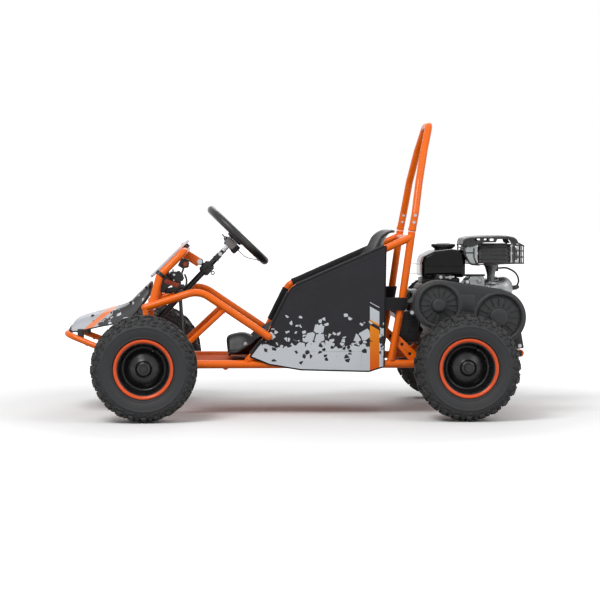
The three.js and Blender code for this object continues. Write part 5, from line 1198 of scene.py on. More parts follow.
def treadBlock(size, radius, axial, tilt=0.0, skew=0.0, phase=0.0, taper=0.84):
    form = bmesh.new()
    bmesh.ops.create_cube(form, size=1)
    for v in form.verts:
        if v.co.x > 0:
            v.co.y *= taper
            v.co.z *= taper
    bmesh.ops.scale(form, vec=Vector(size), verts=form.verts)
    bmesh.ops.bevel(form, geom=[e for e in form.edges if e.verts[0].co.x > 0 or e.verts[1].co.x > 0],
                    offset=1.1, segments=1, affect="EDGES")
    angle = phase * 2 * pi / wheelSizes["pitches"]
    turn = spun(angle, "Z") @ moved((radius, 0, axial)) @ spun(-tilt, "Y") @ spun(skew, "X")
    bmesh.ops.transform(form, matrix=turn, verts=form.verts)
    return form


def treadPitch():
    # One pitch of the tread; the ring copies it round the tyre
    deep = wheelSizes["blockDepth"]
    blocks = []
    for flip in (-1, 1):
        shift = 0.0 if flip > 0 else 0.5
        blocks += [
            treadBlock((deep, 20, 15), 159.6, flip * 9.5, 0, flip * 0.3, shift),
            treadBlock((deep, 19, 14), 158.8, flip * 28, flip * 0.07, flip * -0.35, shift + 0.12),
            treadBlock((14, 17, 24), 151.8, flip * 48.2, flip * 0.6, flip * 0.24, shift + 0.04),
            treadBlock((9, 15, 19), 143, flip * 55.8, flip * 0.96, flip * 0.3, shift + 0.1),
            treadBlock((12.5, 12, 20), 152, flip * 47, flip * 0.55, flip * -0.3, shift + 0.52),
            treadBlock((8.5, 11, 13), 144.6, flip * 55.6, flip * 0.92, flip * -0.35, shift + 0.6),
            treadBlock((5, 7, 7), 138.2, flip * 59.2, flip * 1.1, 0.5, shift + 0.36),
        ]
    whole = bmesh.new()
    for block in blocks:
        pour(block, whole)
    return whole


def wheel(corner, x, side, track, body, bore):
    place = facing((x, side * track / 2, axleZ), (0, side, 0))
    tyre = Piece("tyre_" + corner + "_knobbly")
    loop = tyreOutline + [(r, -a) for r, a in reversed(tyreOutline[:-1])]
    loop += [(r, -a) for r, a in reversed(tyreInside)] + tyreInside[1:]
    tyre.turned(loop, 96, f.sidewall, place)
    tyre.take(ringOf(treadPitch(), wheelSizes["pitches"], f.rubber, 0.012, seed=11), place)
    tyre.done(["tyre_" + corner], body, sharp=0.7)
    rim = Piece("rim_" + corner + "_dish")
    profile = [(bore, -44), *rimOutline, (bore, 34)]
    rim.turned(profile, 96, f.rimBlack, place)
    edge = [(80.8, 50.9), (82.2, 53.4), (85.6, 55.6), (89, 56), (90.9, 55.2), (91.7, 53.4), (90.6, 51.4)]
    rim.turned(edge, 96, f.rimOrange, place)
    stem = place @ spun(1.1, "Z")
    rim.turned([(0, 0), (4.6, 0), (4.2, 6), (2.8, 9), (2.6, 20), (3.2, 20.5), (3.2, 27), (0, 27.6)], 16,
               f.lead, stem @ moved((69.5, 0, 12)) @ spun(-0.25, "Y"))
    rim.done(["rim_" + corner], body, sharp=0.55)


for hand, side in sides.items():
    wheel("front_" + hand, 0, side, wheelSizes["frontTrack"], "wheel_front_" + hand, 8.3)
    wheel("rear_" + hand, rearX, side, wheelSizes["rearTrack"], "rear_axle", 12.8)
print("wheels made")


# Cloth side panels

panelSizes = {
    "inner": 218.5, "thickness": 2.2, "sleeve": 14.6, "tube": 12.4, "columns": 72, "rows": 44, "puff": 1.3,
    "binding": 3.0, "stitch": 5.2,
}
# Points in X and Z along the seat tube, and along the hem
panelTop = [(328, 188.8), (352.4, 220.2), (384.2, 261), (423.9, 339.7), (454.4, 400.7), (467.3, 410.6),
            (666, 498), (756, 537.6)]
panelHem = [(388.3, 164.1), (487.5, 147), (703, 141), (750.4, 156)]


def chainPoint(chain, share):
    total = sum(dist(a, b) for a, b in zip(chain, chain[1:]))
    goal = share * total
    for a, b in zip(chain, chain[1:]):
        span = dist(a, b)
        if goal <= span:
            return (a[0] + (b[0] - a[0]) * goal / span, a[1] + (b[1] - a[1]) * goal / span)
        goal -= span
    return chain[-1]


def hollowTube(route, outer, inner, around=24):
    form = tubeForm(route, outer, around, capped=False)
    lining = tubeForm(route, inner, around, capped=False)
    bmesh.ops.reverse_faces(lining, faces=lining.faces)
    pour(lining, form)
    form.verts.ensure_lookup_table()
    count = len(route) * around
    for first, flip in ((0, False), (count - around, True)):
        for k in range(around):
            n = (k + 1) % around
            corners = [form.verts[i] for i in (first + k, first + n, count + first + n, count + first + k)]
            form.faces.new(corners if flip else list(reversed(corners)))
    return form


def panelPlace(u, v, side, extra=0.0):
    # u runs from the front edge to the rear one, v from the tube down to the hem
    top, hem = chainPoint(panelTop, u), chainPoint(panelHem, u)
    x, z = top[0] + (hem[0] - top[0]) * v, top[1] + (hem[1] - top[1]) * v
    inside = min(1.0, 9 * min(u, 1 - u, v, 1 - v) + 0.15)
    broad = noise.noise(Vector((x * 0.010, z * 0.013, 3.1 * side)))
    pull = sin((x * 0.74 + z * 0.42) * 0.075 + 4 * broad) * noise.noise(Vector((x * 0.016, z * 0.021, 7.7)))
    fromCorner = exp(-hypot(x - 463, z - 395) / 70)
    fan = sin(atan2(z - 405, x - 463) * 17) * fromCorner
    puff = panelSizes["puff"] * (0.55 * broad + 0.9 * pull + 0.8 * fan) * inside
    return Vector((x, side * (panelSizes["inner"] + 1.0 + puff + extra), z))


def sew(piece, route, wide=0.9, long=3.0):
    # Stitches along a route
    piece.take(alongOf(boxForm((wide, wide, long), 0.25, 1), route, panelSizes["stitch"], f.thread))


def sidePanel(hand, side):
    s = panelSizes
    rows = gridOf(s["rows"], s["columns"], lambda v, u: panelPlace(u, v, side))
    sheet = Piece("side_panel_" + hand + "_cloth")
    sheet.add(sheetForm(rows, s["thickness"]), f.cloth)
    cloth = sheet.done(["side_panel_" + hand])

    trim = Piece("side_panel_" + hand + "_sleeve_and_binding")
    line = seatLine(side)
    clear = [p for p in evenly(bentRoute(line, 45, 12), 150) if (p - Vector(line[2])).length > 12]
    # The tube is bare where the knee tube meets it
    foot = [p for p in clear if 188 < p.z < 236]
    lower = [p for p in clear if p.z > 281 and p.x < 463]
    upper = [p for p in clear if 463 < p.x < 757]
    for run in (foot, lower, upper):
        points = evenly(run, 60)
        radii = []
        for i, p in enumerate(points):
            fold = noise.noise(p * 0.05)
            radii.append(s["sleeve"] + 0.5 * fold + (0.5 if i in (1, 59) else 0.0))
        trim.add(hollowTube(points, radii, s["tube"]), f.sleeve)
    # Taped edge all round, and the seams
    outline = [panelPlace(u / 60, 0, side) for u in range(61)]
    outline += [panelPlace(1, v / 30, side) for v in range(1, 31)]
    outline += [panelPlace(1 - u / 60, 1, side) for u in range(1, 61)]
    outline += [panelPlace(0, 1 - v / 30, side) for v in range(1, 30)]
    trim.add(tubeForm(outline, s["binding"], 8, closed=True), f.binding)
    inset = [panelPlace(0.02 + 0.96 * u / 60, 0.975, side, 1.3) for u in range(61)]
    inset += [panelPlace(0.98, 0.975 - 0.95 * v / 30, side, 1.3) for v in range(1, 31)]
    sew(trim, inset)
    # Fold under the sleeve, where the cloth is sewn round the tube
    fold = [panelPlace(u / 60, 0.045, side, 0.9) for u in range(25, 59)]
    trim.add(tubeForm(fold, 1.5, 8), f.sleeve)
    sew(trim, [panelPlace(u / 60, 0.062, side, 1.3) for u in range(25, 59)])
    # Sewn outline of the pocket low on the panel
    pocket = [(505, 205), (680, 204), (680, 160)]
    line = [Vector((x, side * (s["inner"] + 3.2), z)) for x, z in pocket]
    sew(trim, evenly(line, 60), 0.8, 2.6)
    band = trim.done()


for hand, side in sides.items():
    sidePanel(hand, side)
print("side panels made")


# Seat

# Shares of the seat's length, height, width, wings and pommel, from the front lip to the top of the back
seatRows = [(.0, 0, .9, .05, 0), (.0025, 0, .903, .06, .42), (.0065, 0, .908, .08, .76),
            (.02, 0, .924, .1, .9), (.053, 0, .944, .13, .98), (.097, .003, .97, .25, 1.02),
            (.129, .006, .98, .33, .94), (.152, .008, .984, .4, .74), (.171, .01, .989, .48, .42),
            (.214, .012, .993, .58, .15), (.299, .018, 1, .75, .05), (.564, .028, 1, .964, 0),
            (.731, .071, 1, 1, 0), (.833, .192, .989, .911, 0), (.882, .402, .978, .821, 0),
            (.910, .629, .966, .68, 0), (.918, .755, .955, .43, 0), (.928, .856, .945, .21, 0),
            (.945, .922, .915, .17, 0), (.962, .96, .86, .11, 0), (.981, .987, .78, .05, 0),
            (1, 1, .66, .0, 0)]
seatSizes = {"frontX": 262, "long": 528, "bottomZ": 186, "tall": 396, "half": 178, "wing": 112, "pommel": 60,
             "thickness": 5, "lean": 13, "lip": 4.2, "columns": 56, "between": 6}


def seatSurface():
    # The same shell as the frame's, in finer steps
    s = seatSizes
    places = [(s["frontX"] + r[0] * s["long"], s["bottomZ"] + r[1] * s["tall"]) for r in seatRows]
    centre = smoothRoute([(x, 0, z) for x, z in places], s["between"])
    shares = smoothRoute([(r[2], r[3], r[4]) for r in seatRows], s["between"])
    rows = []
    for i, (place, share) in enumerate(zip(centre, shares)):
        before, after = centre[max(i - 1, 0)], centre[min(i + 1, len(centre) - 1)]
        along = (after - before).normalized()
        inward = Vector((-along.z, 0, along.x))
        row = []
        for j in range(s["columns"] + 1):
            across = 2 * j / s["columns"] - 1
            wing = max(0.0, (abs(across) - 0.62) / 0.38)
            pommel = share.z * s["pommel"] * exp(-((across / 0.23) ** 4))
            rise = share.y * s["wing"] * wing ** 1.5 + pommel
            # Shallow channels pressed into the back and the base
            ribs = cos(across * 26) * exp(-((across / 0.5) ** 4))
            press = 1.3 * ribs * (1 if 64 < i < 104 else 0)
            # The pommel leans forwards, most at its front
            lean = s["lean"] * pommel / s["pommel"] * max(0, 1 - i / 48)
            point = Vector((place.x - lean, across * share.x * s["half"], place.z))
            row.append(point + inward * (rise + press))
        rows.append(row)
    return rows


def bucketSeat():
    s = seatSizes
    rows = seatSurface()
    shell = Piece("bucket_seat_shell")
    shell.add(sheetForm(rows, s["thickness"]), f.shell)
    left, right = [row[0] for row in rows], [row[-1] for row in rows]
    edge = rows[0][:-1] + right[:-1] + rows[-1][:0:-1] + left[:0:-1]
    shell.add(tubeForm(evenly(edge + [edge[0]], 240)[:-1], s["lip"], 12, closed=True), f.shell)
    places = []
    for share in (0.356, 0.64):
        x = s["frontX"] + share * s["long"]
        z = s["bottomZ"] + (0.022 if share < 0.5 else 0.05) * s["tall"]
        for side in (-1, 1):
            shell.box((x - 20, side * 78 - 13, 163.7), (x + 20, side * 78 + 13, z + 2), f.black, 1.5)
            places += [((x + k * 14, side * 91.1, 172), (0, side, 0)) for k in (-1, 1)]
            places.append(((x, side * 78, z + 6.5), (-0.05, 0, 1)))
    places.append(((314, -41, 216), (-0.3, -1, 0.2)))
    shell.bolts(places, 5, 3.6, f.zinc)
    shell.done(["bucket_seat"], sharp=0.8)


def straps():
    # A cloth strap from each panel's rear edge, closed round the upright
    for hand, side in sides.items():
        piece = Piece("panel_strap_" + hand)
        low, high = (334, 374) if side < 0 else (338, 394)
        x, y, r = 808.5, side * railY, 14.6
        loop = [(752, y + side * 12.5), (780, y + side * 15.4), (x, y + side * r)]
        loop += [(x + r * cos(a), y + side * r * sin(a)) for a in [pi / 2 - 0.26 * k for k in range(1, 12)]]
        loop += [(x, y - side * r), (784, y - side * 9), (757, y + side * 7)]
        rows = []
        for px, py in [tuple(p)[:2] for p in smoothRoute([(px, py, 0) for px, py in loop], 3)]:
            row = []
            for k in range(9):
                z = low + (high - low) * k / 8
                lean = (z - 354) * 0.18
                row.append(Vector((px + (lean if px > 770 else 0), py + side * 0.5 * sin(px * 0.2 + k), z)))
            rows.append(row)
        piece.add(sheetForm(rows, 1.8), f.sleeve)
        for z in (low + 3, high - 3):
            seam = [Vector((758 + 46 * k / 12 + (z - 354) * 0.1, y + side * 16.6, z)) for k in range(13)]
            sew(piece, seam, 0.8, 2.6)
        piece.done()


bucketSeat()
print("seat made")


# Nose hood, front plate, floor and engine plate

hoodSizes = {"frontX": -246, "long": 252, "frontZ": 272, "rise": 142, "top": 164, "skirt": 200, "drop": 48}
# Shares of the hood's length, rise, top, skirt and drop, from the front edge to the rear one
hoodRows = [(0, 0, .585, .56, .083), (.08, .19, .683, .75, .71), (.38, .35, .854, .89, .83),
            (.695, .51, .963, 1, .92), (.857, .76, .988, 1, 1), (1, 1, 1, .98, .625)]


def noseHood():
    s = hoodSizes
    rows = []
    shares = smoothRoute([(r[0], r[1], r[2]) for r in hoodRows], 7)
    more = smoothRoute([(r[3], r[4], 0) for r in hoodRows], 7)
    for a, b in zip(shares, more):
        x, z = s["frontX"] + a.x * s["long"], s["frontZ"] + a.y * s["rise"]
        top = min(1.0, a.z) * s["top"]
        skirt, drop = min(1.0, b.x) * s["skirt"], b.y * s["drop"]
        half = [(skirt, -drop), (skirt * .75 + top * .25, -drop * .72 - 2),
                (skirt * .4 + top * .6, -drop * .42 - 5), (top + 1, -11), (top - 1.2, -5.2), (top - 5, -1.4),
                (top - 12, 0.4), (top * .75, 2.4), (top * .5, 4), (top * .25, 5)]
        left = [(-y, rise) for y, rise in half]
        points = [*left, (0, 5.3), *reversed(half)]
        rows.append([Vector((x, y, z + rise)) for y, rise in points])
    piece = Piece("nose_hood")
    piece.add(sheetForm(rows, -2.8), f.fairing)
    # Black moulded lip along the front edge
    front = [p + Vector((-1.5, 0, -2.5)) for p in rows[0]]
    piece.add(tubeForm(evenly(front, 40), 4.4, 10), f.plastic)
    for side in (-1, 1):
        lowEdge = [row[0 if side < 0 else -1] for row in rows]
        piece.add(tubeForm(evenly(lowEdge, 44), 2.1, 8), f.plastic)
        share = 0.81
        at = Vector((-9 - 10 + share * -236, side * (railY - share * 55 - 7), railZ + share * 94))
        piece.box(at + Vector((-10, -7, 0)), at + Vector((10, 7, 34)), f.black, 1.5)
    hoodBolts = []
    for along in (12, 24, 33):
        row = rows[along]
        for k in (5, len(row) - 6):
            hoodBolts.append((row[k], (-0.3, 0, 1)))
    piece.bolts(hoodBolts, 4.5, 2.6, f.plastic)
    piece.done(["nose_fairing"], sharp=0.8)


plateSizes = {"x": 71.46, "z": 493.18, "slope": 44.62, "long": 69, "wide": 133, "corner": 12, "thick": 9}


def frontPlate():
    s = plateSizes
    turn = moved((s["x"], 0, s["z"])) @ spun(-radians(s["slope"]), "Y")
    piece = Piece("front_plate_frosted")
    outline = []
    for fore, across, start in ((1, 1, 0), (-1, 1, 90), (-1, -1, 180), (1, -1, 270)):
        for a in range(start, start + 91, 15):
            outline.append((fore * s["long"] + s["corner"] * cos(radians(a)),
                            across * s["wide"] + s["corner"] * sin(radians(a))))
    piece.add(plateForm(outline, s["thick"], 2.2, segments=3), f.frosted, turn @ moved((0, 0, 2.5)))
    places = []
    for x, y in ((64, -128), (64, 128)):
        places.append((turn @ Vector((x, y, 7)), turn.to_3x3() @ Vector((0, 0, 1))))
        piece.rod(turn @ Vector((x, y, -2)), turn @ Vector((x, y, -15)), 7, f.plastic, 2)
    piece.bolts(places, 3.6, 1.3, f.black)
    piece.done(["front_plate"])


floorSizes = {"front": 128, "long": 634, "half": 191.4, "top": 162.4, "press": 0.7, "ribStep": 64, "rib": 7}


def floorPan():
    # Pressed sheet with ribs and a lip along each side
    s = floorSizes

    def place(a, b):
        y = -s["half"] + 2 * s["half"] * b
        rib = exp(-((y % s["ribStep"] - s["ribStep"] / 2) / s["rib"]) ** 4) if 40 < 632 * a < 594 else 0
        lip = s["press"] if abs(y) > 0.985 * s["half"] else 0
        return Vector((s["front"] + s["long"] * a, y, s["top"] + s["press"] * rib + lip))

    piece = Piece("floor_pan_pressed")
    # A darker orange than the frame's: painted shade
    piece.add(sheetForm(gridOf(80, 60, place), 2.0), f.pan)
    places = [((x, y, 163.2), (0, 0, 1)) for x in (150, 430, 735) for y in (-176, 176)]
    piece.bolts(places, 5, 3, f.zinc)
    piece.done(["floor_pan"])


def dress(node, finish):
    made = bpy.data.objects[node]
    if not made.data.materials:
        made.data.materials.append(finish)
    for slot in made.material_slots:
        slot.material = finish


noseHood()
frontPlate()
floorPan()
straps()
print("hood, plates and floor made")


# Steering

columnSizes = {"foot": -472, "top": -86, "radius": 9.5, "plateZ": -409, "plate": 6, "boltZ": -84}


def steeringColumn():
    s = columnSizes
    piece = Piece("steering_column_tube")
    piece.rod((0, 0, s["foot"]), (0, 0, s["top"]), s["radius"], f.black)
    piece.rod((0, 0, -85.8), (0, 0, -62.2), 8.2, f.zinc, 1.5)
    # Fork round the shaft, with its bolt
    for side in (-1, 1):
        piece.box((-7, side * 9.4 - 1.6, -112), (7, side * 9.4 + 1.6, -70), f.black, 1.4)
    piece.rod((0, -15.5, s["boltZ"]), (0, 15.5, s["boltZ"]), 4, f.zinc)
    piece.bolts([((0, k * 11, s["boltZ"]), (0, k, 0)) for k in (-1, 1)], 4.6, 4, f.zinc)
    piece.band((0, 0, -104), (0, 0, 1), 8, 11.2, 5, f.black)
    # Plate at the foot that moves the tie rods
    hull = [(-15, 0), (-13, -8), (-7, -13.5), (0, -15), (8, -15), (34, -28), (40, -30.4), (45, -31),
            (51, -29.3), (55.4, -24), (56, -19), (53, -12), (47, 0), (53, 12), (56, 19), (55.4, 24),
            (51, 29.3), (45, 31), (40, 30.4), (34, 28), (8, 15), (0, 15), (-7, 13.5), (-13, 8)]
    holes = [circlePoints(4, 16, (45, 20)), circlePoints(4, 16, (45, -20)), circlePoints(4.5, 16, (26, 0))]
    piece.add(plateForm(hull, s["plate"], 0.8, holes), f.black, moved((0, 0, s["plateZ"])))
    piece.rod((0, 0, -420), (0, 0, -402), 13.5, f.black, 1.5)
    piece.bolts([((45, k * 20, -406), (0, 0, 1)) for k in (-1, 1)], 6, 4, f.zinc)
    piece.standOnColumn()
    piece.done(["steering_column"], "steering")


def steeringHub():
    piece = Piece("steering_hub_block")
    piece.rod((0, 0, -61.6), (0, 0, -46), 7, f.zinc)
    piece.box((-19, -19, -48), (19, 19, -22.2), f.grey, 3, segments=3)
    for z in (-41, -30):
        piece.box((-19.6, -15, z - 0.8), (19.6, 15, z + 0.8), f.grey, 0.5)
    piece.bolts([((x, y, -48), (0, 0, -1)) for x in (-12, 12) for y in (-12, 12)], 3.4, 2.6, f.black)
    # Can with its cap, and the cheeks that hold the lever
    profile = [(0, -54), (6, -54), (8.6, -51.5), (10, -47), (10, -39), (9.2, -38), (9.2, -36), (10, -35),
               (10, -26.5), (8, -24), (0, -24)]
    piece.turned(profile, 28, f.plastic, moved((24, 0, 0)))
    piece.rod((31, 0, -35), (36.5, 0, -35), 3.4, f.plastic, endRadius=2)
    for side in (-1, 1):
        cheek = [(-18, -44), (-18, -26), (-24, -28), (-29.5, -32.5), (-29.5, -37.5), (-24, -42)]
        piece.plate(cheek, 2, 0.4, f.black, side * 9)
    piece.rod((-24.5, -11.5, -35), (-24.5, 11.5, -35), 2.2, f.zinc)
    piece.standOnColumn()
    piece.done(["steering_hub"], "steering")


def switchLever():
    piece = Piece("switch_lever_paddle")
    piece.turned(oblong(2.4, -7.6, 4.4, 7.6), 20, f.plastic, facing((-24.5, 0, -35), (0, 1, 0)))
    wide = lambda a: 4.4 + 1.6 * sin(pi * min(1, a * 1.15))
    paddle = gridOf(8, 8, lambda a, b: Vector((-28.5 - 11.2 * a, wide(a) * (2 * b - 1),
                                               -33.2 + 1.3 * a + 0.9 * sin(pi * b))))
    piece.add(sheetForm(paddle, 3.2), f.plastic)
    piece.standOnColumn()
    piece.done(["switch_lever"], "switch_lever")


wheelGrip = {"ring": 119, "grip": 13.5, "fingers": 34, "dent": 0.8, "around": 204, "sides": 22}


def steeringWheel():
    # Foam-covered rim with finger dents inside, three pierced spokes and a bolted boss
    s = wheelGrip
    piece = Piece("steering_wheel_grip")
    form = bmesh.new()
    rings = []
    for i in range(s["around"]):
        phi = 2 * pi * i / s["around"]
        dent = 0.5 - 0.5 * cos(phi * s["fingers"])
        ring = []
        for k in range(s["sides"]):
            a = 2 * pi * k / s["sides"]
            inner = max(0.0, -cos(a)) ** 2 + 0.35 * abs(sin(a))
            r = s["grip"] - s["dent"] * (1 - dent) * inner
            ring.append(form.verts.new(((s["ring"] + r * cos(a)) * cos(phi),
                                        (s["ring"] + r * cos(a)) * sin(phi), r * sin(a))))
        rings.append(ring)
    for a, b in zip(rings, rings[1:] + rings[:1]):
        for k in range(s["sides"]):
            n = (k + 1) % s["sides"]
            form.faces.new((a[k], b[k], b[n], a[n]))
    bmesh.ops.recalc_face_normals(form, faces=form.faces)
    piece.add(form, f.grip)
    tilt = atan2(16, 119)
    for number in range(3):
        turn = spun(number * 2 * pi / 3, "Z") @ moved((0, 0, -16)) @ spun(-tilt, "Y")
        outline = [(14, -15), (40, -12.6), (80, -10.4), (112, -12), (112, 12), (80, 10.4), (40, 12.6),
                   (14, 15)]
        holes = [circlePoints(r, 20, (x, 0)) for x, r in ((44, 5.6), (62, 5), (78, 4.4))]
        piece.add(plateForm(outline, 4.4, 0.9, holes), f.black, turn)
    profile = [(0, -21.6), (20, -21.6), (27.4, -19.5), (28, -17), (27.6, -11), (26, -8.4), (17, -7.6),
               (15.5, -4.4), (13, -3), (0, -2.6)]
    piece.turned(profile, 40, f.plastic)
    piece.bolts([((21.5 * cos(a), 21.5 * sin(a), -8.4), (0, 0, 1)) for a in angles(6, pi / 3)], 3.6, 2.6,
                f.zinc)
    # Small bracket under the rim that takes the wire's end
    piece.box((99.6, -5, -15.5), (107, 5, -11.6), f.black, 0.8)
    piece.standOnColumn()
    piece.done(["steering_wheel"], "steering")


def columnClamp():
    piece = Piece("column_clamp_block")
    # Two halves with a parting line, round the column
    for low, high in ((-18, -0.4), (0.4, 18)):
        form = plateForm([(low, -17), (high, -17), (high, 17), (low, 17)], 34, 2.2)
        piece.add(form, f.plastic, moved((0, 0, -148)) @ spun(pi / 2, "X"))
    piece.band((0, 0, -129.5), (0, 0, 1), 9.8, 14, 5, f.plastic)
    piece.band((0, 0, -166.5), (0, 0, 1), 9.8, 14, 5, f.plastic)
    piece.bolts([((0, k * 17.4, -148 + j * 10.5), (0, k, 0)) for k in (-1, 1) for j in (-1, 1)], 3.6, 3,
                f.plastic)
    piece.box((-31, -9, -153.5), (-15, 9, -142.5), f.black, 1.5)
    piece.rod((-31, -22, -148), (-31, 22, -148), 11, f.plastic, 2)
    piece.rod((-31, -28.6, -148), (-31, 28.6, -148), 4, f.zinc)
    # Eyelet that guides a cable below the block
    piece.ring((25, 0, -146), (0, 1, 0), 5.2, 1.6, f.black, 20)
    piece.box((16.5, -2, -147.5), (20.6, 2, -144.5), f.black, 0.6)
    piece.standOnColumn()
    piece.done(["column_clamp"])


def dashBox():
    piece = Piece("dash_box_and_connectors")
    piece.block([(97, 474), (110, 497), (133, 492), (132, 467), (112, 464)], 4, -119, -71, f.plastic)
    piece.block([(100, 470), (134, 478), (134, 481), (99, 473)], 1, -120, -70, f.plastic, 0.8)
    piece.rod((122, -119, 478), (122, -124, 478), 8, f.red, 1.5)
    for corners in ([(48, 452), (72, 456), (80, 414), (66, 404), (57, 388), (43, 390)],
                    [(80, 414), (104, 420), (103, 392), (86, 388)],
                    [(84, 450), (104, 460), (120, 434), (104, 420), (88, 424)]):
        piece.block(corners, 5, -180, -158, f.plastic)
    # Cable holder with its red bracket and adjusters, under the sloping tube
    red = [(58, 418), (98, 405), (103, 412), (100, 420), (64, 433), (56, 427)]
    piece.plate(red, 26, 2, f.red, -168)
    for x, z, r in ((92, 440, 7), (76, 446, 6)):
        piece.rod((x, -168, z - 26), (x + 6, -168, z + 8), r, f.plastic, 1.5, around=20)
        piece.rod((x + 6, -168, z + 8), (x + 9, -168, z + 18), r * 0.55, f.zinc, 0.6, around=16)
    spring = [Vector((104 + 5 * cos(a), -168 + 5 * sin(a), 398 - a * 0.9))
              for a in [0.35 * k for k in range(110)]]
    piece.add(tubeForm(spring, 0.8, 6), f.zinc)
    for x, z, size in ((110, 408, 9), (98, 392, 11), (82, 398, 10)):
        piece.box((x - size, -178, z - size * 0.8), (x + size, -158, z + size * 0.8), f.plastic, 2.4,
                  segments=3)
    piece.rod((62, -railY, 452), (84, -168, 425), 3.4, f.black)
    for low, high in (((74, -176, 430), (96, -160, 456)), ((96, -170, 426), (116, -158, 448)),
                      ((58, -172, 386), (82, -156, 404)), ((100, -184, 378), (120, -166, 396))):
        piece.box(low, high, f.plastic, 3, segments=3)
    for points in ([(118, -160, 470), (112, -164, 452), (104, -166, 440), (92, -168, 436)],
                   [(88, -166, 400), (104, -160, 388), (118, -150, 384), (128, -140, 392)],
                   [(112, -168, 402), (124, -160, 412), (126, -150, 430), (120, -142, 446)]):
        piece.add(tubeForm(smoothRoute(points, 8), 3, 10), f.lead)
    piece.bolts([((88, -178, 446), (0, -1, 0)), ((112, -184, 386), (0, -1, 0))], 3.4, 2.6, f.zinc)
    piece.done(["dash_switch_box"])


steeringColumn()
steeringHub()
switchLever()
steeringWheel()
columnClamp()
dashBox()
print("steering made")


# Knuckles, kingpins, tie rods

knuckleSizes = {"pinY": 250, "low": 136, "high": 303, "armX": 64, "armY": 247, "armZ": 238}


def knuckle(hand, side):
    s = knuckleSizes
    piece = Piece("knuckle_" + hand + "_stub")
    y, arm, low, high = side * s["pinY"], side * s["armY"], s["low"], s["high"]
    profile = [(6.2, low), (13, low), (14, low + 1), (14, high - 1), (13, high), (6.2, high)]
    piece.turned(profile, 36, f.black, moved((0, y, 0)))
    piece.rod((0, side * 262, axleZ), (0, side * 330.6, axleZ), 13, f.black)
    piece.rod((0, side * 330.6, axleZ), (0, side * 421, axleZ), 8, f.black, 1.5)
    piece.weld((0, side * 264.5, axleZ), (0, 1, 0), 13.2)
    piece.turned(oblong(8, 0, 15, 2), 28, f.black, facing((0, side * 409.4, axleZ), (0, side, 0)))
    piece.nut((0, side * 411.4, axleZ), (0, side, 0), 23, 9, f.black)
    outline = [(6, y - 9), (64, arm - 8), (70, arm - 5.6), (72, arm), (70, arm + 5.6), (64, arm + 8),
               (6, y + 9)]
    hole = [circlePoints(4.2, 16, (s["armX"], arm))]
    piece.add(plateForm(outline, 7, 0.9, hole), f.black, moved((0, 0, s["armZ"])))
    piece.box((10, side * 249 - 2, 212), (34, side * 249 + 2, 235), f.black, 1)
    piece.bolts([((s["armX"], arm, s["armZ"] + 3.5), (0, 0, 1))], 6, 5, f.zinc)
    for z in (140.5, 298.5):
        piece.rod((0, y + side * 12.5, z), (0, y + side * 17, z), 2.3, f.zinc, around=12)
    piece.done(["knuckle_" + hand], "knuckle_" + hand)

    pin = Piece("kingpin_" + hand + "_bolt")
    pin.rod((0, y, 127.8), (0, y, 345), 6, f.zinc)
    pin.nut((0, y, 120.8), (0, 0, 1), 19, 6.8, f.zinc)
    pin.nut((0, y, 312.4), (0, 0, 1), 19, 6.6, f.zinc)
    pin.rod((0, y, 319.2), (0, y, 344), 8, f.orange, endRadius=9.5)
    pin.done(["kingpin_" + hand])


def tieRod(hand, side):
    piece = Piece("tie_rod_" + hand + "_ends")
    outer = Vector((knuckleSizes["armX"], side * knuckleSizes["armY"], 229.7))
    inner = Vector((38.9, side * 20, 226.9))
    for place, toward in ((outer, inner - outer), (inner, outer - inner)):
        piece.turned([(3.6, -4.4), (7.4, -4.4), (9, -2.8), (9, 2.8), (7.4, 4.4), (3.6, 4.4)], 28, f.zinc,
                     moved(place))
        direction = toward.normalized()
        piece.rod(place + direction * 8, place + direction * 36, 4.5, f.zinc, endRadius=4.4)
        piece.nut(place + direction * 37, direction, 8.2, 5, f.zinc)
        piece.rod(place + Vector((0, 0, -4.6)), place + Vector((0, 0, 4.5)), 3.6, f.zinc, 0.4)
    piece.rod(outer.lerp(inner, 0.1), inner.lerp(outer, 0.1), 4, f.black)
    piece.done(["tie_rod_" + hand], "tie_rod_" + hand)


# Pedals

def pedal(name, side, pad):
    piece = Piece(name + "_lever")
    y = side * pedalY
    turn = moved((98, y, 405)) @ spun(radians(-3.5), "Y")  # the pad leans back a little
    piece.turned([(4.3, -12), (9.2, -12), (10, -11), (10, 11), (9.2, 12), (4.3, 12)], 28, f.black,
                 facing((pedalX, y, pedalZ), (0, 1, 0)))
    outline = [(106, 218), (103, 300), (96, 396), (99, 400), (104, 398), (110.5, 300), (114, 218)]
    piece.plate(list(reversed(outline)), 12, 1.4, f.black, y)
    piece.weld((109.5, y, 220), (0, 0, 1), 6, 1.6)
    piece.add(boxForm((6, 56, pad), 2, 3), f.black, turn)
    # Rubber pad with a row of treads
    piece.add(boxForm((3, 53, pad - 3), 1.2, 2), f.lead, turn @ moved((3.4, 0, 0)))
    for step in range(9):
        rise = (pad / 2 - 5) * (step / 4 - 1)
        piece.add(boxForm((2.2, 47, 2.8), 0.7, 1), f.lead, turn @ moved((5.4, 0, rise)))
    # Return spring wound on the pivot
    coil = [Vector((pedalX + 11.6 * cos(a), y - 9 + a * 0.42, pedalZ + 11.6 * sin(a)))
            for a in [0.3 * k for k in range(1, 140)]]
    piece.add(tubeForm(coil, 1.1, 6), f.zinc)
    piece.done([name], name)


for hand, side in sides.items():
    knuckle(hand, side)
    tieRod(hand, side)
pedal("brake_pedal", -1, 52)
pedal("throttle_pedal", 1, 66)
print("knuckles, tie rods and pedals made")


# Engine

crank, jackshaft = (918, 353), (1107, 314)
engineSizes = {"finFirst": 1014, "finLast": 1086, "fins": 10, "finSize": 92, "boss": 42, "cylinderY": -40}


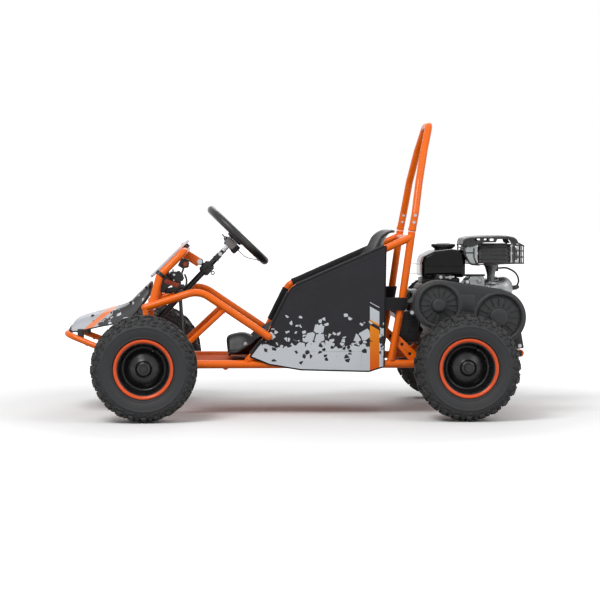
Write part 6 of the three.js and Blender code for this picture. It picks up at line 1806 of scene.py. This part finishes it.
def engineBlock():
    s = engineSizes
    piece = Piece("engine_block_cast")
    case = [(868, 217), (1003, 217), (1003, 337), (988, 399), (972, 415), (884, 415), (868, 399)]
    piece.block(case, [6, 6, 8, 14, 16, 18, 18], -110, 53, f.soot, 5)
    # Side cover with its flange and bolts
    piece.block(oblong(874, 236, 996, 404), 34, -118, -108, f.alloy, 2.5)
    places = []
    for x, z in ((882, 246), (935, 241), (988, 246), (988, 320), (982, 394), (935, 399), (884, 394),
                 (879, 320)):
        places.append(((x, -118, z), (0, -1, 0)))
    piece.bolts(places, 5, 4.5, f.zinc)
    turn = facing((crank[0], -112, crank[1]), (0, -1, 0))
    profile = [(0, 0), (s["boss"], 0), (s["boss"], 92), (38, 102), (26, 107), (0, 107)]
    piece.turned(profile, 44, f.alloy, turn)
    piece.ribs((13, 3.4, 78), 1, (44, 0, 44), 8, f.alloy, turn)
    # Cylinder, fins and head
    start, end = Vector((972, s["cylinderY"], 353)), Vector((1150, s["cylinderY"], 398))
    piece.add(tubeForm([start, end], 35, 40), f.soot)
    for k in range(s["fins"]):
        x = s["finFirst"] + (s["finLast"] - s["finFirst"]) * k / (s["fins"] - 1)
        z = 353 + (x - 972) / 178 * 45
        h = s["finSize"] / 2
        form = plateForm(roundedOutline([(-h, -h), (h, -h), (h, h), (-h, h)], 13), 2.6, 0.7)
        piece.add(form, f.alloy, moved((x, s["cylinderY"], z)) @ spun(pi / 2, "Y"))
    headTurn = facing((1092, s["cylinderY"], 383), (178, 0, 45))
    profile = [(0, 0), (44, 0), (45, 2), (45, 16), (43, 19), (38, 21), (37, 30), (38, 50), (38, 62),
               (36, 72), (31, 82), (23, 90), (12, 95.5), (0, 97)]
    piece.turned(profile, 44, f.alloy, headTurn)
    piece.ribs((8, 3, 34), 0.9, (37, 0, 37), 14, f.alloy, headTurn)
    corners = angles(4, pi / 4)
    ring = [(headTurn @ Vector((40.5 * cos(a), 40.5 * sin(a), 19)), (178, 0, 45)) for a in corners]
    piece.bolts(ring, 5, 5, f.zinc)
    # Plug, with its hexagon
    plug = Vector((1176, s["cylinderY"], 398))
    piece.nut(plug + Vector((5, 0, -1)), (1, 0, 0.05), 16, 5, f.zinc)
    # Oil filler and drain
    piece.rod((884, -96, 262), (872, -124, 268), 10, f.plastic, 2)
    piece.nut((940, -118, 262), (0, -1, 0), 14, 6, f.zinc)
    # Carburettor with its levers at the front
    piece.block(oblong(836, 350, 872, 396), 7, -96, -58, f.alloy, 3)
    piece.rod((854, -77, 345), (854, -77, 318), 17, f.alloy, 2.5)
    piece.rod((846, -96, 380), (846, -114, 380), 4, f.zinc)
    lever = [(826, 361), (832, 359), (850, 372), (852, 384), (843, 389), (836, 378)]
    piece.plate(lever, 4, 1, f.plastic, -112)
    piece.rod((842, -112, 384), (842, -124, 388), 5, f.plastic, 1.5)
    # Brackets and bolts under the tank
    piece.block(oblong(884, 412, 1006, 432), 5, -96, 40, f.black, 2)
    piece.block(oblong(918, 428, 946, 446), 6, -206, -112, f.black, 2)
    piece.block([(950, 430), (980, 434), (980, 441), (950, 438)], 2, -170, -110, f.zinc, 1)
    piece.bolts([((932, -206, 438), (0, -1, 0)), ((966, -170, 436), (0, -1, 0))], 4, 3.5, f.zinc)
    # Cable ends at the front and the bar behind the tank
    for line in ([(850, -60, 480), (866, -60, 478), (884, -60, 476)],
                 [(842, -60, 447), (858, -60, 446), (884, -60, 442)]):
        piece.add(tubeForm(smoothRoute(line, 6), 0.9, 8), f.zinc)
    piece.box((1010, -72, 437), (1092, -48, 443), f.plastic, 1.2)
    piece.done(["engine_block"])


def coolingShroud():
    piece = Piece("cooling_shroud_pressed")
    corners = [(1010, 412), (1022, 415), (1044, 438), (1086, 438), (1087, 424), (1087, 400), (1010, 400)]
    piece.block(corners, [2, 4, 9, 6, 3, 3, 3], -94, 14, f.alloy, 3, 3)
    for k in range(5):
        y = -84 + 22 * k
        piece.block([(1028, 424), (1046, 440), (1082, 440), (1082, 434), (1048, 434), (1032, 420)], 2, y - 2,
                    y + 2, f.soot, 0.8, 1)
    piece.ring((1070, -95, 424), (0, 1, 0), 8, 1.8, f.alloy, 24)
    piece.bolts([((1070, -95, 424), (0, -1, 0)), ((1022, -94.5, 407), (0, -1, 0))], 4.5, 3.6, f.zinc)
    piece.done(["cooling_shroud"])


tankSizes = {"near": -126, "far": 70, "bevel": 13, "seamZ": 472, "cap": (960, -28, 531.4)}


def fuelTank():
    s = tankSizes
    piece = Piece("fuel_tank_shell")
    corners = [(881, 434.5), (1016, 434.5), (1021.5, 448), (1021, 521), (976, 526), (921, 519.5), (888, 503),
               (881, 482)]
    piece.block(corners, [9, 9, 8, 12, 20, 30, 18, 12], s["near"], s["far"], f.tank, s["bevel"], 6)
    # Rolled seam where the two halves meet
    outline = roundedOutline(oblong(880, -127.5, 1021.9, 71.5), 14)
    piece.add(plateForm(outline, 3, 1.2), f.tank, moved((0, 0, s["seamZ"])))
    for x, y in ((905, -108), (1000, -108), (905, 52), (1000, 52)):
        piece.box((x - 10, y - 12, 434.6), (x + 10, y + 12, 438), f.black, 1)
    # Neck under the cap
    profile = [(18, -12), (29, -12), (29, -1), (30.5, 0), (30.5, 3), (28.5, 4.6), (18, 4.6)]
    piece.turned(profile, 48, f.black, moved((960, -28, 526.4)))
    piece.done(["fuel_tank"], sharp=0.9)

    cap = Piece("tank_cap_knurled")
    place = moved(s["cap"])
    profile = [(0, -3.6), (33, -3.6), (34.4, -2.6), (34.6, -0.6), (37, 0), (38, 1.4), (38, 7.6), (37, 9.2),
               (34, 10.2), (24, 10.6), (22, 9.6), (12, 9.4), (0, 9.6)]
    cap.turned(profile, 64, f.plastic, place)
    cap.ribs((3, 3.6, 7.6), 0.8, (37.7, 0, 4.4), 36, f.plastic, place)
    cap.add(boxForm((50, 7, 2.6), 1.2, 3), f.plastic, moved((960, -28, 541.8)) @ spun(0.6, "Z"))
    cap.done(["tank_cap"], "tank_cap")


mufflerSizes = {"front": 1054, "low": 479, "rear": 1188, "high": 540, "near": -120, "far": 0, "louvres": 5,
                "louvreZ": 483, "louvreStep": 12.4}


def muffler():
    s = mufflerSizes
    piece = Piece("muffler_can_and_shield")
    corners = oblong(s["front"], s["low"], s["rear"], s["high"])
    piece.block(corners, 18, s["near"], s["far"], f.soot, 10, 4)
    # Louvres pressed in the near and far shields, which wrap round at both ends
    wrap = lambda b: 10 * max(0.0, (b - 0.86) / 0.14) ** 2 + 8 * max(0.0, (0.1 - b) / 0.1) ** 2
    for side, y in ((-1, s["near"] - 4), (1, s["far"] + 4)):
        for k in range(s["louvres"]):
            z = s["louvreZ"] + s["louvreStep"] * k
            louvre = gridOf(2, 24, lambda a, b: Vector((1058 + 110 * b, y + side * (4.2 - 3.6 * a - wrap(b)),
                                                        z + 9.6 * a)))
            piece.add(sheetForm(louvre, 1.6), f.soot if side > 0 else f.black)
        for x in (1057, 1169):
            piece.box((x - 2, y - 2.4, 477), (x + 2, y + 2.4, 545), f.zinc, 0.7)
        piece.bolts([((x, y + side * 2.4, z), (0, side, 0)) for x in (1057, 1169) for z in (486, 512, 536)],
                    3, 2.6, f.zinc)
    # Curved heat shield at the front
    bulge = lambda a, b: 28 * sin(pi * (0.12 + 0.76 * a)) ** 0.7 * (1 - 0.25 * abs(2 * b - 1) ** 3)
    shield = gridOf(10, 12, lambda a, b: Vector((1050 - bulge(a, b), -134 + 148 * b, 478 + 58 * a)))
    piece.add(sheetForm(shield, 1.5), f.alloy)
    for y in (-139, 19):
        outline = [(1056, 479), (1056, 539), (1026, 537), (1020, 522), (1020, 500), (1027, 480)]
        piece.plate(outline, 1.6, 0.5, f.alloy, y)
    # Flared pipe down to the cylinder
    profile = [(9.5, -72), (13, -72), (13, -40), (14.5, -32), (20, -14), (24.5, -8), (24.5, -3), (20, -2),
               (9.5, -2)]
    piece.turned(profile, 32, f.soot, moved((1112, -60, 481)))
    piece.turned(oblong(9, 0, 22, 5), 32, f.alloy, moved((1112, -60, 412)))
    piece.bolts([((1112 + k * 17, -60, 417), (0, 0, 1)) for k in (-1, 1)], 4.5, 5, f.zinc)
    # Outlet
    piece.rod((1186, -60, 500), (1199, -60, 500), 11, f.soot)
    piece.done(["muffler"])


def mufflerGuard():
    piece = Piece("muffler_guard_cover")
    middle, near, far = -60, -143, 23

    def wire(points, bend=0, steps=9, radius=1.9):
        piece.tube(points, radius, f.black, bend, 10, steps)

    # Pressed lid: crowned, with turned-down sides that are slotted
    profile = [(1012, 541), (1012.5, 551), (1016, 557.5), (1024, 561.5), (1040, 564), (1090, 566.4),
               (1142, 567), (1166, 565), (1180, 560), (1187, 552), (1189, 543)]
    line = smoothRoute([(x, 0, z) for x, z in profile], 4)
    rows = []
    for p in line:
        inset = 3 * max(0, (1024 - p.x) / 12) ** 2 + 8 * max(0, (p.x - 1172) / 18) ** 2
        row = []
        for j in range(33):
            t = 2 * j / 32 - 1
            y = middle + t * (84 - inset)
            fall = 5 * max(0, (abs(t) - 0.86) / 0.14) ** 2
            inside = 1035 < p.x < 1160 and abs(t) < 0.84
            ridge = 1.6 * exp(-((t * 3 % 1 - 0.5) / 0.16) ** 4) if inside else 0
            row.append(Vector((p.x, y, p.z - fall + ridge * 0.6)))
        rows.append(row)
    piece.add(sheetForm(rows, 1.8), f.black)
    for side in (-1, 1):
        y = middle + side * 84
        outline = [(1015, 556), (1024, 560), (1040, 562.4), (1090, 564.4), (1142, 565), (1166, 563),
                   (1179, 556), (1187, 544), (1176, 541), (1165, 545), (1160, 557.5), (1121, 558),
                   (1116, 547.6), (1080, 547), (1062, 543), (1048, 536), (1032, 533), (1013, 538)]
        holes = []
        for x, wide in ((1056, 10), (1084, 6), (1102, 6)):
            holes.append([(x + (wide / 2 if abs(a) < 1.6 else -wide / 2) + 3.8 * cos(a), 556 + 3.8 * sin(a))
                          for a in angles(14, pi / 14 - pi)])
        piece.plate(list(reversed(outline)), 1.8, 0.5, f.black, y, holes)
    # Wire cage round the hot end
    for z in (480, 500, 520, 538):
        wire([(1176, near, z), (1208, near, z), (1208, far, z), (1176, far, z)], 10, 5)
    for x, y in ((1176, near), (1192, near), (1208, -128), (1208, -90), (1208, -60), (1208, -30), (1208, 8),
                 (1192, far), (1176, far)):
        top = 546 if x < 1200 else 538
        wire([(x, y, 479), (x, y, top)])
    for side in (-1, 1):
        y = middle + side * 83
        wire([(1176, y, 480), (1056, y, 476), (1046, y, 500), (1046, y, 530)], 8, 5)
        wire([(1188, y, 546), (1200, y, 540), (1208, y - side * 6, 534)], 6, 4)
        piece.bolts([((1176, y + side, 552), (0, side, 0)), ((1026, y + side, 549), (0, side, 0))], 3, 2.2,
                    f.black)
    wire([(1176, near, 480), (1176, far, 480)])
    # Bars that frame the front of the can
    for side in (-1, 1):
        y = middle + side * 83
        wire([(1014, y, 545), (1014, y, 512), (1034, y, 477), (1064, y, 475)], 14, 6, 2.6)
        wire([(1015, y, 514), (1046, y, 514)])
    for x, z in ((1014, 530), (1016, 508), (1025, 491)):
        wire([(x, near, z), (x, far, z)])
    wire([(1060, near, 477), (1060, far, 477)])
    piece.done(["muffler_guard"])


def recoilStarter():
    piece = Piece("recoil_starter_cover")
    turn = facing((crank[0], 55.4, crank[1]), (0, 1, 0))
    profile = [(26, 0), (70, 0), (74, 2), (75, 6), (75, 16), (73, 22), (66, 27), (52, 31.5), (40, 33),
               (26, 33.6), (12, 32), (0, 32), (0, 2)]
    piece.turned(profile, 72, f.cover, turn)
    piece.ribs((18, 4.4, 3), 1, (52, 0, 31), 18, f.binding, turn)
    piece.ribs((5, 3, 14), 1, (74.5, 0, 11), 30, f.cover, turn)
    lugs = [turn @ Vector((71 * cos(a), 71 * sin(a), 5)) for a in (0.6, 2.2, 3.9, 5.4)]
    piece.bolts([(p, (0, 1, 0)) for p in lugs], 4.5, 3.6, f.zinc)
    # Pull handle resting on its guide
    guide = turn @ Vector((0, -60, 24))
    out = (turn.to_3x3() @ Vector((0, -1, 0))).normalized()
    piece.rod(guide, guide + out * 14, 7.5, f.plastic, 1.5)
    across = out.cross(Vector((0, 1, 0)))
    piece.rod(guide + out * 17 - across * 26, guide + out * 17 + across * 26, 6.5, f.plastic, 3)
    piece.done(["recoil_starter"])


def airCleaner():
    piece = Piece("air_cleaner_box")
    corners = [(804, 228), (868, 228), (868, 328), (819, 328), (804, 310)]
    piece.block(corners, 9, -158, -42, f.plastic, 6, 4)
    piece.block(oblong(802.5, 262, 868, 270), 2, -159.5, -40.5, f.plastic, 1.2)
    for k in range(5):
        piece.box((816, -160, 280 + 8.5 * k), (856, -157, 283 + 8.5 * k), f.plastic, 0.8)
    piece.box((826, -160, 258), (836, -157.5, 276), f.plastic, 0.8)
    for k in range(5):
        piece.ring((854, -77, 330 + 3.4 * k), (0, 0, 1), 15.5, 2.2, f.lead, 28)
    piece.done(["air_cleaner"])


engineBlock()
coolingShroud()
fuelTank()
muffler()
mufflerGuard()
recoilStarter()
airCleaner()
# Boot on the plug, and the ignition coil at the lead's other end
boot = Piece("plug_boot_and_coil")
boot.turned([(3.2, -2), (6.6, -2), (7.6, 2), (7.6, 16), (6, 19), (4.4, 25), (3.2, 25)], 24, f.lead,
            facing((1183, -40, 397), (0.98, 0, 0.16)))
boot.box((1106, -52, 452), (1138, -28, 474), f.plastic, 2.5, segments=3)
boot.done()
print("engine made")


# Drive: pulleys, cover, chain, axle and brake

coverSizes = {
    "left": crank, "right": jackshaft, "leftRadius": 78, "rightRadius": 87, "face": -284, "back": -231,
    "ribs": 16,
}


def beltCover():
    s = coverSizes
    piece = Piece("belt_cover_moulded")
    floor = s["face"] + 7
    outline = roundTwo(s["left"], s["right"], s["leftRadius"] - 0.3, s["rightRadius"] - 0.3)
    piece.plate(outline, s["back"] - floor, 1, f.cover, (s["back"] + floor) / 2)
    outline = roundTwo(s["left"], s["right"], s["leftRadius"] - 1, s["rightRadius"] - 1)
    wells = [circlePoints(60, 64, s["left"]), circlePoints(69, 64, s["right"])]
    piece.plate(outline, 7.4, 3, f.cover, s["face"] + 3.7, wells, 3)
    lip = roundTwo(s["left"], s["right"], s["leftRadius"], s["rightRadius"])
    piece.plate(lip, 5, 1.4, f.cover, s["back"] - 2.5)
    for centre, well, hub in ((s["left"], 60, 21), (s["right"], 69, 29)):
        turn = facing((centre[0], floor, centre[1]), (0, -1, 0))
        # Rounded ring at the well's edge, the hub with its cap, and ribs between them
        profile = [(well - 1, 0), (well, 5.4), (well + 2, 8.6), (well + 5, 10.4), (well + 9, 10.4),
                   (well + 12, 8.8), (well + 13.6, 6), (well + 14, 0)]
        piece.turned(profile, 96, f.cover, turn)
        profile = [(hub + 7, -1), (hub + 6.4, 1.2), (hub + 3.4, 1.8), (hub + 2.2, 4), (hub + 1.2, 11.4),
                   (hub - 1, 14.4), (hub - 4, 15.8), (hub * 0.4, 15.4), (0, 15.2)]
        piece.turned([*profile, (0, -1)], 72, f.cover, turn, closed=False)
        long = well - hub - 10
        piece.ribs((long, 2.0, 7.2), 0.8, (hub + 7 + long / 2, 0, 0.6), s["ribs"], f.cover, turn)
        piece.ring((centre[0], floor - 0.2, centre[1]), (0, 1, 0), well - 4.5, 1.6, f.cover, 96)
    # Raised panel between the rings
    panel = roundedOutline([(979, 338), (1030, 330), (1033, 384), (976, 386)], 7)
    piece.plate(panel, 2.4, 0.9, f.cover, s["face"] - 0.6)
    ear = roundedOutline([(1146, 268), (1184, 268), (1194, 213), (1164, 213)], 5)
    piece.plate(ear, 8, 1.5, f.cover, -235.4)
    lug = roundedOutline(oblong(832, 318, 850, 338), 7)
    piece.plate(lug, 8, 1.5, f.cover, -236)
    piece.bolts([((1180, -239.5, 222), (0, -1, 0)), ((838, -240, 328), (0, -1, 0)),
                 ((1012, -240.6, 424), (0, -1, 0))], 4.4, 3.6, f.zinc)
    piece.plate(roundedOutline([(1003, 412), (1021, 412), (1020, 431), (1004, 431)], 6), 8, 1.5, f.cover,
                -236.4)
    piece.done(["belt_cover"], sharp=0.7)


chainSizes = {"y": -150, "small": 25, "large": 78, "pitch": 12.7}


def chainLinks():
    # Roller chain round both sprockets: plates and rollers for each pitch
    piece = Piece("drive_chain_links")
    s = chainSizes
    y = s["y"]
    loop = [Vector((x, y, z)) for x, z in roundTwo(jackshaft, (rearX, axleZ), s["small"], s["large"], 40)]
    pitches = 2 * round(lengthOf(loop + loop[:1]) / s["pitch"] / 2)
    points = evenly(loop + loop[:1], pitches)[:-1]
    for i, p in enumerate(points):
        q = points[(i + 1) % len(points)]
        gap = 3.1 if i % 2 else 2.1
        for side in (-1, 1):
            outline = []
            for centre, a0 in ((-1, pi / 2), (1, -pi / 2)):
                outline += [(centre * 6.3 + 3.5 * cos(a0 + pi * k / 4), 3.5 * sin(a0 + pi * k / 4))
                            for k in range(5)]
            along = (q - p).normalized()
            turn = Matrix(((along.x, -along.z, 0, (p.x + q.x) / 2), (0, 0, -1, y + side * gap),
                           (along.z, along.x, 0, (p.z + q.z) / 2), (0, 0, 0, 1)))
            piece.add(plateForm(outline, 0.9, 0), f.chain, turn)
        piece.rod(p + Vector((0, -2.6, 0)), p + Vector((0, 2.6, 0)), 3.2, f.chain, 0.3, around=10)
    piece.done(["drive_chain"])


def toothedOutline(radius, teeth, depth):
    outline = []
    for k in range(teeth):
        for part, r in ((0.0, radius - depth), (0.22, radius - depth * 0.9), (0.4, radius), (0.6, radius),
                        (0.78, radius - depth * 0.9)):
            a = 2 * pi * (k + part) / teeth
            outline.append((r * cos(a), r * sin(a)))
    return outline


axleSizes = {"radius": 12.5, "half": 404, "teeth": 38, "tip": 77.6, "toothDepth": 6.5, "disc": 78,
             "discY": 112}


def rearAxle():
    s = axleSizes
    piece = Piece("rear_axle_shaft")
    piece.rod((rearX, -s["half"], axleZ), (rearX, s["half"], axleZ), s["radius"], f.zinc, 2)
    for side in (-1, 1):
        piece.rod((rearX, side * 313.8, axleZ), (rearX, side * 325.6, axleZ), 17, f.black)
        piece.turned(oblong(9, 0, 15, 2), 28, f.black, facing((rearX, side * 404.3, axleZ), (0, side, 0)))
        piece.nut((rearX, side * 406.2, axleZ), (0, side, 0), 25, 9.6, f.black)
        piece.rod((rearX, side * 404, axleZ), (rearX, side * 416.2, axleZ), 7.5, f.black, 1.2)
        near, far = sorted((side * 300, side * 340))
        piece.box((rearX - 3, near, axleZ + 10), (rearX + 3, far, axleZ + 14), f.zinc, 0.8)
    piece.done(["rear_axle"], "rear_axle")

    sprocket = Piece("axle_sprocket_toothed")
    y = chainSizes["y"]
    holes = [circlePoints(11, 20, p) for p in circlePoints(46, 6)]
    holes.append(circlePoints(14, 28))
    teeth = toothedOutline(s["tip"], s["teeth"], s["toothDepth"])
    sprocket.add(plateForm(teeth, 4.6, 0.6, holes, 1), f.chain, moved((rearX, y, axleZ)) @ sideways())
    sprocket.turned([(12.8, -16), (25, -16), (27, -14), (27, 8), (24, 10), (12.8, 10)], 36, f.black,
                    facing((rearX, y, axleZ), (0, 1, 0)))
    places = [((x, y - 16, z), (0, -1, 0)) for x, z in circlePoints(21, 4, (rearX, axleZ))]
    sprocket.bolts(places, 4, 3.4, f.zinc)
    sprocket.done(["axle_sprocket"], "rear_axle")

    disc = Piece("brake_disc_drilled")
    holes = [circlePoints(4, 12, (r * cos(a + r), r * sin(a + r))) for r in (54, 66) for a in angles(10)]
    holes.append(circlePoints(14, 28))
    disc.add(plateForm(circlePoints(s["disc"], 96), 4, 0.5, holes, 1), f.zinc,
             moved((rearX, s["discY"], axleZ)) @ sideways())
    disc.turned([(12.8, -7), (24, -7), (28, -4), (28, 4), (24, 7), (12.8, 7)], 36, f.black,
                facing((rearX, s["discY"], axleZ), (0, 1, 0)))
    places = [((x, s["discY"] + 7, z), (0, 1, 0)) for x, z in circlePoints(20, 4, (rearX, axleZ))]
    disc.bolts(places, 4, 3.4, f.zinc)
    disc.done(["brake_disc"], "rear_axle")


def axleBearing(hand, side):
    piece = Piece("axle_bearing_" + hand + "_housing")
    turn = facing((rearX, side * 184.2, axleZ), (0, 1, 0))
    piece.turned([(12.9, -7), (20, -7), (20, -5.5), (22, -5.5), (22, -7.4), (28.4, -7.4), (29, -6.6),
                  (29, 6.6), (28.4, 7.4), (22, 7.4), (22, 5.5), (20, 5.5), (20, 7), (12.9, 7)], 44, f.black,
                 turn)
    piece.turned(oblong(12.8, -7.2, 17.5, 7.2), 36, f.zinc, turn)
    outline = [(rearX - 29, 170), (rearX - 29, 208.8), (rearX + 29, 208.8), (rearX + 29, 170),
               (rearX + 24, 182), (rearX + 12, 192), (rearX - 12, 192), (rearX - 24, 182)]
    piece.plate(list(reversed(outline)), 14.6, 1.2, f.orange, side * 184.2)
    piece.bolts([((rearX + k * 23, side * (184.2 - 7.6), 200), (0, -side, 0)) for k in (-1, 1)], 5, 4, f.zinc)
    piece.done(["axle_bearing_" + hand])


def brakeCaliper():
    piece = Piece("brake_caliper_body")
    for low, high in ((95.4, 109.2), (114.8, 128.6)):
        piece.block(oblong(907, 144, 955, 186), 8, low, high, f.black, 2.4)
    piece.block(oblong(906, 170, 918.6, 187), 4, 97, 127, f.black, 1.5)
    piece.rod((931, 128.4, axleZ), (931, 133, axleZ), 13, f.alloy, 1.5)
    piece.box((912, 98, 184), (950, 104, 210.6), f.black, 1.2)
    piece.bolts([((x, 97.6, 199), (0, -1, 0)) for x in (920, 942)], 5, 4, f.zinc)
    piece.bolts([((914, 95, 154), (0, -1, 0)), ((948, 95, 178), (0, -1, 0))], 4.5, 3.4, f.zinc)
    piece.done(["brake_caliper"])


beltCover()
chainLinks()
rearAxle()
brakeCaliper()
for hand, side in sides.items():
    axleBearing(hand, side)
# The engine plate takes the darker floor-pan orange: painted shade
dress("engine_plate", f.pan)
dress("belt_back_plate", f.cover)
dress("drive_belt", f.lead)
dress("drive_pulley", f.alloy)
dress("driven_pulley", f.alloy)
print("drive made")


# The end

def corners(box):
    return [list(box[0]), list(box[1])]


{"cad": corners(cadBox), "visual": corners(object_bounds())}
print("scene ready")
